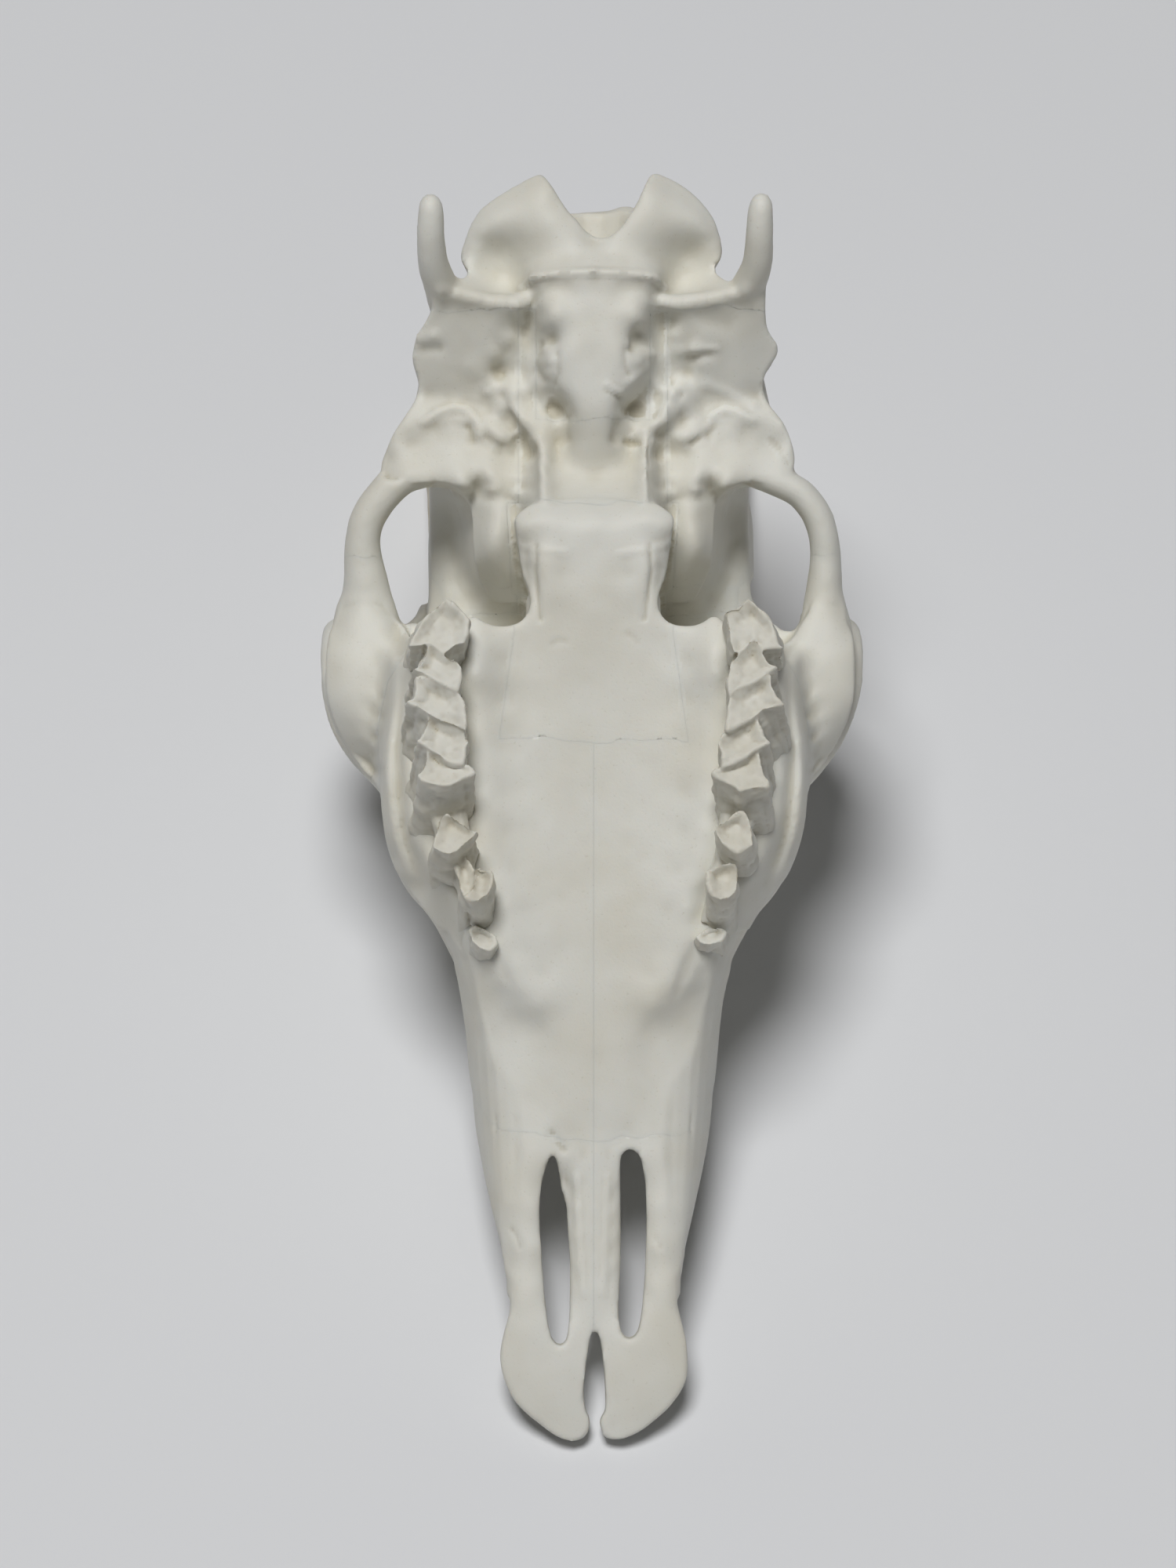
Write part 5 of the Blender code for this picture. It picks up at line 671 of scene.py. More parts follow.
PALATE_OUTLINE = (
    (0.1, 208.2), (-11.8, 207.5), (-15.6, 205.6), (-17.5, 203.8), (-17.2, 200.4), (-16.6, 196.3),
    (-15.7, 191.1), (-14.6, 188.1), (-14, 185), (-14.7, 182.4), (-16.6, 180.4), (-19.9, 179.6), (-23.6, 180.1),
    (-26.7, 181.8), (-29.1, 179.4), (-30.6, 174.2), (-30.4, 162), (-29.9, 151.6), (-29.2, 139.4),
    (-28.5, 130.7), (-26.7, 121.9), (-27.8, 114.1), (-29.3, 108.8), (-29, 103.4), (-28.3, 98.6), (-27.7, 91.9),
    (-27.5, 83.1), (-27, 74.3), (-26.4, 67.3), (-25.3, 60.4), (-24.1, 51.7), (-22.5, 43.1), (-20.9, 36.2),
    (-19.4, 31.2), (-18.5, 30), (-18.8, 26.5), (-19.7, 23.4), (-20.6, 19.3), (-20.7, 16.3), (-19.9, 12.6),
    (-18.3, 8.9), (-15.7, 5.5), (-11.5, 2), (-8.2, -0.3), (-4.9, -1.4), (-2.6, -0.9), (-1.4, 0.5), (-0.9, 2.7),
    (-1.6, 4.8), (-2, 5.9), (-2.2, 10.9), (-1.6, 16.3), (-0.7, 21.6), (-0.1, 25.2), (0.1, 27.6), (0.3, 24.5),
    (1.1, 22.5), (1.9, 18), (2.4, 12.2), (2.7, 5.5), (1.9, 4), (1.4, 2.5), (1.9, 1.1), (2.4, -0.5), (4.8, -1.1),
    (7.6, -0.5), (11.3, 1.4), (15.6, 4.9), (19, 8.9), (20.7, 12.6), (20.9, 16.6), (20.3, 22), (19.1, 26.5),
    (18.5, 30), (19.6, 31.2), (21.1, 36.2), (22.7, 43.1), (24.3, 51.7), (25.6, 60.4), (26.6, 67.3),
    (27.2, 74.3), (27.7, 83.1), (27.9, 91.9), (28.6, 98.6), (29.2, 103.4), (29.5, 108.8), (28, 114.1),
    (26.9, 121.9), (28.7, 130.7), (29.4, 139.4), (30.1, 151.6), (30.6, 162), (30.8, 174.2), (29.3, 179.4),
    (26.9, 181.8), (23.7, 180.1), (20.1, 179.6), (16.8, 180.4), (14.9, 182.4), (14.2, 185), (14.8, 188.1),
    (15.9, 191.1), (16.8, 196.3), (17.4, 200.4), (17.7, 203.8), (15.8, 205.6), (12, 207.5),
)


def palate(depths):
    relief = terrain("palate", PALATE_LEVELS, (-36, 36, -3, 212), depths)
    combine(relief, [plate("palate_outline", PALATE_OUTLINE, TRIM, steps=3)], "INTERSECT")
    return relief


# The side of the face below the orbit: the cheek, the facial crest and the ledge beside the teeth.
CHEEK_LEVELS = (
    (58.8, 180.8, -29.4), (55.7, 180.7, -26.4), (51.2, 180.7, -25.4), (46.8, 180.7, -26.4),
    (44.4, 180.8, -29.6), (59.4, 177.5, -26.8), (55.6, 177.4, -24.8), (51.1, 177.4, -24), (46.7, 177.4, -24),
    (43.7, 177.4, -25.8), (60, 173.9, -25.2), (56.3, 173.8, -23.3), (51.9, 173.8, -22.4), (47.4, 173.8, -21.6),
    (44.1, 173.7, -19.4), (42.5, 173.6, -16.6), (60.1, 169.4, -25), (57.2, 169.4, -23), (53.6, 169.3, -21.8),
    (49.5, 169.3, -20.4), (47.1, 169.3, -19), (46.2, 169.1, -17.4), (59.8, 164.4, -25), (56.6, 164.4, -22.8),
    (53, 164.4, -21.2), (49.5, 164.4, -20), (47.3, 164.2, -19.6), (58, 159.7, -26), (55.1, 159.6, -23.4),
    (51.8, 159.6, -21.8), (49, 159.6, -21.2), (47.7, 159.6, -21), (55.8, 155.3, -28), (53.2, 155.2, -25.4),
    (50.7, 155.2, -23.8), (48.7, 155, -23.6), (53.5, 151.4, -31), (51.2, 151.4, -28.2), (49.4, 151.2, -27.4),
    (51.1, 147.8, -35), (49.6, 147.8, -32.6), (39.6, 170.4, -5), (39.8, 165.5, -5), (39.8, 161.2, -5),
    (39.1, 153.3, -5), (38.8, 146.3, -5), (38.1, 139.4, -5), (35.3, 128.9, -5.4), (29.4, 121.9, -5.4),
    (27.6, 115, -5.4), (25.5, 109.7, -5.6), (27.7, 105.8, -8.4), (30.2, 176, -5), (30.2, 169, -5),
    (30.2, 162, -5), (29.3, 153.3, -5), (28.5, 144.6, -5), (27.9, 135.9, -5), (37.3, 179.6, -9),
    (34.7, 182.2, -10), (31.2, 182.7, -8), (38.6, 177, -10), (40.2, 175.3, -12), (41.3, 174.1, -14),
    (57.4, 184.5, -29.8), (54.6, 184.5, -27.4), (51.2, 184.5, -26.6), (48.2, 184.5, -27.6),
    (46.2, 184.5, -29.6), (56, 188, -29.4), (52, 188, -27), (48.5, 188, -28.6),
)

# Lines along the cheek: the foot, the shoulder and the top of the facial crest, the furrow inside it, the ledge.
CHEEK_LINES = (
    (
        (46.3, 169.6, -17.4), (46.6, 165.7, -16.8), (47, 161.3, -16), (47.6, 156.9, -15.4), (48.1, 153, -15),
        (48.4, 149.5, -14.8),
    ),
    (
        (45.8, 171, -17), (45.6, 167.8, -14.6), (45.5, 164.6, -12.4), (45.8, 161.4, -11), (46.3, 157.7, -10.2),
        (46.9, 153.7, -9.8), (47.1, 149.8, -9.6), (47.2, 145.5, -9.6), (47, 141.1, -10), (46.7, 136.7, -11.2),
        (46.1, 132.3, -13.2), (44.9, 127.9, -16.2),
    ),
    (
        (44.9, 173.1, -16), (44.7, 170.9, -14), (44.6, 168.8, -12.2), (44.3, 165.6, -9.8), (44.5, 162.4, -8.4),
        (44.8, 158.9, -7.4), (45.2, 155.1, -6.8), (45.4, 151.2, -6.5), (45.4, 147.2, -6.4), (45.3, 142.9, -6.6),
        (44.9, 138.5, -7.2), (44.3, 134.1, -8.4), (43.3, 129.7, -10.2), (41.8, 125.6, -12.8),
        (39.6, 122.1, -15.6),
    ),
    (
        (43.2, 171.2, -11.4), (43, 168.8, -9.8), (43, 166.3, -8.8), (43.1, 163.8, -8.2), (43.3, 159.5, -7.8),
        (43.7, 155.1, -7.6), (43.8, 151.2, -7.6), (43.7, 147.2, -7.6), (43.4, 142.9, -7.9), (43.2, 138.5, -8.6),
        (42.6, 134.1, -10), (41.6, 129.7, -11.6), (40.1, 125.6, -12.8), (38.2, 122.1, -14),
    ),
    (
        (42, 170.5, -7.4), (41.9, 167.3, -6.4), (42.3, 163.8, -6), (42.6, 159.4, -5.8), (42.9, 155.4, -5.6),
        (42.8, 151.6, -5.2), (42.5, 148.1, -5.2), (42.3, 144.6, -5.4), (42.1, 141.5, -5.8), (41.9, 138.3, -6.4),
        (41.4, 135.2, -7.2), (40.4, 132, -7.4), (39, 129.2, -7.6), (37.8, 126.4, -8), (36.6, 123.6, -8.2),
        (35, 120.8, -8), (33.3, 118, -8), (31.5, 115.2, -8.4), (30, 112.1, -9), (28.8, 108.9, -10),
    ),
    (
        (41, 169, -5.4), (41.2, 164.6, -5), (41.5, 159.4, -4.8), (41.7, 155.1, -4.6), (41.3, 151.6, -4.2),
        (41.3, 147.2, -4.2), (41, 142.9, -4.4), (40.7, 138.5, -5), (39.5, 134.5, -5.2), (37.5, 130.7, -4.8),
        (36.1, 126.5, -5), (34.9, 123, -5), (32.7, 120.9, -4.8), (30.7, 118.1, -5.2), (29, 114.2, -6),
        (27.6, 109.7, -6.6),
    ),
)

CHEEK_OUTLINES = {
    -1: (
        (56.4, 186), (58.2, 183), (58.8, 181.2), (59.5, 179.1), (60.1, 176.4), (60.3, 172.9), (60.4, 169.4),
        (60.2, 165.1), (59.3, 161.2), (58.1, 157.7), (56.3, 154.1), (54.2, 150.6), (51.9, 147.4), (49.7, 145),
        (47.8, 142.8), (47.4, 139.3), (46.9, 135), (46.2, 130.6), (45.2, 127.4), (43.8, 124.2), (42, 121.4),
        (39.4, 117.9), (36.8, 114.7), (34.3, 110.9), (32.7, 107.4), (30.5, 104.6), (26.6, 104.9), (23.8, 108.8),
        (24.5, 114.7), (25.5, 121.8), (26.5, 130.6), (27.2, 139.3), (27.9, 148.1), (29, 156.9), (29.7, 165.6),
        (29, 174.4), (29.3, 180.3), (31.9, 183.8), (34.2, 184.5), (37.2, 182.4), (39.1, 179.6), (40.9, 176.5),
        (41.7, 178.6), (43.2, 180.8), (45.8, 183), (47.6, 186),
    ),
    1: (
        (56.6, 186), (57.4, 183.4), (57.7, 181.2), (58.8, 179.1), (59.2, 176.4), (59.3, 172.9), (59.3, 169.4),
        (59.1, 165.1), (58.4, 161.2), (57.2, 157.7), (55.5, 154.1), (53.5, 150.6), (51.2, 147.4), (49.3, 145),
        (48.1, 142.8), (47.8, 139.3), (47.3, 135), (46.4, 130.6), (45.3, 127.4), (43.8, 124.2), (41.9, 121.4),
        (39.1, 117.9), (36.6, 114.7), (34.4, 110.9), (32.6, 107.4), (30.3, 104.6), (26.5, 104.9), (24, 108.8),
        (24.7, 114.7), (25.7, 121.8), (26.7, 130.6), (27.4, 139.3), (28.1, 148.1), (29.2, 156.9), (29.9, 165.6),
        (29.2, 174.4), (29.5, 180.3), (32, 183.8), (34.4, 184.5), (37.2, 182.8), (39.7, 180), (41.2, 176.8),
        (42.5, 175.8), (45, 177.3), (46.4, 179.4), (47.5, 181.2), (49, 183.4), (50.2, 186),
    ),
}


def cheek(side, depths):
    limits = (24, 64, 98, 192) if side > 0 else (-64, -24, 98, 192)
    points = [*CHEEK_LEVELS, *(p for line in CHEEK_LINES for p in smooth_rows(line, 4))]
    relief = terrain("cheek", points, limits, depths, step=0.8)
    trim = plate("cheek_outline", CHEEK_OUTLINES[side], TRIM, side, steps=2)
    combine(relief, [trim], "INTERSECT")
    return relief


def foramen_magnum():
    return sweep(
        "foramen_magnum",
        ((0.3, 251, -28, 7, 8), (0.3, 262, -28, 9, 9.4), (0.3, 275, -28, 10.4, 11), (0.3, 292, -28, 11.4, 12)),
    )


# The middle of the process beside the neck, from its root to its tip, and the knob of the ear region.
PROCESS_PATHS = {
    -1: ((33, 252.6), (34.2, 256.6), (35.7, 260.6), (36.2, 266), (36.1, 271), (36.3, 273.6), (36.6, 275)),
    1: ((33.6, 252.6), (35, 256.6), (36.5, 260.6), (36.8, 266), (36.9, 271), (37.2, 273.8), (37.5, 275.3)),
}
KNOBS = {-1: ((36.8, 241, -30), (4, 4.6, 6)), 1: ((37.6, 242.4, -30), (4, 4, 6))}


def fine_forms(side):
    widths = (
        (-21, 4, 4.6), (-14.8, 3.8, 4.4), (-8.6, 3.4, 4), (-3.4, 3.1, 3.5), (-0.8, 2.9, 3.1), (-0.2, 2.4, 2.6),
        (0.2, 1.1, 1.3),
    )
    path = [(x, y, *others) for (x, y), others in zip(PROCESS_PATHS[side], widths)]
    side_of_snout = ball("side_of_snout", (20.9, 62.6, -11.8), (2, 5, 2.3), side)
    return [sweep("neck_process", path, side), ball("mastoid", *KNOBS[side], side), side_of_snout]


def nuchal_crest():
    nape = (
        (0, 260.4, -62, 3, 3.2), (16, 258.4, -59, 3, 3), (27, 251.6, -50, 2.6, 3), (31.6, 243.6, -40, 2, 3),
        (30.6, 236, -34, 1, 1.4),
    )
    return sweep("nuchal_crest", [*[(-x, *others) for x, *others in reversed(nape[1:])], *nape])


def foramen_rim():
    return sweep(
        "foramen_rim",
        (
            (-14, 266, -34, 2.6, 3), (-8, 271.6, -38, 2.6, 3), (-2, 273, -41, 2.6, 3), (4, 273.4, -42, 2.6, 3),
            (9, 274, -39, 2.6, 3), (14, 268, -34, 2.6, 3),
        ),
    )


def horn_core(side):
    return sweep(
        "horn_core",
        (
            (21, 189, -72, 15, 18), (22.5, 191, -88, 15, 17.5), (24.5, 195, -103, 13.6, 15.5),
            (27.5, 202, -122, 11.4, 12.6), (31, 212, -143, 8.8, 9.4), (34.5, 224, -163, 6.2, 6.4),
            (37, 235, -178, 4.2, 4.2), (38.5, 242, -186, 2.8, 2.8),
        ),
        side,
        around=20,
        up=(0, 1, 0),
    )


# The cuts that keep a sharper edge than the hollows: first the slot through the palate on each side.
PALATE_SLOTS = {
    -1: (
        (-9.2, 62.4), (-8.3, 61.1), (-7.8, 58.9), (-7.2, 54.4), (-6.1, 50.4), (-5.6, 43.2), (-5.3, 36.5),
        (-5.4, 27.6), (-5.9, 22.2), (-6.5, 20.4), (-7.4, 19.8), (-8.5, 20.4), (-9.4, 21.8), (-10.3, 26.2),
        (-11, 32.1), (-11.7, 41), (-12, 49), (-11.7, 54.9), (-11, 58.2), (-9.9, 61.5),
    ),
    1: (
        (7.8, 63.4), (9.1, 63), (10.5, 61.5), (11.1, 58.9), (11.7, 54.9), (11.9, 47.7), (11.7, 41),
        (11.4, 34.3), (10.7, 27.6), (10, 23.5), (9.1, 21.8), (7.8, 21.2), (6.7, 21.8), (5.9, 23.5), (5.5, 27.6),
        (5.9, 36.5), (6, 45.5), (5.9, 54.4), (5.9, 60.2), (6.4, 62.5),
    ),
}


# The narrow front end of the gap inside each cheek arch, at the level of the palate. It widens evenly upwards.
ARCH_GAPS = {
    -1: (
        (-45.4, 190), (-44.2, 186), (-43.2, 183), (-42.5, 181), (-41.6, 179.6), (-40.2, 180.2), (-38.6, 181.8),
        (-36.9, 186), (-36.9, 190),
    ),
    1: (
        (35.1, 190), (35.4, 186), (36.8, 184), (38.4, 182.2), (40.2, 180.2), (41.8, 178.5), (44.6, 178.3),
        (46.2, 180.2), (46.7, 184), (47, 190),
    ),
}


def arch_gap(side):
    """The gap between two levels, wider the farther it is from the camera."""
    aim = np.array(CAMERA_AIM[:2])
    rings = []
    for z in (-116, 6):
        outline = aim + (np.array(ARCH_GAPS[side]) - aim) * (1 - z / CAMERA_DISTANCE)
        rings.append([(x, y, z) for x, y in outline])
    return skin("arch_gap", rings)


# The rounded side of the muzzle: y, half width, the height of the palate beside it, and the size of the bend.
MUZZLE_SIDES = (
    (112, 35.2, -5, 0.95), (106, 32.4, -5.2, 1), (100, 30.8, -6, 1), (94, 29.8, -8, 1), (88, 29, -8.4, 1),
    (80, 28.2, -8.2, 1), (70, 27.3, -8, 0.95), (60, 25.8, -7, 0.8), (50, 23.9, -5.5, 0.62),
    (40, 21.5, -4.4, 0.42), (34, 20, -3.7, 0.32), (28, 19.6, -3.3, 0.24), (22, 21.6, -3, 0.14),
)
MUZZLE_BEND = (
    (-13, 2), (-11, 0.7), (-9, 0), (-6.5, -1.6), (-4.5, -4.4), (-2.6, -9.3), (-1.2, -14.8), (0, -23), (1, -30),
)


def muzzle_side(side):
    """What is cut away beside the palate, so that the muzzle turns down steeply at its sides."""
    rings = []
    for y, width, z, size in MUZZLE_SIDES:
        bend = [(side * (width + size * dx), y, z + size * dz) for dx, dz in MUZZLE_BEND]
        far = side * (width + CUT_REACH)
        corners = ((far, y, bend[-1][2]), (far, y, CUT_REACH), (bend[0][0], y, CUT_REACH))
        rings.append([*bend, *corners])
    return skin("muzzle_side", rings)


def fine_cuts():
    cuts = []
    for side in SIDES:
        cuts.append(arch_gap(side))
        cuts.append(muzzle_side(side))
        cuts.append(ball("under_arch_root", (51, 211, -54), (13, 13, 16), side))
        cuts.append(plate("palate_slot", PALATE_SLOTS[side], ((-24, 0), (6, 0)), steps=2))
    return [*cuts, foramen_magnum()]


# Each cheek tooth lobe from the last molar forward: the height of its worn top, how far the foot of the lobe
# stands from under it, and the corners of the top, as x and y.
TOOTH_LOBES = {
    -1: (
        (11, (-0.5, -4.7), (-38.8, 178.8), (-36.7, 181.8), (-34.7, 183.6), (-32.6, 185.5), (-30.9, 184),
         (-28.8, 182.4), (-27.5, 180.7), (-27.8, 178), (-28.5, 175.6), (-30.5, 175), (-33, 173), (-34.7, 174.4),
         (-36.2, 175.7), (-37.9, 174.9), (-40.7, 174.9)),
        (12.6, (-1.2, -6.6), (-36.5, 175.7), (-34.6, 174.3), (-32.9, 172.8), (-30, 171.6), (-29.1, 170),
         (-29.1, 167.3), (-29.8, 164.9), (-31.9, 165.7), (-33.9, 166.8), (-36, 168), (-38.1, 169.2), (-40, 170),
         (-38.1, 170.9), (-37.2, 173.1)),
        (13.6, (-1, -8.4), (-39.1, 168.5), (-36, 167.3), (-33.9, 166.2), (-31.9, 165.2), (-29.4, 164.3),
         (-28.6, 163), (-28.2, 160), (-28.1, 156.3), (-30.1, 157.1), (-32.2, 157.8), (-34.6, 158.8),
         (-36.5, 160), (-38.4, 161.4), (-41.3, 162.8), (-39.6, 163.7), (-39.1, 165.5)),
        (14, (-1.9, -10.1), (-36.6, 159.7), (-34.6, 158.3), (-32.2, 157.3), (-30.1, 156.6), (-28.4, 155.8),
         (-27.4, 154), (-28.2, 152.8), (-28.4, 150.8), (-28.8, 148.9), (-30.8, 149.1), (-32.5, 149.7),
         (-34.2, 151.1), (-36, 152.1), (-37.3, 153.2), (-39, 154), (-37.7, 154.9), (-37, 157.3)),
        (14.4, (-1.2, -10.5), (-36.6, 152.3), (-34.6, 151.5), (-33.4, 150.3), (-31.8, 149.2), (-29.8, 148.9),
         (-27.9, 148.7), (-26.5, 147.9), (-26, 147), (-27, 146.5), (-28.7, 146.1), (-29.9, 145.1),
         (-31.5, 144.3), (-33.9, 144.3), (-36.5, 144.8), (-38, 145.5), (-38.9, 146.7), (-38, 147.7),
         (-37, 149.7)),
        (13, (-0.5, -6.6), (-34.1, 137.2), (-33.4, 137.7), (-32.4, 138.4), (-30.5, 137), (-28.6, 135.7),
         (-27.1, 134.6), (-25.7, 134.3), (-26.5, 132.9), (-27.7, 131.9), (-29.1, 131), (-30.2, 129.8),
         (-31.9, 129.1), (-33.6, 129.5), (-35.6, 130.7), (-34.8, 134)),
        (10.6, (0.5, -5.4), (-26.6, 126), (-25.7, 126.4), (-24.4, 125.7), (-22.6, 125.5), (-22.3, 124),
         (-22.6, 122.1), (-23.5, 120.2), (-25.4, 118.8), (-27.1, 119), (-28.3, 119.8), (-27.1, 121),
         (-26.4, 122.6), (-26.3, 124.5)),
        (8.6, (0.2, -5.9), (-30.6, 127.2), (-29.2, 128.6), (-27.5, 128.1), (-26.6, 126), (-26.3, 123.9),
         (-26.8, 121.5), (-28.5, 119.8), (-29.7, 121.8)),
        (0.6, (0, -1.4), (-27.7, 112.2), (-26.3, 113), (-23.9, 112), (-21.8, 110.9), (-21.3, 109.2),
         (-23.2, 107.6), (-25.2, 108.2), (-27, 109.9)),
    ),
    1: (
        (11, (0.3, -4.4), (28.5, 182.6), (30.4, 183.3), (31.9, 183.3), (32.9, 184.7), (34, 185.4),
         (35.2, 184.5), (36.4, 183), (37.7, 181.6), (39, 180.2), (39.8, 177.6), (40.3, 175.2), (41.7, 174.5),
         (39.1, 174.4), (36.9, 174), (35.3, 176.4), (34, 175.6), (32.8, 174.2), (30.5, 173.2), (29.7, 176.9)),
        (12.6, (1.2, -7.3), (29.8, 171.6), (31.5, 173.1), (33.1, 174.3), (34.3, 175.9), (35.3, 176.6),
         (36.3, 175), (37.2, 173.1), (38, 171.2), (39.9, 170.4), (37.4, 168.5), (34.8, 166.9), (32.2, 165.9),
         (30.5, 164.9), (29.5, 163.8), (29.1, 167.8)),
        (13.6, (1.7, -8.2), (29.6, 163.5), (31.3, 164.9), (33.2, 165.9), (35.3, 166.9), (37.5, 168.1),
         (38.7, 168.6), (38.9, 166.2), (39.7, 163.8), (41.4, 162.1), (39, 161.4), (36.8, 160.9), (35.6, 159.7),
         (34.1, 158.8), (32.3, 158), (30.8, 157), (28.9, 156.3), (29.1, 159.7)),
        (14, (1.6, -10.1), (27.9, 155.4), (29.6, 156.4), (31.3, 157.1), (33, 158.2), (34.6, 158.7),
         (35.8, 159.4), (36.3, 157.3), (37, 155.2), (38.5, 153.7), (36.4, 152.8), (34.6, 151.8), (32.8, 150.4),
         (31.3, 149.6), (29.6, 148.7), (27.9, 148.2), (28, 151.5), (27, 153.5)),
        (14.4, (1.7, -9.6), (25.8, 147), (26.8, 147.9), (28.5, 148.2), (30.4, 148.7), (32.3, 149.7),
         (33.7, 151.1), (35.2, 151.8), (36.1, 151.3), (36.4, 149.2), (37.3, 147), (38.2, 145.8), (38, 144.1),
         (35.6, 143.7), (33.5, 143.4), (31.8, 142.9), (30.6, 144.1), (28.9, 144.9), (27.2, 145.8)),
        (13, (1.2, -5.2), (26.3, 135.7), (27.9, 136), (29.4, 137), (31, 138.1), (32.7, 138.6), (33.7, 137.6),
         (34.4, 135.8), (34.8, 133.8), (34.8, 131.2), (32.9, 130.2), (31.3, 129.5), (29.6, 130.3),
         (27.9, 131.7), (26.7, 133.6)),
        (10.6, (0, -5.9), (24.9, 125.7), (26.4, 126.2), (28, 126.9), (29.7, 127.4), (31.1, 127.2),
         (31.7, 125.5), (31.6, 123.4), (31.1, 120.9), (29.7, 119.5), (27.6, 119.1), (25.9, 120), (24.9, 122.2)),
        (0.6, (0, -1.4), (22.6, 110.8), (25.4, 112.3), (28.4, 112.8), (29.4, 111.6), (28.2, 109.9), (25.6, 109),
         (23.5, 109.4)),
    ),
}

# The block that joins the feet of a row, as in loft, from the front.
CROWNS = (
    (114, 25.6, 2, -9, -3), (124, 28.6, 3, -9, 1), (135, 31.6, 4, -9, 3), (146, 33.4, 4.8, -9, 4.5),
    (158, 34.6, 4.8, -9, 4.5), (168, 34.4, 4.4, -9, 3.5), (174, 33, 3, -9, 0),
)

# The level of a lobe's foot, and the level at which its shift is measured. The foot is wider than the top and
# squarer, the top falls to the rear, and the cup in it has a share of its width.
TOOTH_FOOT = -11
GUM_LEVEL = -4
FOOT_SPREAD = 1.14
FOOT_SQUARENESS = 0.75
REAR_FALL = 2.2
CUP_SHARE = 0.42
CUP_DEPTH = 1.2


def teeth(side):
    """The cheek teeth as leaning lobes with cupped tops, fused low down to each other."""
    made = [loft("crowns", CROWNS, side, power=4, around=12, steps=2)]
    for height, shift, *corners in TOOTH_LOBES[side]:
        top = np.array(corners)
        half = np.ptp(top, axis=0) / 2
        middle = top.min(0) + half
        turns = np.arctan2(*((top - middle) / half).T[::-1])
        around = np.column_stack([np.cos(turns), np.sin(turns)])
        around = np.sign(around) * np.abs(around) ** FOOT_SQUARENESS
        reach = (height - TOOTH_FOOT) / (height - GUM_LEVEL)
        foot = middle + half * FOOT_SPREAD * around + np.array(shift) * reach
        fall = REAR_FALL * (top[:, 1] - middle[1] + half[1]) / (2 * half[1])
        cup = middle + (top - middle) * CUP_SHARE
        levels = ((foot, np.full(len(top), TOOTH_FOOT)), (top, height - fall), (cup, height - fall - CUP_DEPTH))
        made.append(skin("tooth", [[(*p, z) for p, z in zip(flat, heights)] for flat, heights in levels]))
    return made


def along(points, line):
    """The distance of points from a line of two or more corners, all in a plane."""
    best = np.full(len(points), 1e9)
    line = np.array(line, float)
    if len(line) == 1:
        line = np.array([line[0], line[0] + (1e-6, 0)])
    for a, b in zip(line, line[1:]):
        step = b - a
        t = np.clip(((points - a) @ step) / (step @ step), 0, 1)
        best = np.minimum(best, np.linalg.norm(points - a - t[:, None] * step, axis=1))
    return best


def grain(points, size, seed):
    """Smooth noise between -1 and 1, with lumps of a size."""
    rng = np.random.default_rng(seed)
    lattice = rng.uniform(-1, 1, (NOISE_CELLS, NOISE_CELLS, NOISE_CELLS))
    where = points / size + rng.uniform(0, NOISE_CELLS, 3)
    cell = np.floor(where).astype(int)
    part = where - cell
    part = part * part * (3 - 2 * part)
    total = np.zeros(len(points))
    for corner in np.ndindex(2, 2, 2):
        weight = np.prod(np.where(corner, part, 1 - part), axis=1)
        x, y, z = ((cell + corner) % NOISE_CELLS).T
        total += weight * lattice[x, y, z]
    return total


def noise(points, layers, shift=0):
    """Layers of noise on top of each other, with their seeds shifted."""
    return sum(height * grain(points, size, seed + shift) for height, size, seed in layers)


# The sides from which marks are seen: the two axes across, the axis of the view, and its sign, or 0 for either.
VIEWS = {"below": ((0, 1), 2, 1), "above": ((0, 1), 2, -1), "behind": ((0, 2), 1, 1), "side": ((1, 2), 0, 0)}


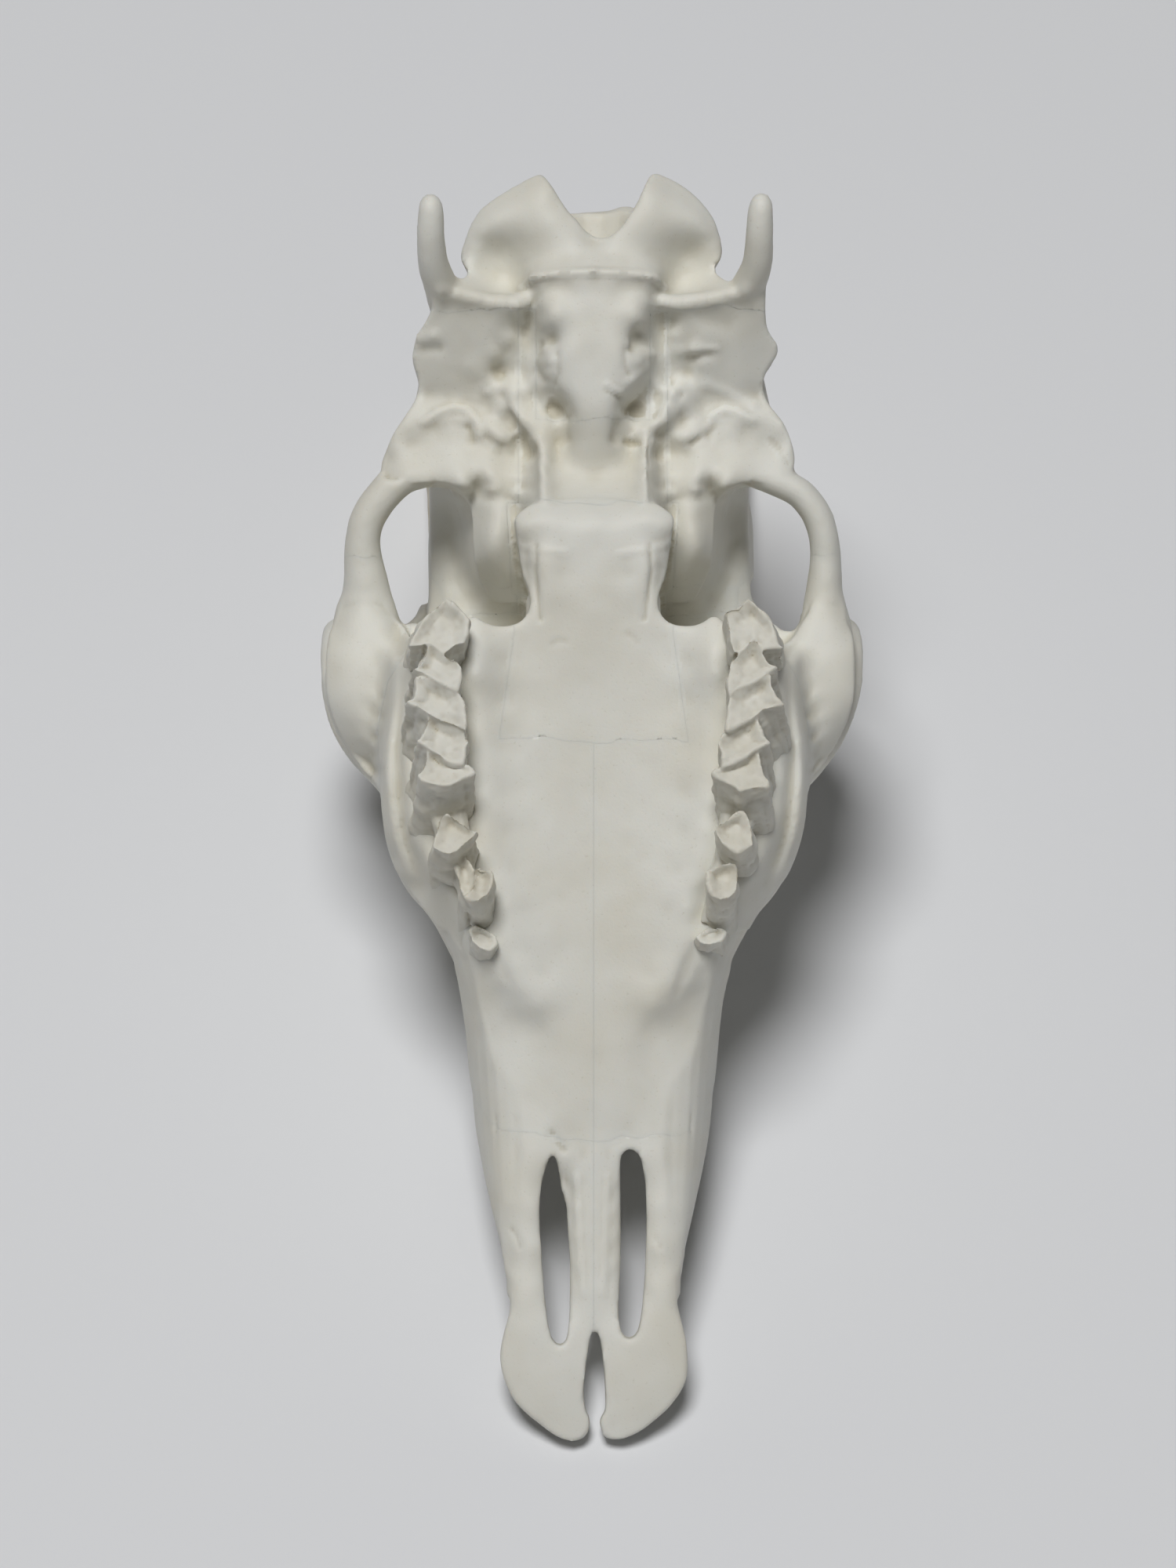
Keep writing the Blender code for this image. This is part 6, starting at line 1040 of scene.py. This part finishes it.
# The small marks of the bone, by view. Each is a side, or 0 for both, a half width, a height and a line on the
# surface; a negative height is a groove or a pit.
MARKS = (
    ("below", (
        (0, 1.5, 0.9, (33.9, 254.8), (28.3, 253.8), (22.9, 252.9), (18.3, 252.2), (14.8, 252.9)),
        (0, 0.8, 0.8, (0, 258.6), (8, 258.4), (13.6, 257.8), (16, 256)),
    )),
    ("above", (
        (0, 1.8, -1.6, (19, 160), (20, 166)),
        (0, 1.4, -0.4, (12, 150), (17, 158), (22, 172), (25, 186)),
    )),
    ("side", (
        (0, 1.7, -2.2, (104, -30), (106, -27)),
        (0, 1.4, -0.5, (84, -36), (96, -33), (103, -30)),
    )),
    ("below", (
        (-1, 0.9, -0.6, (11.9, 243.3), (12.9, 240.6), (12.9, 237.6), (11.5, 235.2)),
        (-1, 1.5, -0.7, (9.4, 244)),
        (-1, 1.2, 0.6, (10.5, 241.7)),
        (-1, 1.2, 0.6, (11.7, 239.4)),
        (-1, 1.1, 0.4, (9.4, 239.2)),
        (-1, 0.9, -0.5, (8.2, 240.6), (8, 236.2), (9.1, 234.1)),
        (-1, 1.1, 0.4, (10.1, 236.6)),
        (1, 1.8, -1.1, (9.6, 243.3), (10.5, 244.7)),
        (1, 1.2, -0.6, (8.9, 241.7)),
        (1, 1.4, 0.9, (12.6, 241)),
        (1, 0.8, 0.4, (8.2, 243.1)),
        (1, 0.9, -0.45, (7.3, 241.5), (7.2, 238), (8, 236.2)),
        (1, 1.1, 0.4, (10.2, 239.2)),
        (1, 0.9, 0.4, (7.9, 234.5), (10.2, 236.2), (12.1, 238.3)),
        (1, 0.7, 0.5, (3.1, 233.6), (4.5, 232.6), (6.1, 232)),
        (1, 0.8, -0.4, (3.3, 232.4), (4.7, 231.3), (6.1, 230.8)),
        (-1, 2.2, -1.2, (9.8, 232), (8, 229.3), (6.6, 227.2)),
        (1, 2.2, -1.1, (7.5, 229), (10.2, 230.7), (12.5, 232.9)),
        (1, 2.2, -1.1, (12.5, 230.2), (10.2, 227.2), (13.7, 227.6)),
        (-1, 1.4, 0.5, (12.2, 224.8), (10.1, 222.1), (9.6, 218.6)),
        (1, 1.1, 0.7, (8.6, 222.8), (11, 224.2), (14.2, 225.7), (16, 228.3)),
        (1, 0.7, -0.5, (7.5, 221.4), (10.2, 221.1)),
        (-1, 1.2, -0.6, (7.3, 225.9), (6.2, 222)),
        (1, 1.3, -0.8, (5.7, 225.2), (5, 221.7)),
        (-1, 2.6, -1.0, (34.9, 225), (32.1, 225.9), (29.3, 225)),
        (-1, 1.2, -0.9, (27.9, 225.2), (27.2, 222.5)),
        (-1, 0.9, 0.8, (37.9, 226.2), (34.9, 228.6), (31.4, 229.7), (28.5, 229.2), (26.6, 226.9), (25.9, 223.2)),
        (-1, 2.0, 0.8, (19.3, 244.7)),
        (-1, 1.8, 0.8, (22.2, 241.5)),
        (-1, 2.0, -0.8, (21.5, 237.2)),
        (-1, 0.9, 0.5, (23.6, 233.2)),
        (-1, 1.3, -0.8, (20.7, 232.3), (19, 228.6), (17.7, 225)),
        (-1, 2.0, 0.5, (23.4, 225.9), (21.6, 222.7)),
        (-1, 1.1, 0.6, (18.1, 229.3), (14.5, 224.9), (12.6, 222.3)),
        (-1, 1.4, -1.0, (16.5, 222), (14.4, 218.9)),
        (-1, 0.8, -0.45, (23.9, 223.1), (20.7, 220.8)),
        (-1, 0.8, -0.6, (13.5, 220.1), (13.3, 215.2), (13.1, 208.1)),
        (-1, 1.2, 0.6, (20.7, 253.3), (15.8, 253.9), (14.2, 254.4)),
        (-1, 1.2, 0.5, (17.2, 251.6), (15.8, 248.9)),
        (-1, 2.0, 0.4, (27.5, 238.5), (24, 235.7), (26.1, 232.3)),
        (1, 2.6, -1.0, (27.7, 225), (30.6, 225.9), (34.1, 224.5)),
        (1, 1.1, -0.7, (26.5, 226.1), (26.1, 223.2)),
        (1, 0.9, 0.7, (25.9, 225.1), (27.2, 227.8), (29.7, 229.4), (32.3, 228.8), (36.2, 226.7)),
        (1, 1.7, 0.9, (18.7, 245.7)),
        (1, 2.2, -0.5, (18.2, 249.2), (23.5, 248.9), (29.7, 247.5)),
        (1, 1.5, -0.9, (17.6, 235.6)),
        (1, 1.2, 0.8, (18, 232.6), (16.5, 229.4), (16, 226.6)),
        (1, 1.0, -0.5, (20.1, 232.5)),
        (1, 1.4, -1.0, (14.9, 222.3), (14.8, 218.7)),
        (1, 0.9, -0.7, (12.8, 222.3), (13, 215.2), (13.2, 208.1)),
        (1, 0.7, -0.6, (22.2, 221.2), (24.2, 222.6)),
        (1, 1.3, 0.5, (25.8, 234.8), (30.6, 233.2), (36.3, 230.4)),
        (1, 1.2, 0.5, (18.1, 253.3), (21.6, 253), (26.1, 252.8)),
        (1, 0.5, -0.25, (40.3, 222.6), (42.3, 220.3), (44.4, 216.9)),
        (-1, 2.4, 0.3, (18.7, 160.3)),
        (1, 2.4, 0.3, (30, 160.3)),
        (-1, 0.6, -0.2, (9.3, 175.6), (7.7, 176.6), (6.2, 176.1)),
        (1, 0.6, -0.2, (7.4, 178), (8.8, 177.3), (9.8, 175.9)),
        (-1, 0.6, -0.35, (18.4, 45.6), (17.3, 44.2), (16.3, 41.7)),
        (1, 0.7, -0.3, (13.7, 43.5), (14.9, 41.7)),
        (-1, 0.9, -0.6, (9.3, 66.8), (8.1, 65), (6.7, 63.3)),
        (-1, 0.7, 0.3, (3.9, 57.4), (3.4, 43.5), (2.5, 31.3)),
        (1, 0.7, 0.3, (3.2, 57.4), (2.7, 43.5), (2.2, 31.3)),
        (-1, 0.8, 0.25, (17.8, 198.5), (13.5, 196.7), (6.5, 196)),
        (1, 0.8, 0.25, (17.1, 198.5), (12.6, 196.7), (5.7, 195.7)),
        (-1, 2.0, 0.6, (38.7, 245), (35.8, 245)),
        (-1, 1.4, -0.5, (38.1, 242.5), (34.8, 242.5)),
        (-1, 1.0, 0.4, (35.8, 245.7)),
        (1, 1.7, 0.8, (19.2, 242.3), (22.8, 242.8)),
        (1, 0.9, 0.5, (22.8, 242.8), (27.4, 242.6)),
        (1, 1.2, -0.4, (21.7, 240.5), (26.1, 241)),
        (-1, 0.6, -0.5, (12.8, 197.2), (13.3, 191.6), (12.6, 186.1), (11.8, 181.2)),
        (1, 0.6, -0.5, (12.5, 197.2), (13, 191.6), (12.1, 186.1), (11.2, 181.2)),
        (-1, 0.9, 0.3, (15.6, 197), (16.3, 192.7), (15.3, 186.5)),
        (1, 0.9, 0.3, (15.3, 197), (15.8, 192.7), (14.8, 186.5)),
    )),
)


def carve(skull):
    """Raises and sinks the surface along its marks, and gives it the unevenness of bone."""
    points = vectors(skull.data, "co").astype(float)
    normals = vectors(skull.data, "normal").astype(float)
    rise = noise(points, UNEVENNESS)
    for view, marks in MARKS:
        across, away, sign = VIEWS[view]
        flat = points[:, across]
        for only, width, height, *line in marks:
            for side in (only,) if only else SIDES:
                facing = normals[:, away] * (sign or side)
                corners = np.array(line, float)
                if view == "side":
                    near = points[:, 0] * side > 0
                else:
                    near = facing > 0
                    corners[:, 0] *= side
                low, high = corners.min(0) - 3 * width, corners.max(0) + 3 * width
                near &= (facing > 0.1) & (flat > low).all(1) & (flat < high).all(1)
                distance = along(flat[near], corners)
                rise[near] += height * np.exp(-((distance / width) ** 2)) * np.clip(facing[near] * 2, 0, 1)
    reshape(skull.data, points + normals * rise[:, None])


def whole_skull():
    """The skull in its own frame without its teeth, as one closed mesh in millimetres."""
    broad = [loft(name, rows, power=power, around=around) for name, power, around, rows in MASSES]
    skull, *masses = [*broad, *(m for side in SIDES for m in side_masses(side))]
    combine(skull, masses, "UNION")
    combine(skull, [nasal_passage(), *(h for side in SIDES for h in side_hollows(side))], "DIFFERENCE")
    combine(skull, [nuchal_crest(), foramen_rim(), *(f for side in SIDES for f in broad_forms(side))], "UNION")
    combine(skull, [f for side in SIDES for f in (horn_core(side), fossa_floor(side, FOSSA_BLOCK))], "UNION")
    blend(skull, MASS_ROUNDS)
    combine(skull, [skull_base(ABOVE), palate(ABOVE), *(cheek(side, ABOVE) for side in SIDES)], "DIFFERENCE")
    reliefs = [skull_base(BASE_BLOCK), palate(PALATE_BLOCK), *(cheek(side, CHEEK_BLOCK) for side in SIDES)]
    combine(skull, [*reliefs, *(f for side in SIDES for f in fine_forms(side))], "UNION")
    combine(skull, fine_cuts(), "DIFFERENCE")
    blend(skull, DETAIL_ROUNDS)
    carve(skull)
    return skull


def cheek_teeth(side, name):
    """The lobes of one row, fused, with the soft edges of worn enamel."""
    first, *others = teeth(side)
    combine(first, others, "UNION")
    blend(first, TOOTH_ROUNDS, TOOTH_VOXEL)
    points = vectors(first.data, "co")
    wear = noise(points, WEAR, side)
    reshape(first.data, points + vectors(first.data, "normal") * wear[:, None])
    first.name = name
    return first


# The bones are parted by cells. A cell is an outline seen from the side, as y and z, or from above, as x and y,
# and the two limits of the other axis. The skull gives up one bone after another, each with a thin gap round it.
# While it is parted the skull is waved, and each bone is straightened again, so that the sutures wander.


def part_long_edges(made):
    """Splits the long edges of the cut faces, so that they follow the wave too."""
    form = bmesh.new()
    form.from_mesh(made.data)
    for _ in range(HALVINGS):
        edges = [edge for edge in form.edges if edge.calc_length() > LONGEST_EDGE]
        bmesh.ops.subdivide_edges(form, edges=edges, cuts=1)
        bmesh.ops.triangulate(form, faces=[face for face in form.faces if len(face.verts) > 4])
    form.to_mesh(made.data)
    form.free()


def wave(made, way):
    """Shifts two axes in turn by noise that the shifted one has no part in, so that a way of -1 undoes it."""
    points = vectors(made.data, "co").astype(float)
    for axis in (1, 2)[::way]:
        flat = points.copy()
        flat[:, axis] = 0
        points[:, axis] += way * noise(flat, WAVES, axis)
    reshape(made.data, points)


def cell(view, outline, limits, side, grow=0.0):
    """A block with an outline, between two limits, that may be grown on all sides."""
    middle = np.mean(outline, 0)
    low, high = limits[0] - grow, limits[1] + grow
    rings = []
    for level in (low, high):
        ringed = []
        for point in np.array(outline, float):
            a, b = point + np.sign(point - middle) * grow
            ringed.append((side * level, a, b) if view == "side" else (side * a, b, level))
        rings.append(ringed)
    return skin("cell", rings)


def largest_piece(made):
    """Keeps the largest closed surface of a mesh."""
    form = bmesh.new()
    form.from_mesh(made.data)
    left = set(form.verts)
    pieces = []
    while left:
        piece = set()
        edge = [left.pop()]
        while edge:
            vert = edge.pop()
            piece.add(vert)
            for link in vert.link_edges:
                other = link.other_vert(vert)
                if other in left:
                    left.remove(other)
                    edge.append(other)
        pieces.append(piece)

    def size(piece):
        faces = {face for vert in piece for face in vert.link_faces}
        return sum(f.verts[0].co.dot(f.normal) * f.calc_area() for f in faces)

    keep = max(pieces, key=size)
    bmesh.ops.delete(form, geom=[v for v in form.verts if v not in keep], context="VERTS")
    form.to_mesh(made.data)
    form.free()


def take(skull, name, cells):
    """Moves what lies in some cells out of the skull into an object of its own."""
    bone = add_object(name, skull.data.copy())
    inner, *more = [cell(*one) for one in cells]
    if more:
        combine(inner, more, "UNION")
    combine(bone, [inner], "INTERSECT")
    combine(skull, [cell(*one, grow=SUTURE_GAP) for one in cells], "DIFFERENCE")
    largest_piece(bone)
    return bone


# The bones in the order in which they are cut out: whether they are pairs, then each name with its cells.
# A cell here is its view, its limits and its outline.
HALF_GAP = SUTURE_GAP / 2
BONES = (
    (True, (
        ("premaxilla",
         ("side", (HALF_GAP, 90), (-6, 14), (65, 14), (66, -6), (74, -24), (83, -39), (85, -46), (76, -44),
          (58, -43), (-6, -43))),
        ("nasal",
         ("side", (HALF_GAP, 17), (50, -41), (84, -47.5), (110, -56), (149, -68), (149, -115), (50, -115))),
        ("horn_core",
         ("side", (2, 90), (150, -97), (260, -97), (260, -210), (150, -210))),
        ("zygomatic",
         ("top", (-54, -13), (47.4, 136), (48.4, 158), (46, 168), (41.4, 175), (41.4, 186), (45, 196),
          (85, 196), (85, 136))),
    )),
    (False, (
        ("frontal",
         ("side", (-90, 90), (120, -63), (143, -57), (146, -54.3), (190, -54.3), (200, -62), (212, -67),
          (212, -120), (120, -120))),
        ("palatine",
         ("top", (-37, 14), (-21, 154.6), (21, 154.6), (17.6, 178), (19.5, 207.6), (-19.5, 207.6),
          (-17.6, 178))),
    )),
    (True, (
        ("maxilla",
         ("side", (HALF_GAP, 90), (40, 40), (187.4, 40), (187.4, -18), (184, -30), (184, -80), (40, -80))),
    )),
    (False, (
        ("occipital",
         ("side", (-90, 90), (250.8, 20), (250.8, -42), (255, -58), (258, -90), (300, -90), (300, 20)),
         ("side", (-12.8, 12.8), (226, 20), (252, 20), (252, -25), (226, -25))),
    )),
    (True, (
        ("temporal",
         ("side", (16.8, 90), (190, 20), (252, 20), (252, -47), (190, -47))),
    )),
    (False, (
        ("sphenoid",
         ("side", (-17.2, 17.2), (180, 20), (252, 20), (252, -47), (180, -47))),
    )),
)


def bones(skull):
    """The skull parted into its bones; what is left at the end is the parietal."""
    made = []
    for paired, group in BONES:
        for side, word in ((-1, "_left"), (1, "_right")) if paired else ((1, ""),):
            for name, *cells in group:
                cells = [(view, outline, limits, side) for view, limits, *outline in cells]
                made.append(take(skull, name + word, cells))
    largest_piece(skull)
    skull.name = "parietal"
    return [*made, skull]


def rest(made):
    """Turns a piece to the resting pose, in metres, with what would reach below the floor flattened on it."""
    made.data.transform(TO_ROW)
    for vert in made.data.vertices:
        vert.co.z = max(vert.co.z, 0)
    made.data.update()


# Materials.


def linear(shade):
    """A colour written as sRGB hex, in the linear values that a shader takes."""
    values = [int(shade[i : i + 2], 16) / 255 for i in (1, 3, 5)]
    return (*(v / 12.92 if v <= 0.04045 else ((v + 0.055) / 1.055) ** 2.4 for v in values), 1)


def add_node(tree, kind, settings=None, **inputs):
    """Adds a node. An input is a value, or a node's output that is linked to it."""
    node = tree.nodes.new(kind)
    for key, value in (settings or {}).items():
        setattr(node, key, value)
    for key, value in inputs.items():
        socket = node.inputs[key.replace("_", " ")] if not key.startswith("at") else node.inputs[int(key[2:])]
        if isinstance(value, bpy.types.NodeSocket):
            tree.links.new(value, socket)
        else:
            socket.default_value = value
    return node


def new_material(name, roughness, subsurface):
    stuff = bpy.data.materials.new(name)
    stuff.use_nodes = True
    shader = stuff.node_tree.nodes["Principled BSDF"]
    shader.inputs["Roughness"].default_value = roughness
    shader.inputs["IOR"].default_value = 1.5
    shader.inputs["Subsurface Weight"].default_value = subsurface
    shader.inputs["Subsurface Radius"].default_value = (1.0, 0.7, 0.45)
    shader.inputs["Subsurface Scale"].default_value = 2.2 * METRES
    return stuff, shader


def blend_colours(tree, share, first, second):
    """Goes from the first colour to the second as the share goes from 0 to 1. A colour is hex or an output."""
    first, second = (linear(c) if isinstance(c, str) else c for c in (first, second))
    settings = {"data_type": "RGBA"}
    return add_node(tree, "ShaderNodeMix", settings, at0=share, at6=first, at7=second).outputs[2]


def bone_surface(tree, shader, pale, warm, deep, pore, dent, stretch=(1, 1, 1)):
    """Colour and relief of all the bone: clouds of warmth, darker pits in a fine grain, painted shade in
    hollows.
    """
    place = add_node(tree, "ShaderNodeTexCoord").outputs["Object"]
    along_grain = add_node(tree, "ShaderNodeMapping", Vector=place, Scale=stretch).outputs["Vector"]
    clouds = add_node(tree, "ShaderNodeTexNoise", Vector=place, Scale=1 / (24 * METRES), Detail=3)
    cloudy = add_node(tree, "ShaderNodeMapRange", at0=clouds.outputs["Fac"], at1=0.38, at2=0.66)
    base = blend_colours(tree, cloudy.outputs["Result"], pale, warm)
    # Painted shade: where Pointiness finds the surface hollow, the colour goes over to the deep colour, as shade
    # falls there.
    form = add_node(tree, "ShaderNodeNewGeometry").outputs["Pointiness"]
    painted_hollow_shade = add_node(tree, "ShaderNodeMapRange", at0=form, at1=0.5, at2=0.44)
    base = blend_colours(tree, painted_hollow_shade.outputs["Result"], base, deep)
    specks = add_node(tree, "ShaderNodeTexNoise", Vector=along_grain, Scale=1 / (pore * METRES), Detail=3)
    pits = add_node(tree, "ShaderNodeMapRange", at0=specks.outputs["Fac"], at1=0.36, at2=0.24, at4=0.35)
    base = blend_colours(tree, pits.outputs["Result"], base, deep)
    tree.links.new(base, shader.inputs["Base Color"])
    bump = add_node(tree, "ShaderNodeBump", Height=specks.outputs["Fac"], Strength=dent, Distance=0.12 * METRES)
    tree.links.new(bump.outputs["Normal"], shader.inputs["Normal"])


def bleached_bone():
    """Cleaned, bleached cortical bone: pale and dense, waxy where light enters it, with a fine dull grain."""
    stuff, shader = new_material("bleached_bone", 0.6, 0.15)
    # The third colour darkens the pits and is also the painted shade in the hollows.
    bone_surface(stuff.node_tree, shader, "#E0DFD7", "#DAD7CB", "#BDB7A4", 0.7, 0.3)
    return stuff


def horn_core_bone():
    """Bare horn core: bone that fed the horn sheath, warmer, duller and grooved along its length by vessels."""
    stuff, shader = new_material("horn_core_bone", 0.7, 0.1)
    # The third colour darkens the pits and is also the painted shade in the hollows.
    bone_surface(stuff.node_tree, shader, "#D9D3C3", "#CBC1AB", "#9E9278", 1.1, 0.9, (1, 0.2, 0.2))
    return stuff


def worn_enamel():
    """Cheek teeth ground down to enamel and dentine, bleached with the bone: smoother, with a low shine."""
    stuff, shader = new_material("worn_enamel", 0.6, 0.15)
    # The third colour darkens the pits and is also the painted shade in the hollows.
    bone_surface(stuff.node_tree, shader, "#D9D7CD", "#D2CEC0", "#B2AA95", 0.9, 0.25)
    return stuff


def floor_paint():
    """Matt wall paint on board: pale grey, with no sheen."""
    stuff, shader = new_material("floor_paint", 0.9, 0)
    shader.inputs["Base Color"].default_value = linear("#E3E4E6")
    return stuff


# The stage: floor, light and camera.


def add_camera():
    """The camera at the photo's angle: square to the palate, with the nose down."""
    data = bpy.data.cameras.new("camera")
    data.sensor_fit = "VERTICAL"
    data.sensor_height = SENSOR
    data.lens = SENSOR * CAMERA_DISTANCE / FRAME_HEIGHT
    swing = math.radians(CAMERA_SWING)
    away = Vector((-math.sin(swing), 0, math.cos(swing)))
    camera = add_object("camera", data)
    camera.rotation_euler = (TILT @ Matrix.Rotation(-swing, 3, "Y")).to_euler()
    camera.location = TO_ROW @ (Vector(CAMERA_AIM) + away * CAMERA_DISTANCE)
    bpy.context.scene.camera = camera


def add_lamp(name, direction, size, power):
    """A soft round lamp that shines on the middle of the skull from a direction of the skull's own frame."""
    data = bpy.data.lights.new(name, "AREA")
    data.shape = "DISK"
    data.size = size
    data.energy = power
    lamp = add_object(name, data)
    away = TILT @ Vector(direction).normalized()
    lamp.location = TO_ROW @ Vector(LAMP_AIM) + away * LAMP_DISTANCE
    lamp.rotation_euler = away.to_track_quat("Z", "Y").to_euler()


def add_stage():
    """The floor, the lamps, and a faint light from all round."""
    form = bmesh.new()
    bmesh.ops.create_grid(form, x_segments=1, y_segments=1, size=FLOOR_REACH)
    mesh = bpy.data.meshes.new("floor")
    form.to_mesh(mesh)
    form.free()
    mesh.materials.append(floor_paint())
    floor = add_object("floor", mesh)
    for lamp in LAMPS:
        add_lamp(*lamp)
    world = bpy.data.worlds.new("studio")
    world.use_nodes = True
    background = world.node_tree.nodes["Background"]
    background.inputs["Color"].default_value = linear("#FFFFFF")
    background.inputs["Strength"].default_value = WORLD_STRENGTH
    bpy.context.scene.world = world
    bpy.context.scene.view_settings.view_transform = "Standard"


def main():
    skull = whole_skull()
    wave(skull, 1)
    pieces = []
    for bone in bones(skull):
        part_long_edges(bone)
        wave(bone, -1)
        node = bone.name.split(".")[0]
        bone.name = node + "_bone"
        pieces.append((bone, node, "horn_core_bone" if node.startswith("horn") else "bone"))
    for side, word in ((-1, "left"), (1, "right")):
        pieces.append((cheek_teeth(side, "cheek_teeth_" + word), None, "bone"))
    looks = {"bone": bleached_bone(), "horn_core_bone": horn_core_bone(), "teeth": worn_enamel()}
    for piece, node, slot in pieces:
        rest(piece)
        piece.data.shade_smooth()
        piece.data.set_sharp_from_angle(angle=math.radians(SHARP_ANGLE))
        piece.data.materials.clear()
        piece.data.materials.append(looks[slot if node else "teeth"])
        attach(piece, "root")
        if node:
            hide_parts(node)
    add_stage()
    add_camera()


main()
